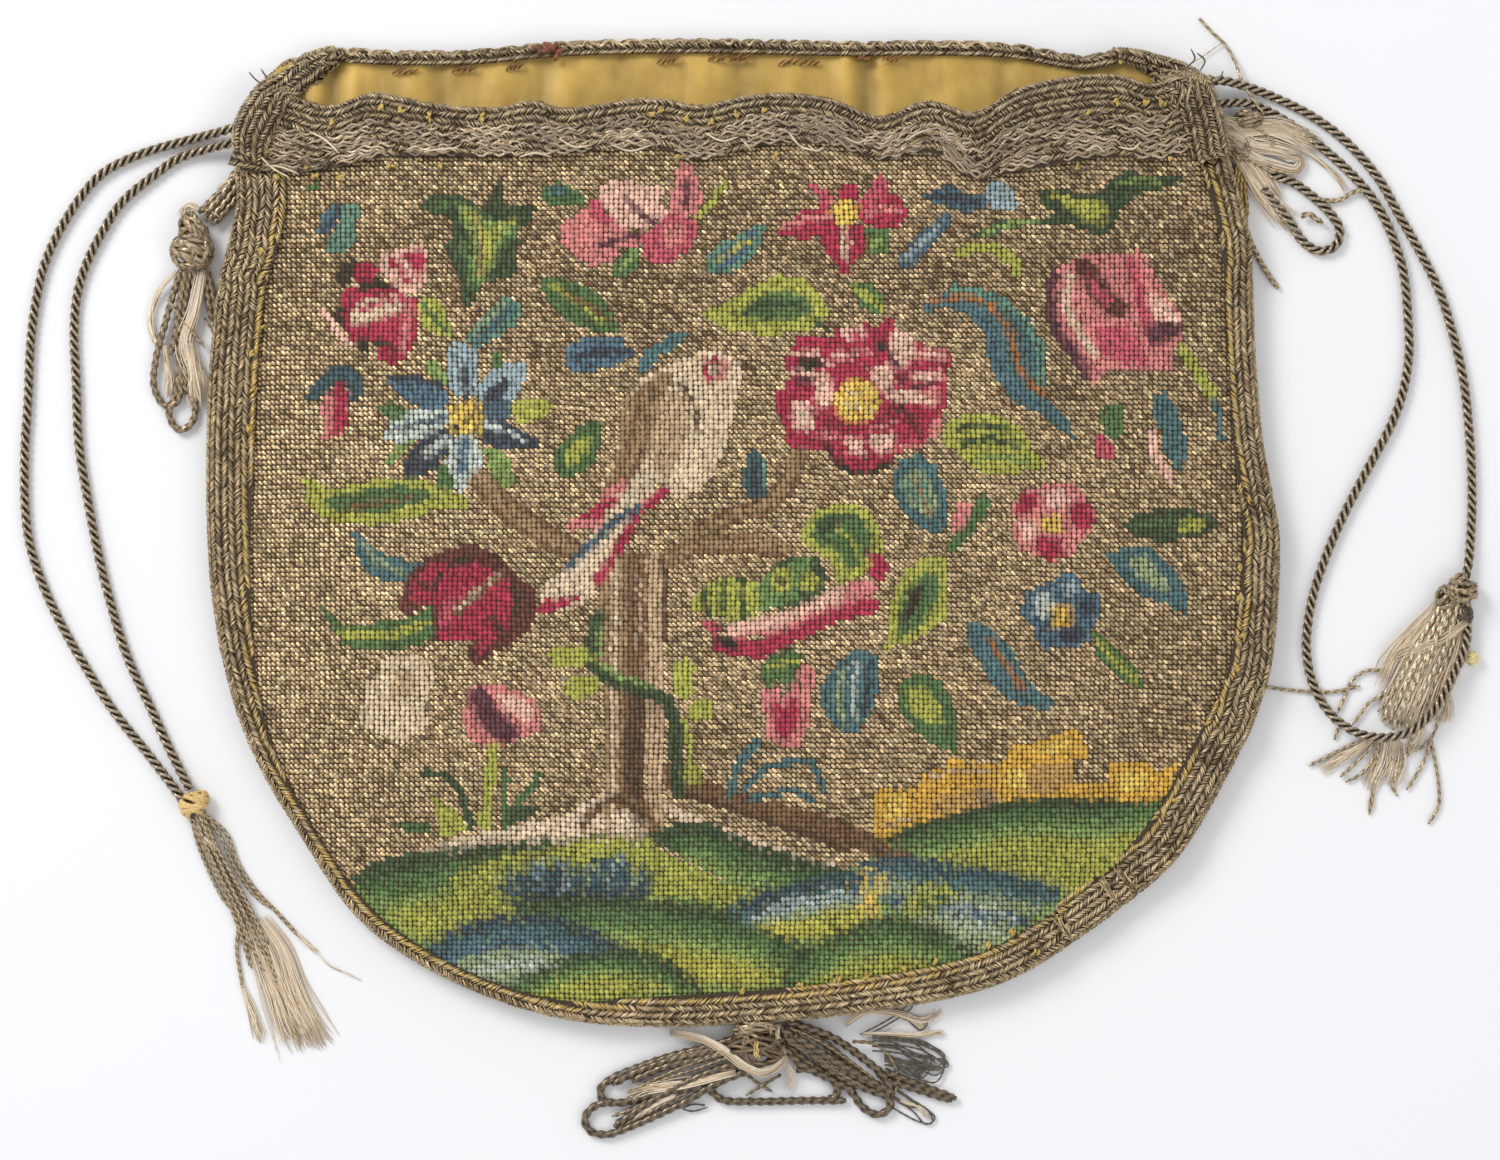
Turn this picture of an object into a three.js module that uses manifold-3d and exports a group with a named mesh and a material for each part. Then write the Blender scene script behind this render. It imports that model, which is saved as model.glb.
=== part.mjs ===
// A needlework drawstring bag, lying on its back with its mouth towards +Y.
// Millimetres, +X to the right, +Z up. The bag is made about its own middle, and the whole
// group is then moved so that the bag and its tassels stand over the origin.
import * as THREE from 'three';
import { mergeVertices } from 'three/addons/utils/BufferGeometryUtils.js';
import Module from 'manifold-3d';

const wasm = await Module();
wasm.setup();

// Driving dimensions
const bagWidth = 266;        // widest place, over the braid
const bagHeight = 244;       // lowest braid to the highest place of the back rim
const panelWall = 1.5;       // needlework on its canvas
const liningWall = 1.0;      // silk with its interlining
const braidWall = 1.0;       // woven metal braid
const sideBraid = 12;        // reach of the side braid over each panel, where it is widest
const mouthBraid = 14;       // depth of the braid round the mouth
const mouthTurn = 2.4;       // how far the back braid turns over the rim onto the lining
const seamAllowance = 1.3;   // turned-in canvas between the panels at the side seam
const cornerRoom = 2.6;      // more room between the panels at the mouth's corners, for the cords
const cornerReach = 60;      // how far down the side seam that room is felt
const braidRound = 0.8;      // how far the braid bulges where it folds round the seam
const puff = 14;             // swell of the front in its middle
const swellReach = 80;       // distance from the seam at which the front is fully swollen
const mouthSwell = 8.5;      // swell that is left at the front rim
const mouthReach = 90;       // distance from the rim at which the mouth no longer flattens it
const gatherDepth = 1.7;     // half height of the gathers at the front rim
const gatherReach = 45;      // how far down the gathers run out
const liningFold = 0.6;      // height of the folds in the back lining
const bellyMargin = 26;      // strip along the seam where the back stays up, over the braid
const bellyRamp = 26;        // width of the slope from there down to the floor
const liningInset = 7;       // lining's edge from the side braid's inner edge
const cordDiameter = 2.4;
const cordSides = 8;
const clearance = 0.3;
const threadBundle = 2.4;    // half width of a usual lock of tassel threads
const tasselLength = 50;     // usual length of such a lock
const hankDrop = 18.5;       // from the left corner's seam down to the hank's knot
const hankSide = 9;          // and sideways, away from the bag

const braidFold = braidWall + clearance;
const columns = 24;
const rows = 14;

// The outline over the braid, from the left corner of the mouth down, round and up again:
// across and down as shares of the bag's width and height, braid as a share of its reach
const outline = [
  { across: 0.048, down: 0.047, braid: 0.9 },
  { across: 0.024, down: 0.106, braid: 1.0 },
  { across: 0.030, down: 0.158, braid: 1.0 },
  { across: 0.010, down: 0.250, braid: 1.0 },
  { across: 0.000, down: 0.434, braid: 0.96 },
  { across: 0.008, down: 0.588, braid: 0.75 },
  { across: 0.038, down: 0.710, braid: 0.45 },
  { across: 0.086, down: 0.803, braid: 0.30 },
  { across: 0.146, down: 0.895, braid: 0.32, corner: true },
  { across: 0.233, down: 0.956, braid: 0.30 },
  { across: 0.328, down: 0.991, braid: 0.35 },
  { across: 0.417, down: 1.000, braid: 0.60 },
  { across: 0.516, down: 0.996, braid: 0.65 },
  { across: 0.603, down: 0.987, braid: 0.68 },
  { across: 0.741, down: 0.956, braid: 0.72 },
  { across: 0.833, down: 0.895, braid: 0.85, corner: true },
  { across: 0.901, down: 0.833, braid: 0.88 },
  { across: 0.954, down: 0.741, braid: 0.92 },
  { across: 0.989, down: 0.649, braid: 0.85 },
  { across: 1.000, down: 0.511, braid: 0.75 },
  { across: 0.984, down: 0.403, braid: 0.60 },
  { across: 0.977, down: 0.311, braid: 0.55 },
  { across: 0.971, down: 0.188, braid: 0.60 },
  { across: 0.950, down: 0.106, braid: 0.60 },
  { across: 0.938, down: 0.035, braid: 0.60 },
];

// The front rim between the corners, a row for each crest or hollow of its gathers: lift is a
// share of their half height, braid a share of the mouth braid's depth
const frontRim = [
  { across: 0.071, down: 0.052, lift: 0.0, braid: 1.45 },
  { across: 0.115, down: 0.066, lift: -0.8, braid: 1.15 },
  { across: 0.158, down: 0.054, lift: 0.8, braid: 1.15 },
  { across: 0.200, down: 0.064, lift: 0.1, braid: 0.95 },
  { across: 0.270, down: 0.071, lift: -0.6, braid: 0.85 },
  { across: 0.306, down: 0.064, lift: 0.4, braid: 0.95 },
  { across: 0.331, down: 0.072, lift: -0.5, braid: 0.80 },
  { across: 0.415, down: 0.062, lift: 0.6, braid: 0.85 },
  { across: 0.461, down: 0.069, lift: -0.5, braid: 0.95 },
  { across: 0.514, down: 0.058, lift: 0.6, braid: 0.90 },
  { across: 0.579, down: 0.062, lift: 0.3, braid: 0.80 },
  { across: 0.626, down: 0.080, lift: -1.0, braid: 0.75 },
  { across: 0.673, down: 0.064, lift: 0.7, braid: 0.90 },
  { across: 0.712, down: 0.076, lift: -0.9, braid: 1.15 },
  { across: 0.757, down: 0.050, lift: 0.6, braid: 1.45 },
  { across: 0.845, down: 0.035, lift: 1.0, braid: 1.45 },
  { across: 0.880, down: 0.044, lift: -0.5, braid: 1.35 },
  { across: 0.910, down: 0.034, lift: 0.0, braid: 1.35 },
];

// The back rim between the corners; fold is a share of the lining's folds below it
const backRim = [
  { across: 0.065, down: 0.024, fold: 1.0 },
  { across: 0.108, down: 0.010, fold: -1.0 },
  { across: 0.171, down: 0.012, fold: 0.6 },
  { across: 0.250, down: 0.011, fold: -0.3 },
  { across: 0.330, down: 0.003, fold: 0.5 },
  { across: 0.460, down: 0.000, fold: -0.5 },
  { across: 0.610, down: 0.003, fold: 0.6 },
  { across: 0.660, down: 0.002, fold: -0.9 },
  { across: 0.752, down: 0.005, fold: 0.5 },
  { across: 0.821, down: 0.017, fold: -0.4 },
  { across: 0.857, down: 0.009, fold: 0.7 },
  { across: 0.890, down: 0.017, fold: 0.0 },
];

// The cords' routes as they lie, from the corner of the mouth to the knot
const cordRoutes = {
  cord_left_outer: [
    [-121.5, 102.3, 4.75], [-126.2, 101.3, 4.5], [-132, 99.9, 2.6], [-137.8, 98.6, 1.3],
    [-150.5, 94.9, 1.25],
    [-160, 90.1, 1.25], [-165.8, 83.6, 1.25], [-170.5, 76.1, 1.25], [-174, 68.6, 1.25],
    [-176, 61.1, 1.25], [-177.8, 48.6, 1.25], [-178.5, 33.6, 1.25], [-179.3, 21.1, 1.25],
    [-179.3, 8.6, 1.25], [-178.3, -1.4, 1.25], [-175.3, -11.4, 1.25], [-170.8, -21.4, 1.25],
    [-164.5, -32.6, 1.25], [-157.3, -43.9, 1.25], [-148.8, -54.6, 1.3], [-140.6, -65.2, 2.2],
  ],
  cord_left_inner: [
    [-122.8, 98.0, 4.75], [-127.6, 97.3, 4.4], [-133, 96.2, 2.6], [-140.8, 93.9, 1.3],
    [-148, 88.9, 1.25],
    [-155.3, 82.6, 1.25], [-160, 75.4, 1.25], [-164, 67.4, 1.25], [-166.3, 59.4, 1.25],
    [-167, 49.6, 1.25], [-166.5, 38.6, 1.25], [-165.8, 22.4, 1.25], [-163.8, 9.6, 1.25],
    [-161, -4.9, 1.25], [-157.8, -17.6, 1.25], [-153.8, -30.4, 1.25], [-148, -43.1, 1.25],
    [-142.8, -54.4, 1.3], [-138, -63.6, 2.2],
  ],
  cord_right_outer: [
    [113.4, 112.0, 4.75], [118.4, 113.0, 4.6], [125.8, 111.6, 2.6], [135, 108.1, 1.3],
    [141.8, 104.6, 1.25],
    [148.5, 99.9, 1.25], [154, 94.6, 1.25], [159, 88.4, 1.25], [163.8, 79.8, 1.25],
    [169, 70.6, 1.25], [173.8, 60.9, 1.25], [177, 50.9, 1.25], [179.8, 39.1, 1.25],
    [181.3, 26.1, 1.25], [182, 12.9, 1.25], [181.8, 1.1, 1.3], [180.6, -9.2, 2.2],
  ],
  cord_right_inner: [
    [114.8, 106.6, 4.75], [119.8, 107.3, 4.6], [125.2, 107.5, 3.4], [131, 105.7, 1.4],
    [138.8, 101, 1.25],
    [145.3, 96, 1.25], [150.5, 91.4, 1.25], [156, 85.4, 1.25], [160.1, 78.9, 1.25],
    [163, 72, 1.25], [165, 64.9, 1.25], [166, 54.9, 1.25], [166.3, 45.6, 1.25],
    [165, 36.4, 1.25], [162.3, 28.4, 1.25], [158.3, 20.6, 1.25], [154.5, 13.6, 1.25],
    [150.5, 5.9, 1.25], [146.5, -3.1, 1.25], [142.8, -13.6, 1.25], [141, -22.6, 1.25],
    [140.8, -30.6, 1.25], [142.8, -38.6, 1.4], [147, -45.4, 3.4], [153.3, -49.6, 4.9],
    [160, -50.6, 5.2], [165.8, -49.1, 5.2], [171.8, -43.9, 5.0], [177, -34.6, 4.6],
    [180.3, -26.4, 3.4], [180.5, -19.3, 2.4],
  ],
  cord_corner_loop: [
    [130.6, 92, 2.2], [132.6, 89.5, 1.5], [136.8, 88.2, 1.25], [142, 84.6, 1.25],
    [146.5, 80.3, 1.25], [149, 76, 1.25], [147.8, 72, 1.25], [143.8, 70.8, 1.25],
    [139.8, 73.2, 1.25], [136.8, 77.6, 1.25], [133.4, 82.2, 1.4], [129.8, 86.4, 2.0],
  ],
};
const cordSteps = {
  cord_left_outer: 19, cord_left_inner: 16, cord_right_outer: 13, cord_right_inner: 25,
  cord_corner_loop: 8,
};

// Small helpers for numbers and points
const lerp = THREE.MathUtils.lerp;
const smooth = THREE.MathUtils.smoothstep;
const flat = (p) => new THREE.Vector3(p.x, p.y, 0);
const raised = (p, z) => new THREE.Vector3(p.x, p.y, z);

function placed(row) {
  return new THREE.Vector3((row.across - 0.5) * bagWidth, (0.5 - row.down) * bagHeight, 0);
}

// A column of a table at a share along its rows, eased from row to row
function along(table, column, share) {
  const at = THREE.MathUtils.clamp(share, 0, 1) * (table.length - 1);
  const row = Math.min(Math.floor(at), table.length - 2);
  return lerp(table[row][column], table[row + 1][column], smooth(at - row, 0, 1));
}

// A closed solid from faces that may share or repeat points
function solid(triangles) {
  const geometry = new THREE.BufferGeometry();
  const flatList = triangles.flat().flatMap((p) => [p.x, p.y, p.z]);
  geometry.setAttribute('position', new THREE.Float32BufferAttribute(flatList, 3));
  const merged = mergeVertices(geometry, 1e-4);
  const index = merged.index.array;
  const kept = [];
  for (let k = 0; k < index.length; k += 3) {
    const [a, b, c] = [index[k], index[k + 1], index[k + 2]];
    if (a !== b && b !== c && c !== a) kept.push(a, b, c);
  }
  merged.setIndex(kept);
  if (volume(merged) < 0) {
    for (let k = 0; k < kept.length; k += 3) [kept[k], kept[k + 1]] = [kept[k + 1], kept[k]];
    merged.setIndex(kept);
  }
  merged.computeVertexNormals();
  return merged;
}

function volume(geometry) {
  const position = geometry.attributes.position;
  const corner = [new THREE.Vector3(), new THREE.Vector3(), new THREE.Vector3()];
  let sum = 0;
  for (let k = 0; k < geometry.index.count; k += 3) {
    corner.forEach((p, n) => p.fromBufferAttribute(position, geometry.index.getX(k + n)));
    sum += corner[0].dot(corner[1].clone().cross(corner[2]));
  }
  return sum;
}

function quad(a, b, c, d) {
  return [[a, b, c], [a, c, d]];
}

// The same quad seen from its other side, split along the same diagonal
function backQuad(a, b, c, d) {
  return quad(a, d, c, b);
}

// Two grids of the same size, joined round their edges: a sheet with a wall
function sheet(upper, lower) {
  const faces = [];
  const [nu, nv] = [upper.length - 1, upper[0].length - 1];
  for (let i = 0; i < nu; i++) {
    for (let j = 0; j < nv; j++) {
      faces.push(...quad(upper[i][j], upper[i + 1][j], upper[i + 1][j + 1], upper[i][j + 1]));
      faces.push(...backQuad(lower[i][j], lower[i + 1][j], lower[i + 1][j + 1],
        lower[i][j + 1]));
    }
  }
  const rimOf = (grid) => [
    ...grid.map((column) => column[0]),
    ...grid[nu].slice(1),
    ...grid.map((column) => column[nv]).reverse().slice(1),
    ...grid[0].slice(1, nv).reverse(),
  ];
  const [top, bottom] = [rimOf(upper), rimOf(lower)];
  top.forEach((p, k) => {
    const next = (k + 1) % top.length;
    faces.push(...quad(bottom[k], bottom[next], top[next], p));
  });
  return solid(faces);
}

// Sections of equal, even count joined one to the next. A section goes along one side of a
// band and back along the other, and each end is closed by a ladder between the two
function loft(sections) {
  const faces = [];
  for (let k = 0; k + 1 < sections.length; k++) {
    const [here, next] = [sections[k], sections[k + 1]];
    here.forEach((p, n) => {
      const m = (n + 1) % here.length;
      faces.push(...quad(p, here[m], next[m], next[n]));
    });
  }
  faces.push(...cap(sections[0]).map(([a, b, c]) => [a, c, b]));
  faces.push(...cap(sections.at(-1)));
  return solid(faces);
}

function cap(section) {
  const last = section.length - 1;
  const rungs = Array.from({ length: section.length / 2 - 1 }, (_, k) => k);
  return rungs.flatMap((k) => quad(
    section[k], section[k + 1], section[last - k - 1], section[last - k]));
}

// The seam's outline, and shares along it
const ring = new THREE.CatmullRomCurve3(outline.map(placed), false, 'centripetal');
const stepsPerPoint = 40;
ring.arcLengthDivisions = stepsPerPoint * (outline.length - 1);
const ringLengths = ring.getLengths();
const ringLength = ringLengths.at(-1);
const rowShares = outline.map((row, k) => ringLengths[k * stepsPerPoint] / ringLength);
const [leftCorner, rightCorner] = rowShares.filter((share, k) => outline[k].corner);

function inset(share, distance) {
  const tangent = ring.getTangentAt(share);
  return ring.getPointAt(share).add(new THREE.Vector3(-tangent.y, tangent.x, 0)
    .multiplyScalar(distance));
}

function braidReach(share) {
  const row = Math.max(rowShares.findIndex((s) => s >= share), 1);
  const t = (share - rowShares[row - 1]) / (rowShares[row] - rowShares[row - 1]);
  return sideBraid * lerp(outline[row - 1].braid, outline[row].braid, t);
}

const seamSteps = 120;
const seamDots = Array.from({ length: seamSteps + 1 },
  (_, k) => ring.getPointAt(k / seamSteps));
function distanceToSeam(p) {
  const line = new THREE.Line3();
  const nearest = new THREE.Vector3();
  let least = Infinity;
  for (let k = 0; k + 1 < seamDots.length; k++) {
    line.set(seamDots[k], seamDots[k + 1]).closestPointToPoint(flat(p), true, nearest);
    least = Math.min(least, nearest.distanceTo(flat(p)));
  }
  return least;
}

// A panel's plan: a patch between the seam's left, lower and right stretches and a rim
function panelPlan(rimTable, depthAt) {
  const rimStart = inset(0, braidFold);
  const rimEnd = inset(1, braidFold);
  const rimPoints = rimTable.map(placed).map((p) => p.setY(p.y - braidFold));
  const rim = new THREE.CatmullRomCurve3([rimStart, ...rimPoints, rimEnd], false, 'centripetal');
  const left = (v) => inset(leftCorner * (1 - v), braidFold);
  const right = (v) => inset(lerp(rightCorner, 1, v), braidFold);
  const lower = (u) => inset(lerp(leftCorner, rightCorner, u), braidFold);
  const corners = [lower(0), lower(1), rim.getPointAt(0), rim.getPointAt(1)];
  const patch = (u, v) => lower(u).multiplyScalar(1 - v)
    .addScaledVector(rim.getPointAt(u), v)
    .addScaledVector(left(v), 1 - u)
    .addScaledVector(right(v), u)
    .addScaledVector(corners[0], -(1 - u) * (1 - v))
    .addScaledVector(corners[1], -u * (1 - v))
    .addScaledVector(corners[2], -(1 - u) * v)
    .addScaledVector(corners[3], -u * v);

  // Columns and rows follow the braids' inner edges, then lie evenly
  function columnShare(i, v) {
    const width = left(v).distanceTo(right(v));
    const reachLeft = (braidReach(leftCorner * (1 - v)) - braidFold) / width;
    const reachRight = (braidReach(lerp(rightCorner, 1, v)) - braidFold) / width;
    const step = liningInset / width;
    const marks = [0, reachLeft, reachLeft + step];
    const far = [1 - reachRight - step, 1 - reachRight, 1];
    if (i <= 2) return marks[i];
    if (i >= columns - 2) return far[i - columns + 2];
    return lerp(marks[2], far[0], (i - 2) / (columns - 4));
  }
  function rowShare(j, u) {
    const height = lower(u).distanceTo(rim.getPointAt(u));
    const reach = (braidReach(lerp(leftCorner, rightCorner, u)) - braidFold) / height;
    const marks = [0, reach, reach + liningInset / height];
    const mouth = 1 - (depthAt(u) - braidFold) / height;
    if (j <= 2) return marks[j];
    if (j === rows) return 1;
    return lerp(marks[2], mouth, (j - 2) / (rows - 3));
  }
  return Array.from({ length: columns + 1 }, (_, i) =>
    Array.from({ length: rows + 1 }, (_, j) => {
      const evenU = columnShare(i, j / rows);
      const v = rowShare(j, evenU);
      const u = columnShare(i, v);
      const point = patch(u, v);
      point.u = u;
      point.v = v;
      point.toSeam = distanceToSeam(point);
      point.toRim = (1 - v) * lower(u).distanceTo(rim.getPointAt(u));
      return point;
    }));
}

const mouthDepth = (u) => mouthBraid * along(frontRim, 'braid', u);
const frontPlan = panelPlan(frontRim, mouthDepth);
const backPlan = panelPlan(backRim, mouthDepth);

// Heights of the layers, from the floor up
function rise(distance) {
  const t = Math.min(distance / swellReach, 1);
  return 0.4 * Math.sin(t * Math.PI / 2) ** 2 + 0.6 * Math.sin(t * Math.PI / 2);
}

function backUnder(p) {
  const margin = Math.min(p.toSeam, p.toRim);
  return braidFold * (1 - smooth(margin, bellyMargin, bellyMargin + bellyRamp));
}

function seamRoom(p) {
  const nearRim = 1 - smooth(p.toRim, 0, cornerReach);
  return seamAllowance + cornerRoom * nearRim;
}

function frontUnder(p) {
  const swell = lerp(mouthSwell, puff, smooth(p.toRim, 0, mouthReach));
  const gathered = gatherDepth * along(frontRim, 'lift', p.u);
  const fade = (1 - smooth(p.toRim, 0, gatherReach)) * rise(2 * p.toSeam);
  const seam = braidFold + panelWall + seamRoom(p);
  return seam + swell * rise(p.toSeam - braidFold) + gathered * fade;
}

const lifted = (plan, height) => plan.map((column) => column.map((p) => raised(p, height(p))));
const frontLow = lifted(frontPlan, frontUnder);
const frontHigh = lifted(frontPlan, (p) => frontUnder(p) + panelWall);
const backLow = lifted(backPlan, backUnder);
const backHigh = lifted(backPlan, (p) => backUnder(p) + panelWall);

function frontPanel() {
  return sheet(frontHigh, frontLow);
}

function backPanel() {
  return sheet(backHigh, backLow);
}

// The lining is a pocket between the panels, open at the mouth: an outer and an inner skin,
// each of a back and a front grid that meet along the sides and the bottom
function lining() {
  const first = 2;
  const last = columns - 2;
  const cut = (grid) => grid.slice(first, last + 1).map((column) => column.slice(first));
  const front = cut(frontPlan);
  const back = cut(backPlan);
  const across = (last - first);
  const move = (grid, height, wall) => grid.map((column, i) => column.map((p, j) => {
    const middle = grid[Math.floor(across / 2)][j];
    const upper = column[column.length - 1];
    const point = raised(p, height(p, i, j));
    if (i === 0 || i === across) point.add(flat(middle).sub(flat(p)).setLength(wall));
    if (j === 0) point.add(flat(upper).sub(flat(p)).setLength(wall));
    return point;
  }));
  const fold = (p) => liningFold * (0.5 + 0.5 * along(backRim, 'fold', p.u))
    * smooth(p.toRim, 0, mouthBraid) * smooth(p.toSeam, sideBraid, 2 * sideBraid);
  const backOuter = move(back, (p) => backUnder(p) + panelWall + clearance, 0);
  const frontOuter = move(front, (p) => frontUnder(p) - clearance, 0);
  const backInner = move(back, (p) => backUnder(p) + panelWall + clearance + liningWall
    + fold(p), liningWall);
  const frontInner = move(front, (p) => frontUnder(p) - clearance - liningWall, liningWall);
  const faces = [];
  const skin = (grid, outward) => {
    for (let i = 0; i + 1 < grid.length; i++) {
      for (let j = 0; j + 1 < grid[0].length; j++) {
        const four = [grid[i][j], grid[i + 1][j], grid[i + 1][j + 1], grid[i][j + 1]];
        faces.push(...(outward ? quad(...four) : backQuad(...four)));
      }
    }
  };
  const edgeOf = (grid) => [
    ...[...grid[0]].reverse(),
    ...grid.map((column) => column[0]).slice(1),
    ...grid.at(-1).slice(1),
  ];
  const joinEdges = (low, high, outward) => {
    const [a, b] = [edgeOf(low), edgeOf(high)];
    for (let k = 0; k + 1 < a.length; k++) {
      const four = [a[k], a[k + 1], b[k + 1], b[k]];
      faces.push(...(outward ? quad(...four) : backQuad(...four)));
    }
  };
  skin(frontOuter, true);
  skin(backOuter, false);
  joinEdges(backOuter, frontOuter, true);
  skin(frontInner, false);
  skin(backInner, true);
  joinEdges(backInner, frontInner, false);
  const mouthOf = (front, back) => [
    ...back.map((column) => column.at(-1)),
    ...front.map((column) => column.at(-1)).reverse(),
  ];
  const [outer, inner] = [mouthOf(frontOuter, backOuter), mouthOf(frontInner, backInner)];
  outer.forEach((p, k) => {
    const next = (k + 1) % outer.length;
    faces.push(...quad(p, inner[k], inner[next], outer[next]));
  });
  return solid(faces);
}

// The side braid is folded round the seam, from one corner of the mouth to the other
function seamWalk(plan) {
  const upTo = rows - 1;
  const leftSide = [];
  const rightSide = [];
  for (let j = upTo; j >= 2; j--) leftSide.push([plan[0][j], plan[1][j]]);
  for (let j = 2; j <= upTo; j++) rightSide.push([plan[columns][j], plan[columns - 1][j]]);
  const lowerSide = [];
  for (let i = 2; i <= columns - 2; i++) lowerSide.push([plan[i][0], plan[i][1]]);
  const innerLeft = plan[1][1];
  const innerRight = plan[columns - 1][1];
  return [
    ...leftSide,
    [plan[0][1], innerLeft], [plan[0][0], innerLeft], [plan[1][0], innerLeft],
    ...lowerSide,
    [plan[columns - 1][0], innerRight], [plan[columns][0], innerRight],
    [plan[columns][1], innerRight],
    ...rightSide,
  ];
}

function sideBraidBand() {
  const front = seamWalk(frontPlan);
  const back = seamWalk(backPlan);
  const sections = front.map(([edge, inner], k) => {
    const [backEdge, backInner] = back[k];
    const before = front[Math.max(k - 1, 0)][0];
    const after = front[Math.min(k + 1, front.length - 1)][0];
    const way = flat(after).sub(flat(before)).normalize();
    const out = new THREE.Vector3(way.y, -way.x, 0);
    const beyond = (p, distance) => flat(p).addScaledVector(out, distance);
    const halfway = (distance) => beyond(edge, distance).lerp(beyond(backEdge, distance), 0.5);
    const high = frontUnder(edge) + panelWall + clearance;
    const highInner = frontUnder(inner) + panelWall + clearance;
    const low = backUnder(backEdge) - clearance;
    const lowInner = backUnder(backInner) - clearance;
    return [
      raised(inner, highInner),
      raised(beyond(edge, clearance), high),
      raised(halfway(clearance), (low + high) / 2),
      raised(beyond(backEdge, clearance), low),
      raised(backInner, lowInner),
      raised(backInner, lowInner - braidWall),
      raised(beyond(backEdge, braidFold - braidRound), low - braidWall),
      raised(halfway(braidFold), (low + high) / 2),
      raised(beyond(edge, braidFold - braidRound), high + braidWall),
      raised(inner, highInner + braidWall),
    ];
  });
  // Its ends stop short of the mouth braid
  for (const [end, next] of [[0, 1], [sections.length - 1, sections.length - 2]]) {
    sections[end] = sections[end].map((p, n) => p.clone()
      .add(sections[next][n].clone().sub(p).setLength(3 * clearance)));
  }
  return loft(sections);
}

// The mouth braid covers the upper row of a panel and goes a little past its sides
function mouthColumns(plan) {
  const pair = (i) => ({ low: plan[i][rows - 1], high: plan[i][rows], column: i });
  const pairs = plan.map((_, i) => pair(i));
  const past = (i, towards) => {
    const push = flat(plan[i][rows]).sub(flat(plan[towards][rows])).setLength(braidFold);
    const move = (p) => Object.assign(p.clone().add(push), { like: p });
    return { low: move(plan[i][rows - 1]), high: move(plan[i][rows]), column: i };
  };
  return [past(0, 1), ...pairs, past(columns, columns - 1)];
}

function frontMouthBraid() {
  const height = (p) => frontUnder(p.like ?? p);
  return loft(mouthColumns(frontPlan).map(({ low, high }) => {
    const up = flat(high).sub(flat(low)).normalize();
    const [lowZ, highZ] = [height(low) + panelWall, height(high) + panelWall];
    const past = (distance, z) => raised(flat(high).addScaledVector(up, distance), z);
    return [
      raised(low, lowZ + clearance),
      past(0, highZ + clearance),
      past(clearance, highZ),
      past(clearance, highZ - panelWall),
      past(braidFold, highZ - panelWall),
      past(braidFold, highZ),
      past(0, highZ + braidFold),
      raised(low, lowZ + braidFold),
    ];
  }));
}

function backMouthBraid() {
  const height = (p) => backUnder(p.like ?? p);
  return loft(mouthColumns(backPlan).map(({ low, high, column }) => {
    const up = flat(high).sub(flat(low)).normalize();
    const lined = column >= 2 && column <= columns - 2;
    const turned = column >= 3 && column <= columns - 3;
    const [lowZ, highZ] = [height(low), height(high)];
    const panelTop = highZ + panelWall;
    const under = lined ? panelTop + liningWall + 2 * clearance : panelTop - braidWall;
    const turn = turned ? -mouthTurn : clearance;
    const past = (distance, z) => raised(flat(high).addScaledVector(up, distance), z);
    return [
      raised(low, lowZ - clearance),
      past(0, highZ - clearance),
      past(clearance, highZ),
      past(clearance, under),
      past(turn, under),
      past(turn, under + braidWall),
      past(braidFold, under + braidWall / 2),
      past(braidFold, highZ),
      past(0, highZ - braidFold),
      raised(low, lowZ - braidFold),
    ];
  }));
}

// A cord is a plain round tube along its route
function cordTube(name) {
  const route = cordRoutes[name].map((p) => new THREE.Vector3(...p));
  const path = new THREE.CatmullRomCurve3(route, false, 'centripetal');
  const section = new THREE.Shape(Array.from({ length: cordSides }, (_, k) => {
    const turn = (k + 0.5) * 2 * Math.PI / cordSides;
    return new THREE.Vector2(Math.cos(turn), Math.sin(turn)).multiplyScalar(cordDiameter / 2);
  }));
  return new THREE.ExtrudeGeometry(section, { steps: cordSteps[name], extrudePath: path });
}

// A lock of threads: a soft flat strand that lies on the floor and tapers along its way.
// Angle is in degrees from +X, reach its length and bow the sideways bend at its middle, both
// as shares of the usual length; root, belly and tip are shares of the usual half width, high
// the height as a share of the width
const lockSteps = 5;
const lockSides = 6;
function lock(from, { angle, reach, bow, root, belly, tip, high }) {
  const way = new THREE.Vector3(Math.cos(angle * Math.PI / 180),
    Math.sin(angle * Math.PI / 180), 0);
  const across = new THREE.Vector3(-way.y, way.x, 0);
  const point = (share, aside) => flat(from)
    .addScaledVector(way, tasselLength * reach * share)
    .addScaledVector(across, tasselLength * bow * aside);
  const path = new THREE.CatmullRomCurve3(
    [point(0, 0), point(0.33, 0.8), point(0.66, 1), point(1, 0)]);
  const sections = [];
  for (let k = 0; k <= lockSteps; k++) {
    const t = k / lockSteps;
    const share = t < 0.5 ? lerp(root, belly, smooth(t, 0, 0.5))
      : lerp(belly, tip, smooth(t, 0.5, 1));
    const half = threadBundle * share;
    const centre = path.getPointAt(t);
    const tangent = path.getTangentAt(t);
    const side = new THREE.Vector3(-tangent.y, tangent.x, 0);
    centre.z = half * high;
    sections.push(Array.from({ length: lockSides }, (_, n) => {
      const turn = 2 * Math.PI * n / lockSides - Math.PI / 2;
      return centre.clone().addScaledVector(side, half * Math.cos(turn))
        .setZ(centre.z + half * high * Math.sin(turn));
    }));
  }
  return loft(sections);
}

// A knot's half sizes, given as shares of the usual half width of a lock
function knotSize(x, y, z) {
  return new THREE.Vector3(x, y, z).multiplyScalar(threadBundle);
}

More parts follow.
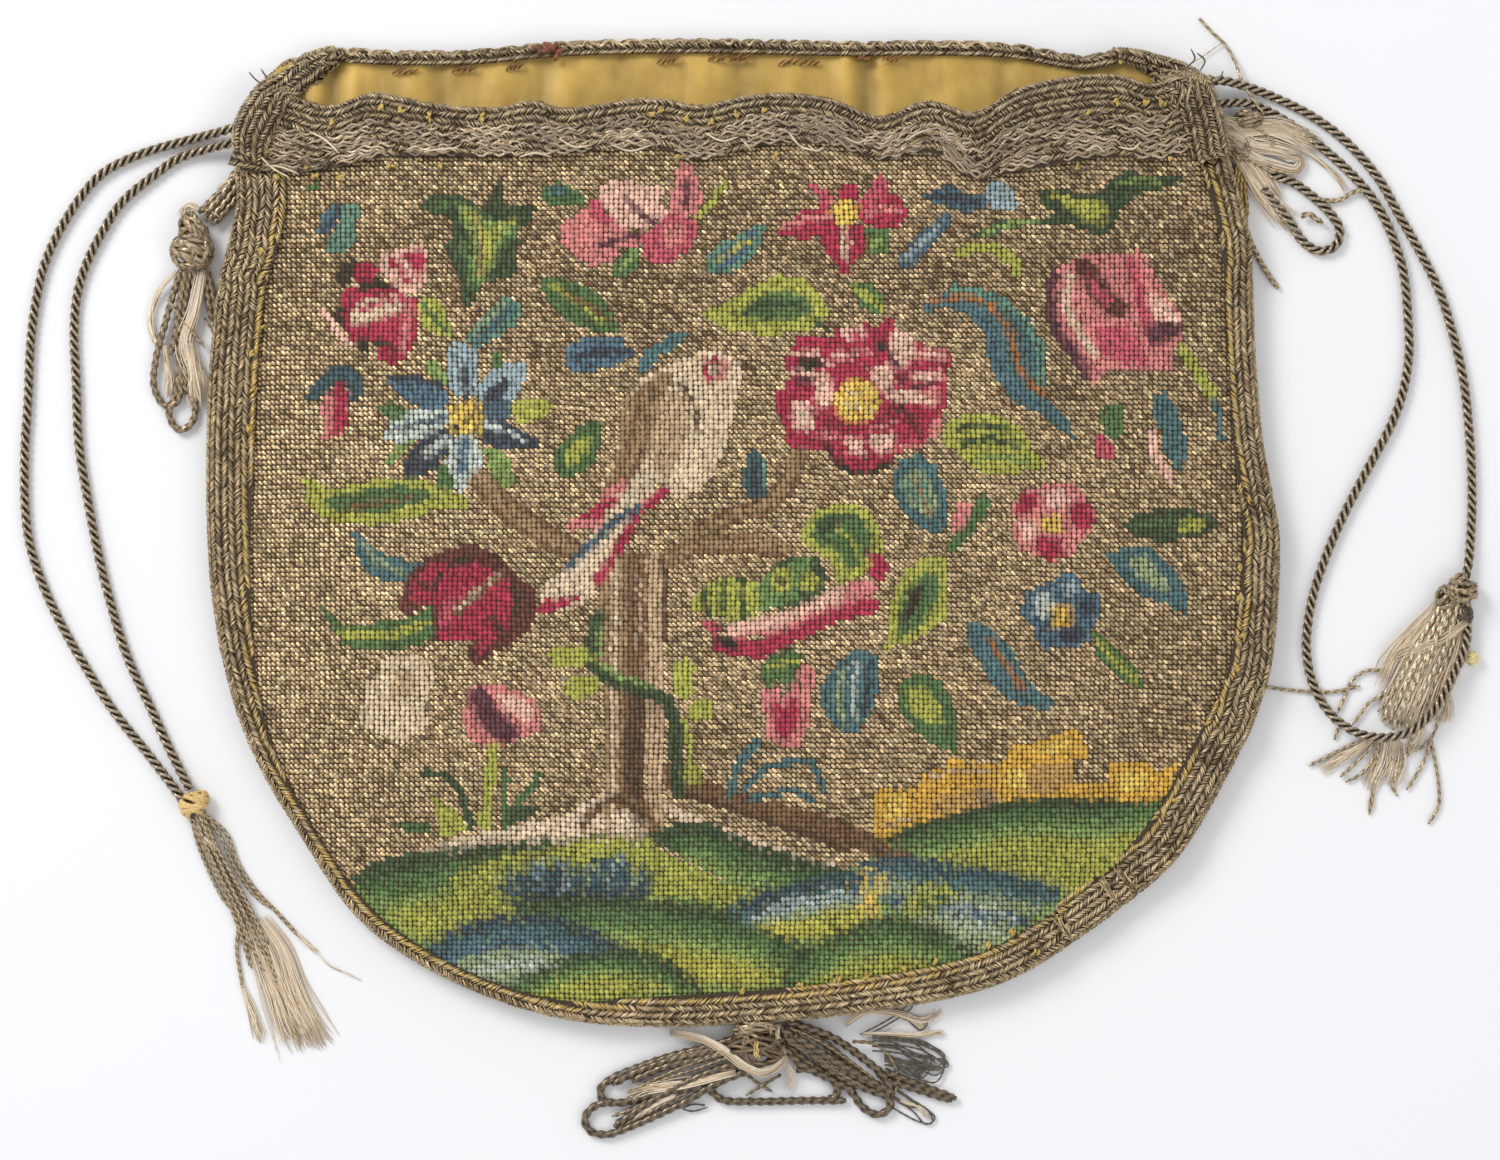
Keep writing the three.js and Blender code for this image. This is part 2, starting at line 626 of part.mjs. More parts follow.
function knot(centre, size) {
  const ball = new THREE.SphereGeometry(1, 10, 7);
  ball.scale(size.x, size.y, size.z);
  ball.translate(centre.x, centre.y, size.z);
  return ball;
}

// Separate closed shapes fused into one solid
function fused(shapes) {
  const solids = shapes.map((geometry) => {
    const bare = geometry.clone();
    bare.deleteAttribute('normal');
    bare.deleteAttribute('uv');
    const merged = mergeVertices(bare, 1e-4);
    const mesh = new wasm.Mesh({ numProp: 3, vertProperties: merged.attributes.position.array,
      triVerts: new Uint32Array(merged.index.array) });
    return new wasm.Manifold(mesh);
  });
  const whole = solids.reduce((sum, part) => sum.add(part)).getMesh();
  const geometry = new THREE.BufferGeometry();
  const position = new Float32Array(whole.vertProperties);
  geometry.setAttribute('position', new THREE.BufferAttribute(position, 3));
  geometry.setIndex(Array.from(whole.triVerts));
  geometry.computeVertexNormals();
  return geometry;
}

function tassel(centre, size, locks) {
  return fused([knot(centre, size), ...locks.map((row) => lock(centre, row))]);
}

// Where a tassel's knot sits: at a cord's end, or off the seam at a share along it
function beyondCord(name, other, distance) {
  const end = new THREE.Vector3(...cordRoutes[name].at(-1));
  const otherEnd = new THREE.Vector3(...cordRoutes[other].at(-1));
  return flat(end.add(otherEnd).multiplyScalar(0.5)).add(distance);
}

// The left cords end in a small bound knot with a long thin tail of silk and metal threads
const leftKnotSize = knotSize(1.33, 1.25, 1.17);
function leftCordTassel() {
  const centre = beyondCord('cord_left_outer', 'cord_left_inner',
    new THREE.Vector3(0.7 * leftKnotSize.x, -leftKnotSize.y, 0));
  return tassel(centre, leftKnotSize, [
    { angle: -64, reach: 1.36, bow: -0.044, root: 0.9, belly: 1.5, tip: 1.0, high: 0.45 },
    { angle: -60, reach: 1.26, bow: 0.02, root: 0.7, belly: 1.2, tip: 0.9, high: 0.4 },
    { angle: -69, reach: 1.04, bow: -0.05, root: 0.6, belly: 0.9, tip: 0.4, high: 0.5 },
    { angle: -52, reach: 0.92, bow: 0.06, root: 0.5, belly: 0.5, tip: 0.3, high: 0.6 },
  ]);
}

// The right cords end in a wide frayed tassel that fans out to the left
const rightKnotSize = knotSize(1.83, 1.75, 1.42);
function rightCordTassel() {
  const centre = beyondCord('cord_right_outer', 'cord_right_inner',
    new THREE.Vector3(-0.5 * rightKnotSize.x, 0, 0));
  return tassel(centre, rightKnotSize, [
    { angle: -130, reach: 1.00, bow: 0.05, root: 1.0, belly: 1.1, tip: 0.5, high: 0.45 },
    { angle: -120, reach: 1.12, bow: 0.04, root: 1.1, belly: 1.4, tip: 0.8, high: 0.4 },
    { angle: -112, reach: 1.08, bow: 0.02, root: 1.1, belly: 1.4, tip: 0.9, high: 0.4 },
    { angle: -104, reach: 1.04, bow: -0.01, root: 1.0, belly: 1.2, tip: 0.5, high: 0.4 },
    { angle: -142, reach: 0.60, bow: 0.03, root: 0.7, belly: 0.7, tip: 0.3, high: 0.5 },
  ]);
}

// A knotted hank of cord ends hangs from the left corner of the mouth
const leftHankSize = knotSize(1.75, 3.17, 1.5);
function leftCornerTassel() {
  const root = inset(0.085, -clearance - threadBundle * 0.5);
  const centre = root.clone().add(new THREE.Vector3(-hankSide, -hankDrop, 0));
  const back = root.clone().sub(centre);
  const neck = { angle: Math.atan2(back.y, back.x) * 180 / Math.PI,
    reach: back.length() / tasselLength, bow: -0.024, root: 0.9, belly: 0.8, tip: 0.5, high: 0.7 };
  return tassel(centre, leftHankSize, [
    neck,
    { angle: -94, reach: 0.98, bow: 0.048, root: 1.1, belly: 1.3, tip: 0.9, high: 0.55 },
    { angle: -103, reach: 0.82, bow: -0.048, root: 1.0, belly: 1.0, tip: 0.7, high: 0.5 },
    { angle: -84, reach: 0.76, bow: 0.04, root: 1.0, belly: 1.3, tip: 0.8, high: 0.5 },
  ]);
}

// The right corner has a frayed tuft that fans out beside the cords
const rightTuftSize = knotSize(1.5, 1.83, 1.0);
function rightCornerTassel() {
  const centre = inset(0.980, -clearance - rightTuftSize.x);
  return tassel(centre, rightTuftSize, [
    { angle: -22, reach: 0.36, bow: -0.012, root: 1.1, belly: 1.0, tip: 0.5, high: 0.5 },
    { angle: -40, reach: 0.28, bow: 0.008, root: 1.1, belly: 0.9, tip: 0.5, high: 0.5 },
    { angle: -62, reach: 0.19, bow: 0, root: 0.9, belly: 0.7, tip: 0.45, high: 0.7 },
    { angle: -84, reach: 0.25, bow: -0.01, root: 1.0, belly: 0.8, tip: 0.4, high: 0.6 },
  ]);
}

// The bottom tassel is a bound head with a looped hank to each side
const bottomHeadSize = knotSize(2.83, 2.33, 1.5);
function bottomTassel() {
  const root = inset(lerp(leftCorner, rightCorner, 0.49), 0);
  const centre = root.clone().add(new THREE.Vector3(0, -bottomHeadSize.y - 3 * clearance, 0));
  return tassel(centre, bottomHeadSize, [
    { angle: -160, reach: 0.82, bow: -0.032, root: 1.2, belly: 0.8, tip: 0.7, high: 0.7 },
    { angle: -155, reach: 0.90, bow: 0.008, root: 1.5, belly: 1.7, tip: 1.3, high: 0.6 },
    { angle: -148, reach: 0.72, bow: 0.032, root: 1.3, belly: 1.5, tip: 1.0, high: 0.6 },
    { angle: -8, reach: 0.82, bow: 0.02, root: 1.5, belly: 1.3, tip: 0.7, high: 0.6 },
    { angle: -17, reach: 1.04, bow: 0.048, root: 1.6, belly: 2.0, tip: 0.8, high: 0.6 },
    { angle: -26, reach: 0.92, bow: 0.02, root: 1.6, belly: 1.6, tip: 0.8, high: 0.6 },
    { angle: -34, reach: 0.72, bow: -0.02, root: 1.3, belly: 1.2, tip: 0.9, high: 0.6 },
  ]);
}

const finishes = {
  needlework: { color: 0x9a8467, roughness: 0.75, metalness: 0.2 },
  silk: { color: 0xc39a35, roughness: 0.5, metalness: 0 },
  braid: { color: 0x7d6c55, roughness: 0.55, metalness: 0.4 },
  cord: { color: 0x6b6152, roughness: 0.55, metalness: 0.4 },
  threads: { color: 0xa08a6c, roughness: 0.7, metalness: 0.1 },
};

const pieces = [
  { name: 'back_panel', finish: 'needlework', make: backPanel },
  { name: 'front_panel', finish: 'needlework', make: frontPanel },
  { name: 'lining', finish: 'silk', make: lining },
  { name: 'side_braid', finish: 'braid', make: sideBraidBand },
  { name: 'mouth_braid_front', finish: 'braid', make: frontMouthBraid },
  { name: 'mouth_braid_back', finish: 'braid', make: backMouthBraid },
  { name: 'left_corner_tassel', finish: 'threads', make: leftCornerTassel },
  { name: 'right_corner_tassel', finish: 'threads', make: rightCornerTassel },
  { name: 'bottom_tassel', finish: 'threads', make: bottomTassel },
];
const onCords = [
  ...Object.keys(cordRoutes).map((name) => (
    { name, finish: 'cord', make: () => cordTube(name) })),
  { name: 'left_cord_tassel', finish: 'threads', make: leftCordTassel },
  { name: 'right_cord_tassel', finish: 'threads', make: rightCordTassel },
];

function dressed({ name, finish, make }) {
  const mesh = new THREE.Mesh(make(), new THREE.MeshStandardMaterial(finishes[finish]));
  mesh.name = name;
  return mesh;
}

const bag = new THREE.Group();
bag.add(...pieces.map(dressed));
const reach = new THREE.Box3().setFromObject(bag, true);
const middle = reach.getCenter(new THREE.Vector3());
bag.add(...onCords.map(dressed));
bag.position.set(-middle.x, -middle.y, -reach.min.z);

export default bag;
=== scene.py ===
# %% [markdown]
# # A needlework drawstring bag
# The bag lies on its back. Its front is tent stitch in wool on a ground of metal thread, its
# edges are bound in woven metal braid, its lining is yellow silk, and twisted cords with
# frayed tassels come out of both corners of the mouth.
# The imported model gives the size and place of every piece. This script dresses it, mostly in
# thousands of small threads, because real thread is what gives such work its glint and depth.

import bpy
import numpy as np
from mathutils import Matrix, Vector
from mathutils.bvhtree import BVHTree


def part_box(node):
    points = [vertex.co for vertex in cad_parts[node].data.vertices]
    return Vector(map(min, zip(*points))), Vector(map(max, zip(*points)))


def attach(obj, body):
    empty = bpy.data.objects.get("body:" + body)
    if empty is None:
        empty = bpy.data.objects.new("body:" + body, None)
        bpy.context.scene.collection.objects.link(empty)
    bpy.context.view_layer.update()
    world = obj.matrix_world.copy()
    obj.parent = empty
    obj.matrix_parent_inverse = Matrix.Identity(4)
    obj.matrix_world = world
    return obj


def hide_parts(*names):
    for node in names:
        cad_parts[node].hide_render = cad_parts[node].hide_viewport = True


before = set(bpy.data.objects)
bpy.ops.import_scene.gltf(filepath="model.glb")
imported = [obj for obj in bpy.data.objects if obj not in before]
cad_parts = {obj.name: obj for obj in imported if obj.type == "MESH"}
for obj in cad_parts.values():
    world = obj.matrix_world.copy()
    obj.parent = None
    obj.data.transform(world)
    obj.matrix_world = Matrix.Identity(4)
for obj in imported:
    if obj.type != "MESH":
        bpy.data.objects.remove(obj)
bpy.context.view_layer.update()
print("pieces in the frame:", len(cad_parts))

# %% [markdown]
# ## Where things are
# The work was measured on a chart in quarter millimetres, with x to the right and y down, so
# a stitch is 4.9 chart units wide. The side braid's box fixes that chart to the frame: its
# middle is the chart's x = 743, and its lowest edge lies 122 mm below the bag's middle.

# %% The chart and its scale
MM = 0.001
UNIT = 0.25 * MM
braid_low, braid_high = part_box("side_braid")
CHART_MIDDLE = np.array([743, 534.5])
bag_middle = np.array([(braid_low.x + braid_high.x) / 2, braid_low.y + 122 * MM])
chart_corner = bag_middle + CHART_MIDDLE * (-UNIT, UNIT)
chance = np.random.default_rng(7)


def from_chart(points):
    """Chart points (x, y), with an optional height in mm, as places in metres"""
    points = np.asarray(points, float)
    flat = chart_corner + points[..., :2] * (UNIT, -UNIT)
    if points.shape[-1] == 2:
        return flat
    return np.concatenate([flat, points[..., 2:] * MM], axis=-1)


def to_chart(x, y):
    """Places in metres as chart x and y"""
    return (CHART_MIDDLE[0] + (x - bag_middle[0]) / UNIT,
            CHART_MIDDLE[1] - (y - bag_middle[1]) / UNIT)


def from_plan(points):
    """The cords' points, in millimetres from the bag's middle, as places in metres"""
    return np.asarray(points, float) * MM + np.array([*bag_middle, 0])


def dots(text):
    """Chart points written as 'x,y x,y'"""
    return np.array([[float(number) for number in pair.split(",")] for pair in text.split()])


print("bag's middle in metres:", bag_middle.round(4))

# %% [markdown]
# ## Camera, floor and light
# The bag is looked at from straight above, with a long lens so that little is foreshortened.
# A large soft lamp at the upper left and a pale world give the soft shadow to the lower right
# that shows the swell of the front. The camera comes first, because the stitches and the
# threads laid on the solids take their places along its lines of sight.

# %% Camera
view_middle = from_chart([750, 580])
view_width = 1500 * UNIT
camera_data = bpy.data.cameras.new("camera")
camera_data.lens = 100
camera_data.sensor_width = 36
camera_height = view_width * camera_data.lens / camera_data.sensor_width
camera = bpy.data.objects.new("camera", camera_data)
camera.location = (*view_middle, camera_height)
bpy.context.scene.collection.objects.link(camera)
bpy.context.scene.camera = camera


def on_sight_line(target, z):
    """Where the camera's lines of sight to places on the floor pass the heights z"""
    return view_middle + (target - view_middle) * ((camera_height - z) / camera_height)[:, None]


print("camera height:", round(camera_height, 3))

# %% Lamps and world


def area_lamp(name, place, size, power):
    """A square soft lamp that looks at the bag"""
    data = bpy.data.lights.new(name, "AREA")
    data.size = size
    data.energy = power
    lamp = bpy.data.objects.new(name, data)
    lamp.location = place
    lamp.rotation_euler = (-Vector(place)).to_track_quat("-Z", "Y").to_euler()
    bpy.context.scene.collection.objects.link(lamp)


area_lamp("window_light", (-0.75, 0.75, 0.95), 0.55, 11.0)
area_lamp("fill_light", (0.9, -0.5, 1.2), 0.9, 3.0)
world = bpy.data.worlds.new("pale_room")
bpy.context.scene.world = world
bpy.context.scene.view_settings.view_transform = "Standard"
world.use_nodes = True
world.node_tree.nodes["Background"].inputs["Color"].default_value = (0.97, 0.98, 1.0, 1)
world.node_tree.nodes["Background"].inputs["Strength"].default_value = 0.72

# %% Floor


def plain_mesh(name, points, faces, smooth=False):
    """A mesh object from points and faces"""
    mesh = bpy.data.meshes.new(name)
    mesh.from_pydata([tuple(p) for p in points], [], [tuple(f) for f in faces])
    if smooth:
        mesh.polygons.foreach_set("use_smooth", [True] * len(mesh.polygons))
    mesh.update()
    made = bpy.data.objects.new(name, mesh)
    bpy.context.scene.collection.objects.link(made)
    return made


floor = plain_mesh("floor", [(-3, -3, -2e-4), (3, -3, -2e-4), (3, 3, -2e-4), (-3, 3, -2e-4)],
                   [(0, 1, 2, 3)])
floor_paint = bpy.data.materials.new("pale_floor")
floor_paint.use_nodes = True
floor_paint.node_tree.nodes["Principled BSDF"].inputs["Base Color"].default_value = (
    0.86, 0.86, 0.87, 1)
floor_paint.node_tree.nodes["Principled BSDF"].inputs["Roughness"].default_value = 0.9
floor.data.materials.append(floor_paint)

# %% [markdown]
# ## Smooth lines and threads
# Nearly everything here is thread, so there is one helper for smooth lines and one that turns
# many short lines into tapered tubes in a single mesh. Each thread carries its own colour in
# a colour attribute, which costs nothing and lets one material serve thousands of threads.

# %% Smooth lines


def spline(points, spacing, closed=False):
    """Even points along a centripetal Catmull-Rom curve"""
    points = np.asarray(points, float)
    if closed:
        padded = np.vstack([points[-1], points, points[0], points[1]])
    else:
        padded = np.vstack([2 * points[0] - points[1], points, 2 * points[-1] - points[-2]])
    gaps = np.maximum(np.linalg.norm(np.diff(padded, axis=0), axis=1), 1e-9) ** 0.5
    dense = []
    for k in range(1, len(padded) - 2):
        a, b, c, d = padded[k - 1:k + 3]
        t1 = gaps[k - 1]
        t2 = t1 + gaps[k]
        t3 = t2 + gaps[k + 1]
        t = np.linspace(t1, t2, 16, endpoint=False)[:, None]
        ab = (t1 - t) / t1 * a + t / t1 * b
        bc = (t2 - t) / (t2 - t1) * b + (t - t1) / (t2 - t1) * c
        cd = (t3 - t) / (t3 - t2) * c + (t - t2) / (t3 - t2) * d
        abc = (t2 - t) / t2 * ab + t / t2 * bc
        bcd = (t3 - t) / (t3 - t1) * bc + (t - t1) / (t3 - t1) * cd
        dense.append((t2 - t) / (t2 - t1) * abc + (t - t1) / (t2 - t1) * bcd)
    dense = np.vstack(dense + [padded[-2][None]])
    along = np.r_[0, np.cumsum(np.linalg.norm(np.diff(dense, axis=0), axis=1))]
    count = max(int(round(along[-1] / spacing)), 2)
    even = np.linspace(0, along[-1], count + 1)
    return np.column_stack([np.interp(even, along, column) for column in dense.T])


def line_length(points):
    """Length of a line of points"""
    return float(np.linalg.norm(np.diff(points, axis=0), axis=1).sum())


# %% Threads as tapered tubes


COLOUR_LAYER = "thread_colour"


def linear(colour):
    """A colour as a painter names it, 0 to 255, as Blender's linear light"""
    share = np.asarray(colour, float) / 255
    return np.where(share <= 0.04045, share / 12.92, ((share + 0.055) / 1.055) ** 2.4)


def finish_piece(made, material, colours=None):
    """Gives a piece its colour attribute and material, and lets it ride on the bag"""
    mesh = made.data
    if colours is not None:
        attribute = mesh.color_attributes.new(COLOUR_LAYER, "FLOAT_COLOR", "POINT")
        values = np.ones((len(mesh.vertices), 4), np.float32)
        values[:, :3] = colours
        attribute.data.foreach_set("color", values.ravel())
    mesh.materials.clear()
    mesh.materials.append(material)
    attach(made, "root")
    return made


def threads(name, lines, radius, colours, material, sides=4, flat=1.0, taper=0.35):
    """Many tapered tubes in one mesh. lines is threads x points x 3, radius and colours have a
    row for each thread, flat is the height as a share of the width"""
    lines = np.asarray(lines, float)
    count, steps, _ = lines.shape
    radius = np.broadcast_to(np.asarray(radius, float).reshape(-1, 1), (count, 1))
    colours = np.broadcast_to(np.asarray(colours, float), (count, 3))
    way = np.gradient(lines, axis=1)
    way /= np.maximum(np.linalg.norm(way, axis=2, keepdims=True), 1e-12)
    aside = np.cross(way, np.array([0.0, 0.0, 1.0]))
    aside /= np.maximum(np.linalg.norm(aside, axis=2, keepdims=True), 1e-9)
    above = np.cross(aside, way)
    share = np.linspace(-1, 1, steps)
    width = radius * (1 - (1 - taper) * np.abs(share) ** 4)
    turn = (np.arange(sides) + 0.5) * 2 * np.pi / sides
    rings = (lines[:, :, None]
             + aside[:, :, None] * np.cos(turn)[:, None] * width[:, :, None, None]
             + above[:, :, None] * np.sin(turn)[:, None] * width[:, :, None, None] * flat)
    points = rings.reshape(-1, 3)
    k, n = np.meshgrid(np.arange(steps - 1), np.arange(sides), indexing="ij")
    wall = np.stack([k * sides + n, k * sides + (n + 1) % sides,
                     (k + 1) * sides + (n + 1) % sides, (k + 1) * sides + n], axis=-1)
    wall = wall.reshape(-1, 4)
    faces = (wall[None] + (np.arange(count) * steps * sides)[:, None, None]).reshape(-1, 4)
    ends = np.arange(sides)
    caps = np.stack([ends[::-1], ends + (steps - 1) * sides])
    caps = (caps[None] + (np.arange(count) * steps * sides)[:, None, None]).reshape(-1, sides)
    made = plain_mesh(name, points, [*faces.tolist(), *caps.tolist()], smooth=True)
    return finish_piece(made, material, np.repeat(colours, steps * sides, axis=0))


# %% [markdown]
# ## Finishes
# Every finish starts from the thread's own colour. Two node groups are shared: one breaks the
# colour up into fine fibres and gives a bump from them, and one says where aged metal thread
# is still bright and where it is tarnished. They put out colours, masks and a normal, and the
# shader itself stays in each material.

# %% Node groups


def new_group(name, inputs, outputs):
    """An empty node group with its sockets, and its two ends"""
    group = bpy.data.node_groups.new(name, "ShaderNodeTree")
    for label, kind, value in inputs:
        socket = group.interface.new_socket(label, in_out="INPUT", socket_type=kind)
        if value is not None:
            socket.default_value = value
    for label, kind in outputs:
        group.interface.new_socket(label, in_out="OUTPUT", socket_type=kind)
    return group, group.nodes.new("NodeGroupInput"), group.nodes.new("NodeGroupOutput")


def math_node(tree, operation, *values):
    """A math node of two or three sockets or numbers"""
    node = tree.nodes.new("ShaderNodeMath")
    node.operation = operation
    for socket, value in zip(node.inputs, values):
        if isinstance(value, (int, float)):
            socket.default_value = value
        else:
            tree.links.new(value, socket)
    return node.outputs[0]


def mix_colour(tree, blend, share, first, second):
    """A colour mix node; share, first and second are sockets or values"""
    node = tree.nodes.new("ShaderNodeMix")
    node.data_type = "RGBA"
    node.blend_type = blend
    for socket, value in zip((node.inputs[0], node.inputs[6], node.inputs[7]),
                             (share, first, second)):
        if isinstance(value, (int, float, tuple)):
            socket.default_value = value
        else:
            tree.links.new(value, socket)
    return node.outputs[2]


def shaded_and_raised(tree, start, end, light, bump, height):
    """Ends a group: its colour made lighter or darker, and the normal of its bump"""
    scaled = tree.nodes.new("ShaderNodeVectorMath")
    scaled.operation = "SCALE"
    tree.links.new(start.outputs["Colour"], scaled.inputs[0])
    tree.links.new(light, scaled.inputs["Scale"])
    tree.links.new(height, bump.inputs["Height"])
    tree.links.new(scaled.outputs[0], end.inputs["Colour"])
    tree.links.new(bump.outputs[0], end.inputs["Normal"])


def fibre_group():
    """Fine fibres in a thread: the colour broken up, and a normal"""
    tree, start, end = new_group("fine_fibres", [
        ("Colour", "NodeSocketColor", (0.5, 0.5, 0.5, 1)),
        ("Scale", "NodeSocketFloat", 3000.0),
        ("Contrast", "NodeSocketFloat", 0.3),
        ("Depth", "NodeSocketFloat", 0.3),
    ], [("Colour", "NodeSocketColor"), ("Normal", "NodeSocketVector")])
    place = tree.nodes.new("ShaderNodeTexCoord")
    noise = tree.nodes.new("ShaderNodeTexNoise")
    noise.inputs["Detail"].default_value = 2.0
    tree.links.new(place.outputs["Object"], noise.inputs["Vector"])
    tree.links.new(start.outputs["Scale"], noise.inputs["Scale"])
    swing = math_node(tree, "SUBTRACT", noise.outputs[0], 0.5)
    swing = math_node(tree, "MULTIPLY", swing, start.outputs["Contrast"])
    light = math_node(tree, "MULTIPLY_ADD", swing, 2.0, 1.0)
    bump = tree.nodes.new("ShaderNodeBump")
    bump.inputs["Distance"].default_value = 0.0002
    tree.links.new(start.outputs["Depth"], bump.inputs["Strength"])
    shaded_and_raised(tree, start, end, light, bump, noise.outputs[0])
    return tree


def tarnish_group():
    """Where metal thread is bright (1) and where it is dull (0)"""
    group, start, end = new_group("tarnish", [
        ("Scale", "NodeSocketFloat", 900.0),
        ("Bright Share", "NodeSocketFloat", 0.4),
    ], [("Bright", "NodeSocketFloat")])
    place = group.nodes.new("ShaderNodeTexCoord")
    cells = group.nodes.new("ShaderNodeTexNoise")
    cells.inputs["Detail"].default_value = 1.0
    group.links.new(place.outputs["Object"], cells.inputs["Vector"])
    group.links.new(start.outputs["Scale"], cells.inputs["Scale"])
    edge = math_node(group, "SUBTRACT", 0.75, start.outputs["Bright Share"])
    over = math_node(group, "SUBTRACT", cells.outputs[0], edge)
    bright = math_node(group, "MULTIPLY", over, 8.0)
    bright.node.use_clamp = True
    group.links.new(bright, end.inputs["Bright"])
    return group


fine_fibres = fibre_group()
tarnish = tarnish_group()
print("shared effects:", fine_fibres.name, tarnish.name)

# %% Materials for threads


def own_colour(tree):
    """The colour that each thread carries"""
    node = tree.nodes.new("ShaderNodeVertexColor")
    node.layer_name = COLOUR_LAYER
    return node.outputs["Color"]


def place_group(tree, group, **values):
    """A shared group in a material, with some of its values set"""
    node = tree.nodes.new("ShaderNodeGroup")
    node.node_tree = group
    for label, value in values.items():
        node.inputs[label.replace("_", " ")].default_value = value
    return node


def thread_material(name, roughness, metallic=0.0, sheen=0.0, scale=3000.0, contrast=0.35,
                    depth=0.4, bright=None, specular=0.5):
    """A material whose colour is each thread's own"""
    material = bpy.data.materials.new(name)
    material.use_nodes = True
    tree = material.node_tree
    shader = tree.nodes["Principled BSDF"]
    fibres = place_group(tree, fine_fibres, Scale=scale, Contrast=contrast, Depth=depth)
    tree.links.new(own_colour(tree), fibres.inputs["Colour"])
    tree.links.new(fibres.outputs["Normal"], shader.inputs["Normal"])
    shader.inputs["Roughness"].default_value = roughness
    shader.inputs["Specular IOR Level"].default_value = specular
    shader.inputs["Sheen Weight"].default_value = sheen
    shader.inputs["Sheen Roughness"].default_value = 0.4
    colour = fibres.outputs["Colour"]
    if bright is not None:
        shine = place_group(tree, tarnish, Scale=bright[0], Bright_Share=bright[1])
        mask = shine.outputs["Bright"]
        light = mix_colour(tree, "MULTIPLY", 1.0, colour, (*bright[2], 1))
        colour = mix_colour(tree, "MIX", mask, colour, light)
        tree.links.new(math_node(tree, "MULTIPLY", mask, metallic), shader.inputs["Metallic"])
        rough = math_node(tree, "MULTIPLY_ADD", mask, -0.5 * roughness, roughness)
        tree.links.new(rough, shader.inputs["Roughness"])
    else:
        shader.inputs["Metallic"].default_value = metallic
    tree.links.new(colour, shader.inputs["Base Color"])
    return material


wool = thread_material("wool_stitches", 0.85, sheen=0.15, scale=2600, contrast=0.5, depth=0.5,
                       specular=0.25)
metal_thread = thread_material("metal_stitches", 0.6, metallic=0.4, scale=2000, contrast=0.75,
                               bright=(900, 0.36, (1.5, 1.42, 1.3)))
braid_metal = thread_material("braid_threads", 0.6, metallic=0.35, scale=3500, contrast=0.45,
                              bright=(600, 0.35, (1.3, 1.27, 1.22)))
cord_metal = thread_material("cord_threads", 0.5, metallic=0.6, scale=3000, contrast=0.5,
                             bright=(800, 0.35, (1.4, 1.36, 1.3)))
silk_thread = thread_material("silk_threads", 0.55, sheen=0.2, scale=4000, contrast=0.25)
canvas_cloth = thread_material("canvas", 0.95, scale=2500, contrast=0.6, specular=0.2)
print("thread materials:", len(bpy.data.materials))

# %% [markdown]
# ## Cords
# Each cord is three plies of metal thread twisted together. A twisted mesh is used rather than
# a curve with a bump, because the dark grooves between the plies are what one sees. The plies
# follow the same routes as the solids they replace.

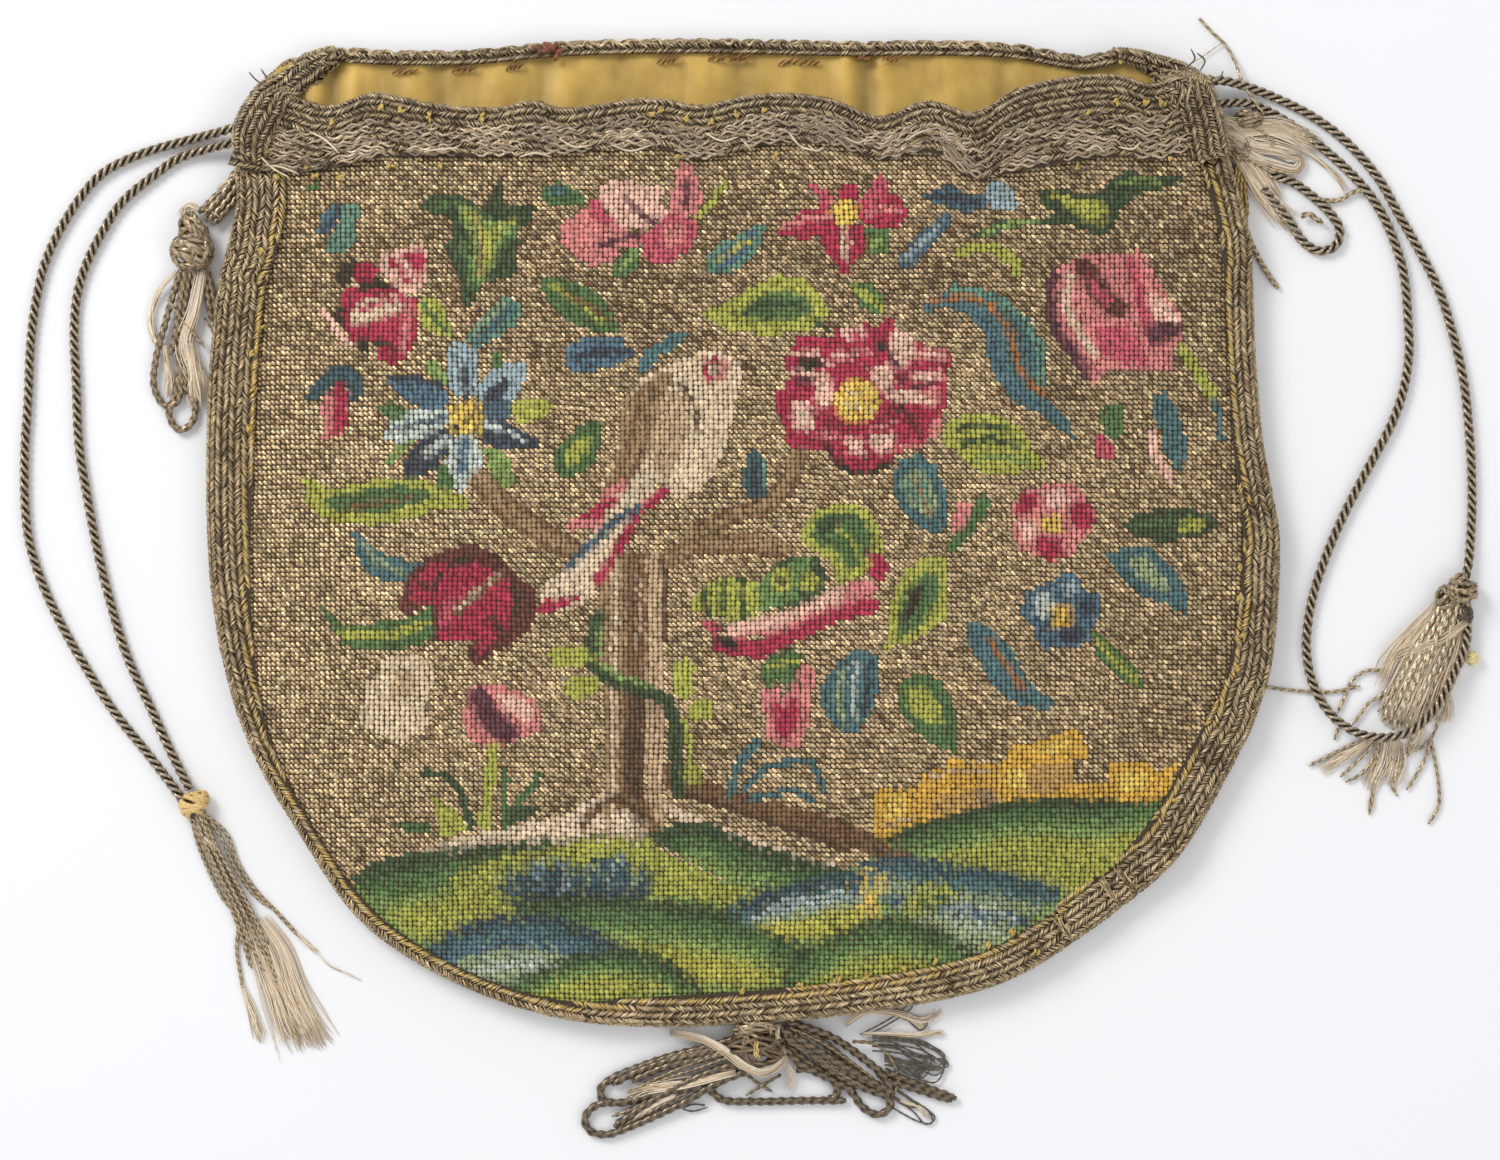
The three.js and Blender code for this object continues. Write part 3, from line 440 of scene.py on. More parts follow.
# %% The cords' routes
cord_routes = {
    "cord_left_outer": [
        (-121.5, 102.3, 4.75), (-126.2, 101.3, 4.5), (-132, 99.9, 2.6), (-137.8, 98.6, 1.3),
        (-150.5, 94.9, 1.25), (-160, 90.1, 1.25), (-165.8, 83.6, 1.25), (-170.5, 76.1, 1.25),
        (-174, 68.6, 1.25), (-176, 61.1, 1.25), (-177.8, 48.6, 1.25), (-178.5, 33.6, 1.25),
        (-179.3, 21.1, 1.25), (-179.3, 8.6, 1.25), (-178.3, -1.4, 1.25), (-175.3, -11.4, 1.25),
        (-170.8, -21.4, 1.25), (-164.5, -32.6, 1.25), (-157.3, -43.9, 1.25),
        (-148.8, -54.6, 1.3), (-140.6, -65.2, 2.2), (-137.4, -70.4, 1.8), (-134.4, -76, 1.5),
        (-131.8, -82, 1.3)],
    "cord_left_inner": [
        (-122.8, 98.0, 4.75), (-127.6, 97.3, 4.4), (-133, 96.2, 2.6), (-140.8, 93.9, 1.3),
        (-148, 88.9, 1.25), (-155.3, 82.6, 1.25), (-160, 75.4, 1.25), (-164, 67.4, 1.25),
        (-166.3, 59.4, 1.25), (-167, 49.6, 1.25), (-166.5, 38.6, 1.25), (-165.8, 22.4, 1.25),
        (-163.8, 9.6, 1.25), (-161, -4.9, 1.25), (-157.8, -17.6, 1.25), (-153.8, -30.4, 1.25),
        (-148, -43.1, 1.25), (-142.8, -54.4, 1.3), (-138, -63.6, 2.2)],
    "cord_right_outer": [
        (113.4, 112.0, 4.75), (118.4, 113.0, 4.6), (125.8, 111.6, 2.6), (135, 108.1, 1.3),
        (141.8, 104.6, 1.25), (148.5, 99.9, 1.25), (154, 94.6, 1.25), (159, 88.4, 1.25),
        (163.8, 79.8, 1.25), (169, 70.6, 1.25), (173.8, 60.9, 1.25), (177, 50.9, 1.25),
        (179.8, 39.1, 1.25), (181.3, 26.1, 1.25), (182, 12.9, 1.25), (181.8, 1.1, 1.3),
        (180.6, -9.2, 2.2), (178.6, -15, 2.0), (175.6, -21.5, 1.7), (172, -28, 1.5)],
    "cord_right_inner": [
        (114.8, 106.6, 4.75), (119.8, 107.3, 4.6), (125.2, 107.5, 3.4), (131, 105.7, 1.4),
        (138.8, 101, 1.25), (145.3, 96, 1.25), (150.5, 91.4, 1.25), (156, 85.4, 1.25),
        (160.1, 78.9, 1.25), (163, 72, 1.25), (165, 64.9, 1.25), (166, 54.9, 1.25),
        (166.3, 45.6, 1.25), (165, 36.4, 1.25), (162.3, 28.4, 1.25), (158.3, 20.6, 1.25),
        (154.5, 13.6, 1.25), (150.5, 5.9, 1.25), (146.5, -3.1, 1.25), (142.8, -13.6, 1.25),
        (141, -22.6, 1.25), (140.8, -30.6, 1.25), (142.8, -38.6, 1.4), (147, -45.4, 3.4),
        (153.3, -49.6, 4.9), (160, -50.6, 5.2), (165.8, -49.1, 5.2), (171.8, -43.9, 5.0),
        (177, -34.6, 4.6), (180.3, -26.4, 3.4), (180.5, -19.3, 2.4)],
    "cord_corner_loop": [
        (130.6, 92, 2.2), (132.6, 89.5, 1.5), (136.8, 88.2, 1.25), (142, 84.6, 1.25),
        (146.5, 80.3, 1.25), (149, 76, 1.25), (147.8, 72, 1.25), (143.8, 70.8, 1.25),
        (139.8, 73.2, 1.25), (136.8, 77.6, 1.25), (133.4, 82.2, 1.4), (129.8, 86.4, 2.0)],
}
PLY_RADIUS = 0.57 * MM
PLY_OFFSET = 0.70 * MM
CORD_LAY = 6.8 * MM

# %% Twisted cords


def twisted(name, route, plies=3, offset=PLY_OFFSET, radius=PLY_RADIUS, lay=CORD_LAY,
            step=0.45 * MM, dark=(64, 56, 48), light=(176, 160, 136)):
    """Plies wound round a route, one tube each, with painted shade in their grooves and painted
    glints winding along their outer faces
    """
    centre = spline(route, step)
    way = np.gradient(centre, axis=0)
    way /= np.linalg.norm(way, axis=1, keepdims=True)
    aside = np.cross(way, (0.0, 0.0, 1.0))
    aside /= np.linalg.norm(aside, axis=1, keepdims=True)
    above = np.cross(aside, way)
    along = np.arange(len(centre)) * step
    sides = 7
    points, faces, colours = [], [], []
    for ply in range(plies):
        turn = 2 * np.pi * (along / lay + ply / plies)
        out = aside * np.cos(turn)[:, None] + above * np.sin(turn)[:, None]
        over = np.cross(way, out)
        middle = centre + out * offset
        first = len(points)
        swell = radius * (1 + 0.06 * np.sin(along / (0.9 * MM) * 2 * np.pi))
        for n in range(sides):
            angle = 2 * np.pi * n / sides
            around = out * np.cos(angle) + over * np.sin(angle)
            points.extend((middle + around * swell[:, None]).tolist())
            # painted light: each ply's colour is lighter on its outer face and darker towards the
            # grooves, and the glint term adds painted highlights that wind along it
            outward = max(np.cos(angle), 0) ** 0.7
            glint = 0.72 + 0.28 * np.sin(2 * np.pi * (along / (1.1 * MM) + n / sides))
            share = np.clip(outward * glint + chance.normal(0, 0.10, len(along)), 0, 1)
            colours.extend((linear(dark) * (1 - share[:, None])
                            + linear(light) * share[:, None]).tolist())
        size = len(centre)
        for n in range(sides):
            here, there = first + n * size, first + (n + 1) % sides * size
            faces.extend((here + k, here + k + 1, there + k + 1, there + k)
                         for k in range(size - 1))
        faces.append([first + n * size for n in range(sides)])
        faces.append([first + n * size + size - 1 for n in reversed(range(sides))])
    made = plain_mesh(name, points, faces, smooth=True)
    return finish_piece(made, cord_metal, np.array(colours)), centre


for node, route in cord_routes.items():
    cord, centre = twisted(node + "_twist", from_plan(route))
    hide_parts(node)
    print(node, "length in mm:", round(line_length(centre) / MM, 1))

# %% [markdown]
# ## Heights of the layers
# Stitches and braids lie on the solids, so their heights are read off with rays shot straight
# down at the frame's own nodes. The solids have flat faces, so the heights are gathered on a
# grid and softened before anything is laid on them, as cloth would soften them.

# %% Height fields
GRID = 2 * MM
grid_x = bag_middle[0] + np.arange(-140, 141, 2) * MM
grid_y = bag_middle[1] + np.arange(-130, 131, 2) * MM


def surface_of(node):
    """A solid's surface, ready for rays"""
    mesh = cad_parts[node].data
    return BVHTree.FromPolygons([v.co for v in mesh.vertices],
                                [p.vertices for p in mesh.polygons])


def height_at(tree, x, y, below=False):
    """Height of the first face that a plumb line meets, from above or from below"""
    start = Vector((x, y, -0.01 if below else 0.05))
    hit = tree.ray_cast(start, Vector((0, 0, 1 if below else -1)))[0]
    return hit.z if hit else np.nan


def spread_into_gaps(values):
    """Fills cells that met nothing from their filled neighbours, ring by ring"""
    while np.isnan(values).any():
        stack = np.stack([np.roll(values, shift, axis)
                          for axis in (0, 1) for shift in (-1, 1)])
        counts = (~np.isnan(stack)).sum(axis=0)
        sums = np.nansum(stack, axis=0)
        fill = np.isnan(values) & (counts > 0)
        values[fill] = sums[fill] / counts[fill]
    return values


def height_field(node, below=False, soften=2):
    """A function of x and y in metres: the node's softened height there"""
    tree = surface_of(node)
    values = np.array([[height_at(tree, x, y, below) for y in grid_y] for x in grid_x])
    values = spread_into_gaps(values)
    for _ in range(soften):
        for axis in (0, 1):
            wide = np.pad(values, [(1, 1) if axis == n else (0, 0) for n in (0, 1)], "edge")
            first = wide[:-2] if axis == 0 else wide[:, :-2]
            last = wide[2:] if axis == 0 else wide[:, 2:]
            values = (first + 2 * values + last) / 4

    def sample(x, y):
        u = np.clip((np.asarray(x) - grid_x[0]) / GRID, 0, len(grid_x) - 1.001)
        v = np.clip((np.asarray(y) - grid_y[0]) / GRID, 0, len(grid_y) - 1.001)
        i, j = u.astype(int), v.astype(int)
        s, t = u - i, v - j
        return ((values[i, j] * (1 - s) + values[i + 1, j] * s) * (1 - t)
                + (values[i, j + 1] * (1 - s) + values[i + 1, j + 1] * s) * t)
    return sample


front_height = height_field("front_panel")
print("front at its middle in mm:", round(float(front_height(*bag_middle)) / MM, 1))

# %% [markdown]
# ## The outline
# The seam's outline and the two rims are the same short tables as in the part's source: places
# as shares of the bag's width and height, and the reach of the braids.

# %% Outline and rims
BAG_WIDTH, BAG_HEIGHT = 266 * MM, 244 * MM
SIDE_BRAID, MOUTH_BRAID = 12 * MM, 14 * MM
outline = np.array([
    (0.048, 0.047, 0.9), (0.024, 0.106, 1.0), (0.030, 0.158, 1.0), (0.010, 0.250, 1.0),
    (0.000, 0.434, 0.96), (0.008, 0.588, 0.75), (0.038, 0.710, 0.45), (0.086, 0.803, 0.30),
    (0.146, 0.895, 0.32), (0.233, 0.956, 0.30), (0.328, 0.991, 0.35), (0.417, 1.000, 0.60),
    (0.516, 0.996, 0.65), (0.603, 0.987, 0.68), (0.741, 0.956, 0.72), (0.833, 0.895, 0.85),
    (0.901, 0.833, 0.88), (0.954, 0.741, 0.92), (0.989, 0.649, 0.85), (1.000, 0.511, 0.75),
    (0.984, 0.403, 0.60), (0.977, 0.311, 0.55), (0.971, 0.188, 0.60), (0.950, 0.106, 0.60),
    (0.938, 0.035, 0.60)])
front_rim = np.array([
    (0.071, 0.052, 1.45), (0.115, 0.066, 1.15), (0.158, 0.054, 1.15), (0.200, 0.064, 0.95),
    (0.270, 0.071, 0.85), (0.306, 0.064, 0.95), (0.331, 0.072, 0.80), (0.415, 0.062, 0.85),
    (0.461, 0.069, 0.95), (0.514, 0.058, 0.90), (0.579, 0.062, 0.80), (0.626, 0.080, 0.75),
    (0.673, 0.064, 0.90), (0.712, 0.076, 1.15), (0.757, 0.050, 1.45), (0.845, 0.035, 1.45),
    (0.880, 0.044, 1.35), (0.910, 0.034, 1.35)])
back_rim = np.array([
    (0.065, 0.024), (0.108, 0.010), (0.171, 0.012), (0.250, 0.011), (0.330, 0.003),
    (0.460, 0.000), (0.610, 0.003), (0.660, 0.002), (0.752, 0.005), (0.821, 0.017),
    (0.857, 0.009), (0.890, 0.017)])


def placed(table):
    """Rows of across and down as places in metres"""
    x = bag_middle[0] + (table[:, 0] - 0.5) * BAG_WIDTH
    y = bag_middle[1] + (0.5 - table[:, 1]) * BAG_HEIGHT
    return np.column_stack([x, y])


seam_rows = np.column_stack([placed(outline), outline[:, 2] * SIDE_BRAID])
seam = spline(seam_rows, 0.5 * MM)
seam_way = np.gradient(seam[:, :2], axis=0)
seam_way /= np.linalg.norm(seam_way, axis=1, keepdims=True)
seam_inward = np.column_stack([-seam_way[:, 1], seam_way[:, 0]])
seam_ends = seam[[0, -1], :2]
rim_rows = np.column_stack([placed(front_rim), front_rim[:, 2] * MOUTH_BRAID])
rim_rows = np.vstack([[*seam_ends[0], rim_rows[0, 2]], rim_rows,
                      [*seam_ends[1], rim_rows[-1, 2]]])
front_edge = spline(rim_rows, 0.5 * MM)
back_edge = spline(np.vstack([seam_ends[0], placed(back_rim), seam_ends[1]]), 0.5 * MM)
print("seam, front rim and back rim in mm:",
      [round(line_length(line[:, :2]) / MM) for line in (seam, front_edge, back_edge)])

# %% [markdown]
# ## Yarn colours
# Old wool keeps a good crimson and blue, while greens fade to lime and purples to plum. The
# colours are named as a needleworker would name skeins, and every stitch varies a little.

# %% Skeins
SKEINS = {
    "crimson": (172, 32, 72), "deep_crimson": (140, 30, 60), "rose": (194, 80, 100),
    "pink": (212, 128, 125), "pale_pink": (232, 185, 165), "peach": (225, 200, 170),
    "plum": (95, 45, 65), "maroon": (95, 45, 45), "black": (45, 38, 38),
    "navy": (44, 58, 76), "blue": (74, 108, 128), "pale_blue": (150, 170, 175),
    "ice": (190, 200, 190), "slate": (64, 92, 108), "teal": (70, 110, 115),
    "deep_teal": (50, 85, 95), "sea_green": (95, 140, 120), "sage": (150, 165, 125),
    "dark_green": (50, 75, 50), "green": (75, 110, 65), "mid_green": (95, 130, 75),
    "leaf_green": (130, 155, 85), "lime": (168, 170, 74), "pale_lime": (188, 181, 76),
    "yellow": (228, 194, 92), "gold": (216, 168, 66), "tan_gold": (192, 150, 86),
    "tan": (158, 128, 94), "brown": (118, 86, 60), "dark_brown": (85, 60, 45),
    "rust": (165, 105, 60), "cream": (222, 198, 165), "beige": (195, 165, 130),
}
skein_names = list(SKEINS)
chart = []


def patch(colour, text):
    """An area of the chart worked in one skein"""
    chart.append((skein_names.index(colour), dots(text), None))


def line(colour, width, text):
    """A line of stitches, its width in chart units"""
    chart.append((skein_names.index(colour), dots(text), width))


def spot(colour, radius, text):
    """A round spot"""
    turn = np.arange(12) * np.pi / 6
    middle = dots(text)[0]
    ring = middle + radius * np.column_stack([np.cos(turn), np.sin(turn)])
    chart.append((skein_names.index(colour), ring, None))


def hill(skeins, crest, foot):
    """A hill from its crest down to its foot, its skeins in bands below the crest: each with
    the depth in chart units where it ends"""
    bands = [band.split(":") for band in skeins.split()]
    ends = np.array([float(end) for _, end in bands])
    chart.append(([skein_names.index(name) for name, _ in bands], (dots(crest), dots(foot)),
                  ends))


# %% [markdown]
# ## The pattern: upper left
# A leaf, a folded tulip, a jagged leaf and small leaves. Every motif is drawn from large to
# small, since a later area covers an earlier one, just as the worker fills an outline.

# %% Upper left
patch("green", "303,186 318,182 323,187 306,190")
patch("blue", "335,202 342,205 338,222 327,235 317,233 322,215")
patch("sea_green", "342,203 352,204 360,208 358,225 355,240 340,255 325,252 328,240 338,225")
line("navy", 5, "338,207 330,225 322,232")
patch("crimson", "343,292 352,288 372,280 392,285 405,298 418,300 417,330 414,345 405,360 "
      "392,367 380,360 375,345 372,340 352,340 345,330 341,310")
patch("crimson", "355,265 372,263 380,268 372,285 353,283")
patch("pale_pink", "380,255 398,250 420,243 430,255 428,280 418,292 405,296 392,285 380,272")
patch("crimson", "385,262 400,256 420,250 427,262 420,282 407,285 398,272")
line("pale_pink", 6, "400,258 410,272 418,285")
patch("black", "345,262 355,260 352,285 335,285 335,275")
patch("black", "355,288 365,282 380,280 395,285 385,288 362,291")
patch("peach", "352,310 365,300 395,295 410,300 395,312 370,322 352,325")
line("pink", 8, "407,305 406,328 403,350")
patch("black", "327,313 345,305 343,327 330,320")
patch("black", "352,340 370,338 368,350 357,350")
line("black", 5, "378,342 388,344 398,350")
line("rose", 5, "362,310 380,303 405,299")
line("pale_pink", 7, "323,310 335,328 350,345")
patch("dark_green", "417,208 430,197 445,193 460,195 475,203 480,210 488,200 495,185 500,180 "
      "502,195 503,205 515,205 538,208 527,222 515,232 522,243 515,255 520,265 512,275 "
      "495,280 480,285 475,300 468,307 463,300 462,285 455,270 450,258 445,245 455,238 "
      "452,225 450,215 435,213")
patch("leaf_green", "459,204 475,209 482,217 500,222 516,219 512,232 501,240 498,256 492,268 "
      "482,286 468,282 472,265 474,243 467,232 458,212")
line("lime", 6, "470,214 482,234 486,252 478,276")
line("lime", 6, "512,222 496,230 490,244")
line("pale_lime", 4, "487,226 490,262")
patch("green", "425,206 440,200 452,203 445,208 432,210")
line("tan", 4, "476,212 478,240 481,276")
line("mid_green", 5, "500,246 510,236 518,226")
line("mid_green", 5, "462,240 470,262 474,284")
patch("green", "540,190 560,182 575,190 588,200 570,206 545,203")
patch("teal", "548,188 560,185 570,192 560,197 550,195")
patch("lime", "418,302 432,298 445,310 452,330 448,338 436,335 422,325")
line("green", 6, "424,305 434,318 446,332")
patch("sea_green", "505,295 520,302 523,312 515,325 500,335 485,345 475,352 468,340 472,328 "
      "485,315 495,303")
line("teal", 9, "476,346 486,332 500,320 514,308")
line("sage", 5, "476,334 490,318 505,303")

# %% [markdown]
# ## The pattern: left side
# A striped bud, a many-petalled blue star with green between its petals, and long curved
# leaves above and below it.

# %% Left side
patch("deep_teal", "305,400 312,385 325,370 340,363 355,366 363,378 362,395 352,402 345,385 "
      "333,385 325,395 315,402")
patch("pink", "322,398 333,388 346,382 348,425 338,438 322,438")
patch("crimson", "334,380 346,380 347,425 338,435 332,430")
patch("pale_blue", "450,345 462,340 475,350 478,370 476,395 460,398 450,390 447,370")
line("navy", 8, "466,365 466,395")
patch("pale_blue", "480,385 490,372 505,365 522,360 528,372 520,390 515,400 490,405 480,400")
patch("navy", "482,398 492,385 504,378 512,384 505,395 490,404")
patch("blue", "385,377 410,377 440,383 447,395 445,408 425,410 405,400 395,390")
line("navy", 6, "388,378 415,379 440,385")
patch("ice", "388,418 410,410 447,410 448,425 430,437 400,443 385,440")
line("slate", 6, "392,430 415,424 446,418")
patch("navy", "400,477 405,460 415,445 430,432 450,430 452,440 445,455 435,470 420,478")
line("ice", 7, "425,455 434,448 445,440")
patch("ice", "450,440 465,432 478,440 485,460 475,480 462,495 450,485 445,465")
line("blue", 10, "463,440 463,470")
patch("navy", "480,415 505,420 520,432 540,440 535,450 505,450 485,445")
line("ice", 5, "486,424 505,430 524,441")
patch("slate", "482,402 505,398 515,405 512,420 485,420")
patch("yellow", "450,403 482,403 482,435 450,435")
for x, y in ((456, 409), (466, 419), (476, 409), (456, 429), (476, 429), (466, 403)):
    spot("black", 4.2, f"{x},{y}")
patch("leaf_green", "423,358 435,360 447,375 445,385 430,378")
patch("green", "490,355 500,355 502,366 491,370")
patch("lime", "510,408 520,400 540,398 555,405 540,418 520,425")
patch("green", "375,405 392,402 410,412 405,420 392,422")
patch("leaf_green", "385,462 398,445 413,440 406,452 392,466")
patch("green", "437,465 447,463 455,480 450,492 440,488")
patch("leaf_green", "485,450 498,450 510,462 515,480 505,490 495,478 487,465")
patch("lime", "303,480 310,478 325,487 360,485 380,478 420,478 440,488 460,495 475,505 "
      "455,510 430,510 410,520 370,525 330,522 315,512 305,500")
patch("green", "325,498 350,492 375,488 400,485 425,490 440,497 420,503 395,510 370,513 "
      "330,510")
line("brown", 5, "350,508 380,503 410,497")
patch("teal", "352,530 362,535 372,548 385,555 405,560 420,565 415,578 398,583 380,580 "
      "367,570 358,557")
line("sage", 6, "362,543 378,562 402,572")
patch("maroon", "400,610 403,590 412,572 425,560 445,550 465,545 485,548 505,560 520,578 "
      "535,590 538,610 530,630 510,645 490,655 480,668 470,660 470,645 478,632 440,642 "
      "432,640 432,605 405,615")
patch("crimson", "410,600 415,580 430,565 450,560 480,565 500,572 510,585 513,610 505,630 "
      "490,645 480,655 475,640 450,640 437,640 437,605")
patch("rose", "440,610 455,596 470,588 462,606 448,625 440,630")
line("black", 6, "420,582 432,588 442,574")
line("black", 5, "450,563 470,562")
line("black", 6, "513,580 520,600 515,615")
line("black", 6, "493,618 500,632")
line("brown", 9, "455,612 478,592 500,575")
for k in range(6):
    spot("cream", 2.6, f"{458 + 8 * k},{609 - 7 * k}")
patch("green", "320,605 328,612 340,625 360,625 385,622 410,618 420,610 432,607 434,625 "
      "433,640 420,645 390,650 360,652 345,645 332,632")
line("lime", 9, "340,634 390,636 428,622")
patch("cream", "383,658 415,655 425,660 433,672 432,690 425,710 430,725 410,735 400,745 "
      "385,735 365,730 358,715 365,695 367,680 378,675")
patch("beige", "392,672 412,670 416,688 405,700 390,698")

# %% [markdown]
# ## The pattern: trunk, meadow and grass on the left
# A striped trunk stands in the middle. Round its foot are hills in bands from dark green at
# the crest to lime and yellow at the foot, which is how the worker showed rounding.

# %% Left meadow
patch("pink", "468,690 480,684 495,684 515,690 535,700 542,715 540,730 520,738 505,745 "
      "490,750 478,745 466,735 463,715")
patch("pale_pink", "498,692 520,698 534,710 530,724 515,716 500,704")
patch("plum", "468,690 482,686 490,695 500,712 515,725 520,738 505,742 490,735 480,720 "
      "470,705")
line("lime", 7, "490,748 487,800 480,820")
line("dark_green", 8, "425,773 445,775 460,790 468,815 472,825")
patch("lime", "430,795 448,805 462,815 468,832 440,838 438,820")
patch("green", "395,825 425,822 435,835 410,835")
line("lime", 8, "495,745 490,800 487,825")
line("green", 7, "505,770 505,820")
line("green", 7, "540,775 520,800 505,825")
patch("dark_green", "505,808 540,805 535,818 510,825")
patch("leaf_green", "351,884 400,862 500,846 600,838 660,852 720,878 800,862 850,870 920,828 "
      "1000,808 1166,800 1166,820 1066,900 985,965 900,1004 700,1010 500,1004 424,952 352,896")
hill("dark_green:16 green:30 mid_green:40 leaf_green:52 lime:90",
     "351,878 372,864 400,856 460,846 508,840 560,838 600,832 624,825 645,834 652,850",
     "351,880 372,900 400,925 440,940 480,930 508,914 560,905 600,902 630,900 652,892")
patch("lime", "455,874 480,864 510,856 540,850 575,842 605,836 630,838 660,852 690,864 "
      "720,880 705,892 660,896 600,896 540,900 500,903 470,908 440,922 425,930 430,915 "
      "448,900")
patch("deep_teal", "491,892 494,884 506,882 500,866 512,868 524,874 534,853 546,868 552,868 "
      "562,852 572,868 580,872 594,856 606,862 620,847 628,864 640,872 652,864 672,866 "
      "662,880 654,894 600,898 540,900")
line("sage", 5, "508,872 520,890")
line("pale_blue", 5, "536,862 542,888")
line("pale_blue", 5, "562,862 562,890")
line("sage", 5, "594,864 584,890")
line("pale_blue", 5, "618,856 606,888")
line("sage", 5, "640,878 624,892")
line("navy", 4, "500,888 540,894 600,892 650,888")
hill("dark_green:12 green:24 mid_green:34 leaf_green:44 lime:58 pale_lime:90",
     "498,902 564,894 631,896 698,904 740,913 765,922 805,946 812,962",
     "498,905 540,916 590,930 640,948 680,968 700,985 750,985 780,985")
patch("lime", "400,922 430,915 460,904 492,898 500,908 470,918 440,934 424,942 408,934")
hill("navy:5 deep_teal:14 teal:26 blue:34 sage:46 ice:54 sage:90",
     "426,946 446,932 469,922 500,916 530,913 560,918 590,929 615,940 636,950",
     "426,948 446,968 469,984 500,994 520,985 545,968 575,957 605,951 636,952")
hill("dark_green:7 green:14 mid_green:20 leaf_green:26 lime:60",
     "500,992 520,976 545,965 575,954 610,949 640,951 665,962 690,980 702,992",
     "500,994 520,1000 545,1004 575,1004 610,1000 640,996 665,992 690,990 702,994")

# %% Trunk and branches
line("tan", 22, "612,566 585,552 560,545 510,515 480,482")
line("brown", 5, "610,570 585,560 558,552 508,522 476,488")
line("brown", 4, "604,556 560,534 514,502 492,478")
line("tan", 20, "655,568 700,540 760,545 780,550")
line("brown", 5, "664,572 702,549 760,553 784,556")
line("brown", 4, "668,554 702,534 748,538")
line("tan", 16, "690,535 730,515 770,505 790,480 800,450 815,440")
line("brown", 4, "696,542 734,522 776,510 796,484 806,456")
line("brown", 4, "700,524 740,506 766,498 784,474")
line("brown", 22, "655,770 690,788 730,800 765,812 820,826 870,843 905,856")
line("dark_brown", 6, "652,776 690,796 740,812 800,832 850,852")
line("peach", 10, "648,800 690,820 732,836 780,852 830,868")
patch("peach", "418,852 460,836 508,828 545,820 575,812 590,800 612,790 612,832 575,838 "
      "508,842 460,846")
for colour, width, x_top, x_foot in (
        ("tan", 14, 606, 611), ("cream", 6, 615, 614), ("tan", 11, 623, 622),
        ("brown", 11, 633, 627), ("cream", 4, 640, 640), ("brown", 15, 648, 636),
        ("dark_brown", 9, 659, 630), ("dark_brown", 10, 661, 640), ("beige", 12, 652, 652),
        ("beige", 9, 657, 660)):
    line(colour, width, f"{x_top},560 {x_top},640 {x_foot},715 {x_foot},800 {x_foot},832")
line("brown", 8, "582,828 592,812 604,802 620,797 636,801 648,812 656,830")
patch("peach", "604,836 608,818 620,808 634,812 642,836")
line("dark_green", 14, "600,615 592,640 592,665 610,680 640,688 665,700 675,720 677,750 "
     "678,790")
patch("lime", "548,652 565,645 590,650 592,662 570,668 552,665")
patch("lime", "560,688 575,675 598,678 596,694 575,703")
patch("lime", "672,664 685,658 696,668 694,690 682,702 674,690")
patch("lime", "685,708 700,698 716,704 712,718 695,722")
patch("lime", "683,768 694,763 703,770 698,784 686,786")
line("lime", 6, "684,720 690,745 690,770")
line("leaf_green", 5, "600,630 598,662 616,676 650,686")

# %% [markdown]
# ## The pattern: the bird and the flowers above it
# A cream bird sits in the middle of the tree, looking right, with a crimson eye ring and a
# long crimson and grey tail.

# %% Bird
patch("cream", "690,355 715,350 738,360 742,380 735,400 730,430 725,450 715,470 700,490 "
      "680,500 660,480 640,520 620,555 600,580 590,600 575,610 545,615 540,595 555,575 "
      "580,550 600,520 600,490 615,460 620,430 625,400 640,380 660,370 680,362")
patch("tan", "625,402 640,383 662,372 676,376 664,400 655,430 645,462 625,492 604,512 "
      "602,490 616,460 620,430")
patch("beige", "664,392 682,392 690,420 684,452 668,476 654,470 650,440")
line("brown", 5, "640,392 634,430 622,470")
line("brown", 4, "652,386 648,430 636,474")
line("dark_brown", 5, "680,385 692,398 697,415 698,432")
spot("crimson", 13, "714,370")
spot("cream", 7.5, "714,370")
spot("black", 4.8, "714,371")
line("dark_brown", 6, "740,361 755,372")
line("crimson", 10, "665,490 640,510 620,545 598,580")
line("crimson", 13, "612,500 598,512 585,520")
line("crimson", 15, "545,608 560,602 572,594")
line("pink", 11, "572,526 600,522")
line("pink", 11, "606,496 624,484")
line("slate", 9, "636,508 610,525 590,545 575,560 565,576")
patch("peach", "548,590 562,572 585,566 600,560 592,578 578,594 556,600")

# %% Flowers above the bird
patch("deep_teal", "755,447 762,455 768,475 765,495 750,498 742,485 745,465")
line("navy", 7, "756,465 755,492")
line("sea_green", 4, "763,462 764,486")
patch("pale_pink", "598,185 620,180 650,185 665,190 660,200 668,215 650,222 645,230 "
      "620,228 610,215 600,200")
line("plum", 5, "625,198 640,212 655,225")
patch("pink", "560,228 575,215 590,205 605,215 618,225 640,235 640,245 620,250 610,262 "
      "590,265 575,258 562,245")
patch("rose", "588,200 600,198 605,215 618,222 600,225 590,215")
patch("rose", "640,235 655,228 665,215 680,215 695,220 698,235 690,250 670,262 655,262 "
      "645,258")
patch("pink", "662,226 678,222 688,232 680,246 664,250")
patch("pink", "680,160 690,165 700,180 703,200 695,215 680,218 668,210 672,190 675,175")
line("plum", 8, "687,180 686,205")
line("plum", 6, "600,245 620,240 640,233")
patch("green", "640,245 640,265 625,278 612,275 615,262 628,250")
line("leaf_green", 5, "636,252 620,270")
line("lime", 7, "725,185 710,205 695,218")

# %% [markdown]
# ## The pattern: the crimson star and the large rose
# The two strongest reds of the work, with yellow hearts, and the leaves round them.

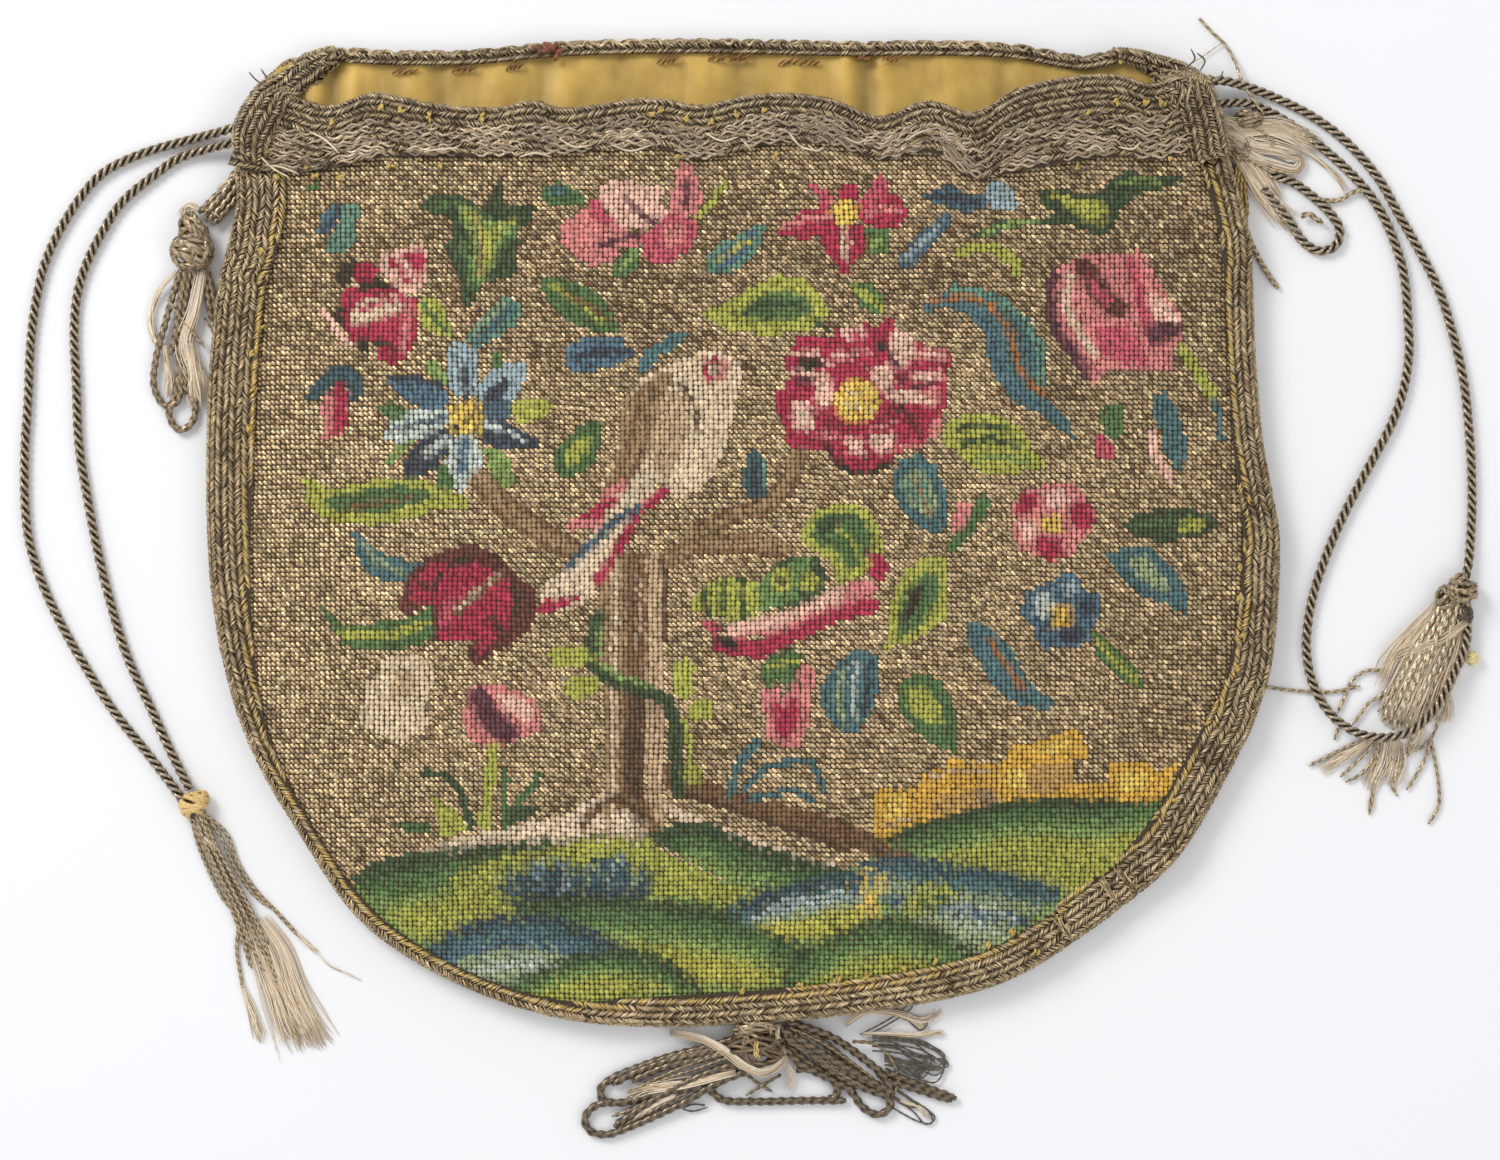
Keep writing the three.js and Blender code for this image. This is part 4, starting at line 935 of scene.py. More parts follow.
# %% Crimson star
patch("crimson", "775,237 790,222 800,212 830,205 835,215 832,232 810,238")
line("pink", 7, "785,226 805,219 832,218")
patch("rose", "805,183 818,185 830,195 835,205 825,208 815,195")
patch("crimson", "825,230 845,225 865,225 868,240 862,255 850,265 845,278 838,268 828,255 "
      "820,240")
line("cream", 6, "843,225 845,260")
patch("crimson", "858,205 870,195 885,188 900,200 908,212 900,225 880,228 862,222")
line("pink", 6, "866,214 884,208 898,212")
patch("rose", "880,175 888,180 882,200 865,205 858,200 868,190")
patch("crimson", "836,196 846,182 856,184 858,200 846,206")
spot("yellow", 14, "845,212")
spot("gold", 5, "845,212")
patch("green", "866,230 890,230 890,255 866,255")
patch("leaf_green", "871,236 884,236 884,250 871,250")
patch("sea_green", "750,228 765,225 762,240 752,258 735,270 718,275 706,272 708,255 720,243 "
      "735,238")
patch("blue", "748,233 758,231 755,241 745,255 730,265 716,268 714,258 724,248 738,243")
line("pale_lime", 5, "718,262 732,252 750,240")
patch("lime", "700,312 730,300 755,285 780,275 805,280 820,292 828,310 825,325 800,332 "
      "765,335 730,330 712,322")
patch("green", "740,308 760,295 785,290 805,297 815,310 800,318 770,320 745,318")
line("dark_green", 5, "735,315 755,308 770,302 795,303 815,320 828,330")
patch("green", "540,275 560,278 590,288 605,300 615,318 618,330 600,332 575,325 555,310 "
      "545,295")
line("lime", 6, "552,286 580,302 600,322")
line("brown", 4, "563,292 590,305 610,322")
patch("blue", "565,358 570,345 590,337 625,336 625,350 632,355 615,365 590,372 570,373")
line("navy", 8, "577,357 600,352 630,352")
patch("teal", "640,360 645,350 660,343 675,332 692,333 680,345 660,355 650,370 638,372")
patch("green", "555,470 553,455 565,440 580,425 600,420 602,440 595,460 580,475 560,478")
patch("lime", "566,466 566,452 578,440 590,434 588,448 578,464")

# %% Large rose
patch("crimson", "799,336 833,336 837,330 869,324 878,328 889,314 896,330 913,340 930,346 948,349 "
      "951,358 949,370 948,390 943,412 941,428 931,440 897,454 893,460 873,474 859,474 839,462 "
      "825,448 789,448 785,428 776,408 775,394 787,386 789,374 785,364 791,348")
patch("pale_pink", "839,328 865,325 867,337 846,341")
patch("rose", "848,331 860,330 861,338 850,339")
patch("pale_pink", "893,324 903,332 913,340 914,356 905,369 896,362 889,346")
line("peach", 4, "898,336 904,352")
line("pale_pink", 4, "833,354 868,352")
line("pink", 4, "834,359 862,357")
line("pale_pink", 5, "795,353 816,352 828,364")
patch("black", "797,359 818,358 827,369 799,370")
line("pale_pink", 5, "794,372 826,374")
patch("plum", "797,377 817,378 817,384 797,384")
patch("pale_pink", "815,378 832,380 834,404 821,409 814,400")
patch("pale_pink", "791,401 811,400 814,420 812,431 796,431 791,416")
patch("peach", "798,410 809,411 808,422 797,421")
patch("pale_pink", "873,366 892,364 896,386 880,390 872,378")
patch("pale_pink", "883,391 905,389 925,394 941,397 940,403 925,405 900,403 884,399")
patch("pink", "914,348 946,350 948,361 930,362 914,361")
line("pale_pink", 4, "916,352 944,354")
patch("pale_pink", "909,373 941,372 941,381 912,383")
patch("pink", "929,386 941,388 939,402 930,400")
line("plum", 4, "909,387 922,386 935,381")
line("plum", 4, "885,348 896,362 903,374 907,384")
spot("black", 6, "881,345")
line("black", 5, "901,408 910,420 921,434")
patch("pink", "931,416 942,420 939,434 929,440")
line("pink", 5, "873,430 896,421")
line("pink", 5, "819,434 842,438")
patch("pale_pink", "843,438 863,438 866,457 850,454")
patch("pale_pink", "869,437 895,429 894,448 880,456 871,447")
patch("peach", "871,440 878,438 877,446 872,446")
patch("deep_crimson", "822,410 834,418 850,426 846,434 826,430")
patch("deep_crimson", "884,410 896,404 900,414 888,424 876,424")
line("black", 5, "825,444 833,458 845,468 861,474 877,470 893,460")
line("pink", 5, "897,449 926,443")
spot("yellow", 23, "857,401")
line("gold", 4, "842,394 850,410 846,418")
line("gold", 4, "858,386 862,396 872,400")
line("gold", 4, "856,414 866,416")
for x, y in ((850, 394), (864, 390), (858, 406), (870, 410), (846, 404)):
    spot("cream", 2.8, f"{x},{y}")

# %% [markdown]
# ## The pattern: right side
# A pink tulip with a wavy leaf, a long bent leaf, a pink and a blue flower, and the leaves
# that fill the ground between them.

# %% Upper right
patch("slate", "918,200 935,190 955,183 962,192 980,195 990,200 985,210 965,212 945,205 "
      "930,202")
line("navy", 5, "930,198 955,196 980,203")
patch("pale_blue", "985,185 1000,180 1015,195 1020,205 1005,212 990,210")
line("slate", 15, "945,222 925,240 905,262")
line("pale_blue", 5, "940,224 922,242 904,258")
patch("dark_green", "965,238 985,230 1000,220 1030,220 1060,215 1040,205 1042,190 1065,187 "
      "1080,195 1100,193 1112,178 1130,172 1150,177 1185,178 1175,187 1150,190 1130,200 "
      "1118,215 1115,230 1100,235 1080,228 1065,222 1040,225 1010,228 985,240")
patch("lime", "1045,195 1062,192 1075,200 1100,200 1108,212 1105,228 1088,222 1070,208")
line("leaf_green", 5, "984,234 1008,224 1038,222")
line("leaf_green", 5, "1118,186 1138,180 1160,182")
line("lime", 12, "962,252 980,247 1000,250 1015,262 1018,272")
patch("pink", "1055,270 1070,262 1085,252 1105,252 1120,255 1140,250 1148,262 1158,280 "
      "1170,300 1182,318 1185,335 1175,345 1175,370 1160,372 1130,368 1110,370 1095,385 "
      "1085,380 1080,365 1070,345 1055,330 1050,305 1050,285")
patch("rose", "1095,325 1130,325 1140,345 1150,365 1120,362 1100,352")
line("plum", 10, "1055,275 1050,300 1055,330 1072,350 1088,375")
patch("maroon", "1080,255 1095,265 1110,290 1128,305 1125,318 1105,315 1090,295 1075,270")
patch("rose", "1085,268 1100,285 1115,303 1105,308 1092,290")
line("peach", 8, "1070,275 1065,305 1080,335 1095,355")
line("rose", 12, "1130,262 1140,290 1145,320 1155,340")
patch("pale_pink", "1148,290 1165,300 1182,320 1165,325 1152,315")
patch("plum", "1145,330 1160,322 1183,322 1180,337 1160,345 1150,342")
line("lime", 12, "1183,350 1200,375 1212,395")
line("teal", 6, "1215,400 1220,420 1222,440")
patch("teal", "930,300 955,285 980,288 1005,298 1030,320 1045,345 1048,370 1040,395 "
      "1055,405 1070,420 1075,440 1060,430 1045,415 1020,405 1000,385 988,360 985,335 "
      "970,315 945,308 920,315")
line("sea_green", 7, "955,290 982,293 1004,303 1026,324 1040,348 1042,370 1036,392")
line("blue", 6, "975,312 990,332 996,360 1010,386 1034,404")
line("rust", 6, "930,300 965,296 990,305 1010,330 1020,370 1042,395")
patch("green", "848,285 865,280 880,292 888,305 878,315 860,305")
line("lime", 7, "854,288 868,296 880,308")
patch("lime", "940,430 950,420 975,412 1000,415 1020,428 1030,440 1035,455 1055,465 "
      "1030,470 1000,475 975,470 960,455 945,445")
line("dark_green", 6, "955,430 980,424 1008,430")
line("dark_green", 6, "962,444 990,438 1016,446")
line("leaf_green", 6, "976,460 1000,456 1030,464")

# %% Right side
patch("teal", "893,475 900,460 920,455 935,465 945,490 948,515 943,535 925,530 905,515 "
      "895,498")
patch("sage", "903,478 918,468 932,480 938,506 928,520 910,504")
patch("sea_green", "908,480 920,476 929,488 931,504 922,508 912,498")
line("tan", 4, "914,478 922,496 932,516")
line("green", 13, "985,502 970,525 952,548")
patch("pink", "950,520 960,502 972,502 970,520 955,535")
patch("lime", "885,648 887,620 895,590 905,570 925,557 947,555 947,590 945,620 925,635 "
      "905,645")
patch("green", "895,620 905,590 925,572 940,575 937,605 920,625 900,640")
patch("black", "905,610 912,590 925,580 922,600 910,620 898,635")
patch("pink", "1010,505 1020,495 1035,488 1055,483 1075,485 1085,495 1095,510 1092,530 "
      "1080,540 1075,555 1050,562 1035,555 1020,550 1012,535 1015,520")
patch("crimson", "1038,540 1060,538 1064,554 1050,562 1038,556")
patch("crimson", "1075,500 1092,502 1094,525 1080,532 1070,518")
patch("crimson", "1015,512 1020,496 1036,492 1038,505 1026,516")
patch("pale_pink", "1044,492 1064,488 1070,500 1058,510 1044,506")
patch("pale_pink", "1018,524 1034,520 1038,534 1026,544")
patch("yellow", "1042,515 1062,515 1062,532 1042,532")
patch("blue", "1025,595 1040,585 1055,580 1065,572 1080,578 1082,590 1098,595 1100,610 "
      "1095,625 1088,640 1075,648 1060,645 1048,650 1035,640 1035,625 1020,615")
patch("ice", "1034,598 1050,590 1054,606 1048,620 1034,616")
patch("navy", "1062,628 1080,624 1088,636 1074,646 1060,642")
patch("pale_blue", "1062,582 1076,580 1078,594 1066,600")
patch("navy", "1080,600 1094,600 1096,614 1082,618")
patch("gold", "1052,605 1072,605 1072,628 1052,628")
patch("yellow", "1057,610 1067,610 1067,622 1057,622")
patch("dark_green", "1122,525 1140,512 1165,510 1190,508 1210,515 1220,525 1205,535 "
      "1170,542 1140,538")
patch("lime", "1180,518 1198,516 1206,526 1192,534 1178,532")
line("green", 6, "1136,526 1160,522 1184,524")
patch("teal", "1105,555 1125,548 1150,545 1165,560 1180,580 1190,600 1185,615 1165,602 "
      "1140,595 1125,580")
patch("sage", "1126,560 1146,556 1160,574 1172,594 1154,588 1138,578")
patch("green", "1090,628 1100,635 1115,650 1130,660 1140,675 1145,688 1130,685 1112,672 "
      "1098,655")
line("lime", 7, "1098,642 1114,660 1134,680")
patch("green", "1100,410 1110,402 1125,408 1125,430 1115,440 1103,430")
patch("rose", "1093,440 1103,432 1115,450 1110,462 1095,455")
patch("teal", "1155,395 1165,392 1175,405 1182,425 1188,450 1180,472 1165,455 1160,430 "
      "1152,412")
line("pale_pink", 9, "1152,432 1155,455 1170,478")
patch("teal", "965,622 985,625 1005,640 1020,665 1035,690 1060,705 1040,710 1010,700 "
      "990,680 975,655 968,640")
line("rust", 6, "990,640 1005,665 1025,690")
patch("teal", "820,700 825,680 840,660 860,648 880,655 878,690 870,715 855,735 840,730 "
      "825,715")
line("sage", 6, "842,672 838,705 845,724")
line("ice", 5, "856,664 854,700 856,722")
line("navy", 5, "870,662 868,694 862,716")
patch("green", "898,685 920,672 940,680 952,700 958,725 955,752 935,745 915,730 900,710")
patch("lime", "905,690 925,685 940,705 943,725 920,720 908,705")

# %% [markdown]
# ## The pattern: below the branches
# A round many-lobed leaf over a pink and crimson stripe, a tulip bud, and the hills on the
# right and in the middle.

# %% Below the branches
patch("lime", "802,540 805,520 820,508 850,503 870,510 880,530 885,555 865,575 840,585 "
      "830,560 810,550")
patch("green", "812,536 814,522 826,514 848,512 864,518 872,536 872,554 858,566 846,572 "
      "838,552 820,546")
patch("dark_green", "815,525 830,515 845,515 840,530 820,537")
line("lime", 5, "838,530 852,540 860,556")
patch("dark_green", "760,600 765,580 775,565 800,555 820,560 828,580 820,600 800,605 "
      "780,610")
patch("mid_green", "752,584 772,572 800,556 812,560 800,600 760,612")
spot("lime", 13, "781,580")
spot("lime", 10, "810,582")
spot("dark_green", 5, "781,580")
patch("lime", "690,605 700,590 715,580 735,578 755,580 760,600 755,618 735,622 710,615 "
      "695,610")
line("dark_green", 6, "724,582 722,600 726,616")
line("dark_green", 6, "742,580 742,600 744,618")
line("dark_green", 5, "706,590 704,604 708,612")
line("crimson", 17, "720,645 760,650 790,635 830,615 870,605")
line("pale_pink", 15, "735,630 780,622 820,605 850,590")
line("pink", 6, "738,637 782,630 822,612 858,596")
patch("rose", "700,625 712,618 722,628 715,638")
patch("black", "715,636 735,636 735,650 720,648")
patch("crimson", "870,550 885,555 890,570 880,585 868,575")
patch("pink", "842,586 866,578 880,586 872,598 848,602")
patch("pink", "762,690 768,675 778,690 785,700 795,680 800,665 815,668 812,700 810,725 "
      "800,745 782,748 768,735 763,715")
patch("crimson", "772,700 785,708 796,694 800,716 794,736 782,740 774,726")
patch("green", "760,665 770,655 790,648 805,655 800,665 790,690 778,680 765,690")
line("lime", 6, "768,668 784,662 798,660")
line("teal", 8, "760,740 745,755 735,775 730,795")
line("teal", 7, "745,790 770,765 810,760")
line("teal", 6, "810,760 825,790")
line("teal", 6, "750,800 790,790 815,800")

# %% Hills on the right
hill("dark_green:10 green:20 mid_green:28 leaf_green:38 lime:120",
     "884,840 920,822 960,812 1000,801 1050,797 1100,800 1166,792",
     "884,842 920,858 960,868 1000,880 1050,895 1080,898 1166,810")
patch("gold", "877,790 918,790 921,775 946,766 949,758 965,761 1002,764 1012,747 1043,741 1071,729 "
      "1084,734 1087,756 1073,762 1072,782 1108,784 1112,762 1152,765 1156,773 1178,762 "
      "1171,792 1152,802 1105,800 1050,797 1000,801 960,812 920,822 884,840 872,831")
patch("tan_gold", "934,797 968,790 1000,793 1000,801 960,812 930,816")
patch("tan_gold", "1016,772 1040,764 1072,764 1072,784 1050,794 1018,792")
patch("tan", "976,790 992,788 996,804 978,806")
patch("yellow", "886,796 906,794 908,812 886,822")
patch("yellow", "1004,772 1024,770 1026,788 1008,788")
patch("yellow", "1034,748 1070,738 1072,750 1036,756")
patch("yellow", "1116,772 1148,772 1145,790 1118,793")
line("beige", 4, "928,778 960,770 996,772")
line("beige", 4, "886,826 912,818")
hill("deep_teal:12 teal:26 sage:40 blue:52 sage:100",
     "858,864 880,857 910,856 950,862 1000,870 1040,880 1064,890",
     "858,872 880,900 910,918 950,948 985,950 1020,928 1064,892")
patch("lime", "900,915 905,900 918,888 940,883 955,890 960,900 940,905 915,915")
line("green", 5, "912,908 930,898 950,896")
line("ice", 5, "950,904 985,910 1012,918")
line("ice", 5, "955,920 980,926 1000,934")
line("yellow", 9, "866,872 866,915")
line("yellow", 6, "852,876 864,896 868,915")
line("yellow", 6, "884,874 874,896 870,915")
hill("dark_green:8 green:18 mid_green:28 leaf_green:38 lime:60 pale_lime:90",
     "774,990 786,972 804,952 824,938 846,927 880,918 910,918 940,930 965,946 985,956",
     "774,992 786,996 804,1000 846,1000 900,990 940,980 965,966 985,958")

# %% Hills in the middle
patch("lime", "645,836 660,852 690,866 715,882 760,890 800,880 850,872 850,884 790,900 "
      "745,905 700,900 655,895 650,860")
hill("dark_green:14 green:26 mid_green:34 leaf_green:60",
     "645,834 670,826 698,821 716,825 732,834 765,846 800,856 844,870",
     "645,836 670,850 698,866 732,880 765,884 800,880 844,874")
hill("deep_teal:8 navy:12 teal:22 pale_blue:28 sage:36 pale_lime:60",
     "724,910 745,897 766,889 795,882 826,876 862,870",
     "724,911 745,920 766,930 795,940 826,936 862,920")
line("ice", 5, "770,908 800,900 840,892")
line("navy", 4, "752,906 790,895 840,884")
line("lime", 6, "788,922 815,918 844,928")
line("dark_green", 6, "655,955 676,968 696,984")
print("areas and lines in the chart:", len(chart))

# %% [markdown]
# ## Stitches
# Each stitch is a slanted ridge of eight triangles. Those of metal lean about 50 degrees, and
# those of wool stand steeper and plumper, as in the real work. The stitches take their places
# from the chart along the camera's own lines of sight, so that the swell moves nothing.

# %% Choosing a skein for each stitch


def inside(points, ring):
    """Which points lie in a closed ring"""
    x, y = points[:, 0], points[:, 1]
    result = np.zeros(len(points), bool)
    for (ax, ay), (bx, by) in zip(ring, np.roll(ring, -1, axis=0)):
        if ay != by:
            crosses = (ay > y) != (by > y)
            result ^= crosses & (x < (bx - ax) * (y - ay) / (by - ay) + ax)
    return result


def near(points, path, reach):
    """Which points lie within reach of an open line"""
    result = np.zeros(len(points), bool)
    for start, end in zip(path[:-1], path[1:]):
        way = end - start
        share = np.clip((points - start) @ way / max(way @ way, 1e-9), 0, 1)
        result |= np.linalg.norm(points - start - share[:, None] * way, axis=1) < reach
    return result


def skeins_at(points):
    """The number of the skein at each chart point, -1 for the metal ground"""
    chosen = np.full(len(points), -1)
    for skein, shape, width in chart:
        if isinstance(skein, list):
            crest, foot = shape
            depth = points[:, 1] - np.interp(points[:, 0], *crest.T)
            hit = ((depth >= 0) & (points[:, 1] <= np.interp(points[:, 0], *foot.T))
                   & (points[:, 0] >= crest[0, 0]) & (points[:, 0] <= crest[-1, 0]))
            band = np.minimum(np.searchsorted(width, depth[hit]), len(skein) - 1)
            chosen[hit] = np.array(skein)[band]
            continue
        reach = 0 if width is None else width / 2
        low, high = shape.min(axis=0) - reach, shape.max(axis=0) + reach
        close = np.flatnonzero(((points >= low) & (points <= high)).all(axis=1))
        hit = (inside(points[close], shape) if width is None
               else near(points[close], shape, reach))
        chosen[close[hit]] = skein
    return chosen


def drift(x, y, size, seed):
    """A slow change from -1 to 1 over the cloth, for uneven pull and fading"""
    lattice = np.random.default_rng(seed).uniform(-1, 1, (64, 64))
    u, v = np.asarray(x) / size % 63, np.asarray(y) / size % 63
    i, j = u.astype(int), v.astype(int)
    s, t = u - i, v - j
    s, t = s * s * (3 - 2 * s), t * t * (3 - 2 * t)
    return ((lattice[i, j] * (1 - s) + lattice[i + 1, j] * s) * (1 - t)
            + (lattice[i, j + 1] * (1 - s) + lattice[i + 1, j + 1] * s) * t)


AGED = linear((158, 142, 112))    # the dull tone that all the wool has taken on
# the metal ground runs from dull thread to bright metal, and its brightest stitches are painted
# glints
METAL_DULL = linear((94, 75, 50))
METAL_BRIGHT = linear((212, 188, 147))
HILLS_FROM = 836                  # the hills lie below this chart y
skein_colours = np.array([linear(colour) for colour in SKEINS.values()])
skein_colours = 0.88 * skein_colours + 0.12 * AGED


def yarn_colours(skeins, x, y):
    """A colour for each stitch: its skein shaded into its neighbours, most of all on the
    hills, or the metal ground"""
    colours = skein_colours[np.maximum(skeins, 0)]
    places = np.column_stack([x, y])
    reach = np.where(y > HILLS_FROM, 7.0, 2.6)[:, None]
    for _ in range(3):
        beside = skeins_at(places + reach * chance.normal(0, (1.0, 0.7), places.shape))
        colours = colours + skein_colours[np.where(beside < 0, skeins, beside).clip(0)]
    colours = colours / 4
    fade = 1 + 0.10 * drift(x, y, 30, 3) + chance.normal(0, 0.13, len(x))
    colours = colours * np.clip(fade, 0.6, 1.4)[:, None]
    ground = skeins < 0
    # the share is the metal's own uneven tarnish, plus painted glints on a few stitches; the ground
    # is darker in a band near the top and lighter at the left
    glint = chance.beta(2.6, 3.8, len(x)) + 0.12 * drift(x / 3, y, 8, 5)
    glint += 0.45 * (chance.random(len(x)) < 0.06)
    glint -= 0.16 * np.exp(-((y - 260) / 90) ** 2) - 0.06 * (x < 420)
    share = np.clip(glint, 0, 1)[:, None]
    metal = METAL_DULL * (1 - share) + METAL_BRIGHT * share
    colours[ground] = metal[ground]
    return colours


# %% The worked area
PITCH = 4.9
UNDER_BRAID = 1.2 * MM    # how far the stitches run on below the braid
inner_seam = seam[:, :2] + seam_inward * (seam[:, 2:] - UNDER_BRAID)
inner_rim = front_edge[:, :2] - np.column_stack([np.zeros(len(front_edge)),
                                                 front_edge[:, 2] - UNDER_BRAID])
worked_ring = np.vstack([inner_seam, inner_rim[::-1]])[::6]


def seen_place(chart_points, height):
    """Where a chart point lies on a raised surface, along the camera's line of sight"""
    target = from_chart(chart_points)
    place = target.copy()
    for _ in range(3):
        z = height(place[:, 0], place[:, 1])
        place = on_sight_line(target, z)
    return place, z


grid = np.stack(np.meshgrid(np.arange(215, 1262, PITCH), np.arange(70, 1020, PITCH)), axis=-1)
stitch_chart = grid.reshape(-1, 2)
pull = np.column_stack([drift(*stitch_chart.T, 60, 11), drift(*stitch_chart.T, 60, 12)])
stitch_chart = stitch_chart + 1.8 * pull + chance.normal(0, 0.25, stitch_chart.shape)
stitch_place, stitch_z = seen_place(stitch_chart, front_height)
worked = inside(stitch_place, worked_ring)
stitch_chart, stitch_place, stitch_z = (v[worked] for v in (stitch_chart, stitch_place, stitch_z))
stitch_skein = skeins_at(stitch_chart)
stitch_colour = yarn_colours(stitch_skein, *stitch_chart.T)
print("stitches:", len(stitch_skein), "of them metal:", int((stitch_skein < 0).sum()))

# %% Laying the stitches


def stitches(name, which, lean, length, width, rise, material):
    """Slanted ridges on the front, eight points and eight triangles each"""
    x, y = stitch_place[which].T
    step = 1.0 * MM
    slope_x = (front_height(x + step, y) - front_height(x - step, y)) / (2 * step)
    slope_y = (front_height(x, y + step) - front_height(x, y - step)) / (2 * step)
    up = np.column_stack([-slope_x, -slope_y, np.ones(len(x))])
    up /= np.linalg.norm(up, axis=1, keepdims=True)
    angle = np.radians(lean + chance.normal(0, 6, len(x)))
    along = np.column_stack([np.sin(angle), -np.cos(angle), np.zeros(len(x))])
    along -= up * (along * up).sum(axis=1, keepdims=True)
    along /= np.linalg.norm(along, axis=1, keepdims=True)
    across = np.cross(up, along)
    size = chance.normal(1, 0.07, (len(x), 1)).clip(0.8, 1.25)
    middle = np.column_stack([x, y, stitch_z[which]])
    length, width, rise = length * size, width * size, rise * size
    shape = [(-0.5, 0, -0.1), (-0.22, -0.5, 0), (-0.22, 0.5, 0), (-0.22, 0, 1),
             (0.22, -0.5, 0), (0.22, 0.5, 0), (0.22, 0, 1), (0.5, 0, -0.1)]
    points = np.stack([middle + along * length * a + across * width * b + up * rise * c
                       for a, b, c in shape], axis=1).reshape(-1, 3)
    pattern = [(0, 3, 1), (0, 2, 3), (1, 3, 6, 4), (3, 2, 5, 6), (7, 4, 6), (7, 6, 5)]
    first = (np.arange(len(x)) * 8)[:, None]
    faces = []
    for corners in pattern:
        faces.extend((first + np.array(corners)[None]).tolist())
    made = plain_mesh(name, points, faces, smooth=True)
    # painted light: each stitch's feet take painted shade, its flanks less, and its crest a painted
    # highlight
    foot, flank, crest = 0.48, 0.64, 1.22
    shade = np.array([foot, flank, flank, crest, flank, flank, crest, foot])
    colours = stitch_colour[which][:, None, :] * shade[None, :, None]
    return finish_piece(made, material, colours.reshape(-1, 3))


ground_stitches = stitches("ground_stitches", stitch_skein < 0, 52, 1.70 * MM, 0.86 * MM,
                           0.34 * MM, metal_thread)
wool_stitches = stitches("wool_stitches", stitch_skein >= 0, 28, 1.66 * MM, 1.14 * MM,
                         0.44 * MM, wool)

# %% [markdown]
# ## Canvas, back and lining
# Under the stitches is a dark canvas that closes the gaps between them; its dark is partly
# painted shade of the gaps. The back is one sheet of coloured cells, worked with the same pattern
# turned over, since the photograph doesn't show it. Each sheet is a single skin, as cloth is this
# thin.

# %% Sheets on a grid
left_side = placed(outline[:12])
right_side = placed(outline[11:][::-1])


def side_limits(y, inset):
    """The bag's left and right edge at a height y of the plan"""
    left = np.interp(-y, -left_side[:, 1], left_side[:, 0]) + inset
    right = np.interp(-y, -right_side[:, 1], right_side[:, 0]) - inset
    return left, right


lowest = inner_seam[:, 1].argmin()


def worked_limits(y, inset):
    """The same for the worked area, whose edge lies under the braid"""
    left = np.interp(-y, -inner_seam[:lowest, 1], inner_seam[:lowest, 0]) + inset
    right = np.interp(-y, -inner_seam[:lowest:-1, 1], inner_seam[:lowest:-1, 0]) - inset
    return left, right


def pocket_grid(rim, inset, columns=150, rows=120, drop=0.0, limits=side_limits, foot=None):
    """Plan places in rows from a rim to the bag's bottom"""
    share = np.linspace(0, 1, columns)
    depth = np.linspace(0, 1, rows)[:, None] * 0.992
    bottom = bag_middle[1] - BAG_HEIGHT / 2 + inset if foot is None else foot
    x = np.interp(share, [0, 1], [rim[0, 0] + inset, rim[-1, 0] - inset])
    for _ in range(4):
        top = np.interp(x, rim[:, 0], rim[:, 1]) - drop
        y = top * (1 - depth) + bottom * depth
        left, right = limits(y, inset)
        x = left * (1 - share) + right * share
    return np.stack([x, y], axis=-1)


def grid_faces(rows, columns):
    """Square faces between the points of a grid"""
    i, j = np.meshgrid(np.arange(rows - 1), np.arange(columns - 1), indexing="ij")
    first = (i * columns + j).ravel()
    return np.column_stack([first, first + columns, first + columns + 1, first + 1])


front_grid = pocket_grid(front_edge, -0.8 * MM, columns=110, rows=84, drop=1.2 * MM,
                         limits=worked_limits, foot=inner_seam[lowest, 1] - 0.8 * MM)
front_z = front_height(front_grid[..., 0], front_grid[..., 1]) - 0.15 * MM
canvas = plain_mesh("front_canvas", np.dstack([front_grid, front_z]).reshape(-1, 3),
                    grid_faces(*front_grid.shape[:2]).tolist(), smooth=True)
# the canvas is dark brown: its own colour, darkened by painted shade of the gaps between the stitches
finish_piece(canvas, canvas_cloth, np.full((front_grid.size // 2, 3), linear((72, 58, 42))))
for piece in (ground_stitches, wool_stitches, canvas):
    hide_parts("front_panel")

# %% [markdown]
# ## The back
# The cells of the back are larger than the front's stitches. A bump with painted shade in its
# gaps stands in for the single stitches, as this side is looked at less closely.

# %% Back


def stitch_cells_group():
    """Slanted stitches for a flat cloth: a bump, painted shade between the stitches and a painted
    highlight on their crests
    """
    group, start, end = new_group("stitch_cells", [("Colour", "NodeSocketColor", None)],
                                  [("Colour", "NodeSocketColor"), ("Normal", "NodeSocketVector")])
    place = group.nodes.new("ShaderNodeTexCoord")
    split = group.nodes.new("ShaderNodeSeparateXYZ")
    group.links.new(place.outputs["Object"], split.inputs[0])
    turn = 2 * np.pi / (PITCH * UNIT)
    both = math_node(group, "ADD", split.outputs["X"], split.outputs["Y"])
    less = math_node(group, "SUBTRACT", split.outputs["X"], split.outputs["Y"])
    first = math_node(group, "SINE", math_node(group, "MULTIPLY", both, turn), 0)
    second = math_node(group, "SINE", math_node(group, "MULTIPLY", less, turn), 0)
    height = math_node(group, "ADD", math_node(group, "MULTIPLY", first, 0.6),
                       math_node(group, "MULTIPLY", second, 0.4))
    # painted light: the colour is darker in the bump's hollows and lighter on its crests
    light = math_node(group, "MULTIPLY_ADD", height, 0.35, 0.75)
    bump = group.nodes.new("ShaderNodeBump")
    bump.inputs["Strength"].default_value = 0.8
    bump.inputs["Distance"].default_value = 0.0004
    shaded_and_raised(group, start, end, light, bump, height)
    return group


back_cloth = bpy.data.materials.new("back_needlework")
back_cloth.use_nodes = True
tree = back_cloth.node_tree
cells = place_group(tree, stitch_cells_group())
shader = tree.nodes["Principled BSDF"]
tree.links.new(own_colour(tree), cells.inputs["Colour"])
tree.links.new(cells.outputs["Colour"], shader.inputs["Base Color"])
tree.links.new(cells.outputs["Normal"], shader.inputs["Normal"])
shader.inputs["Roughness"].default_value = 0.75

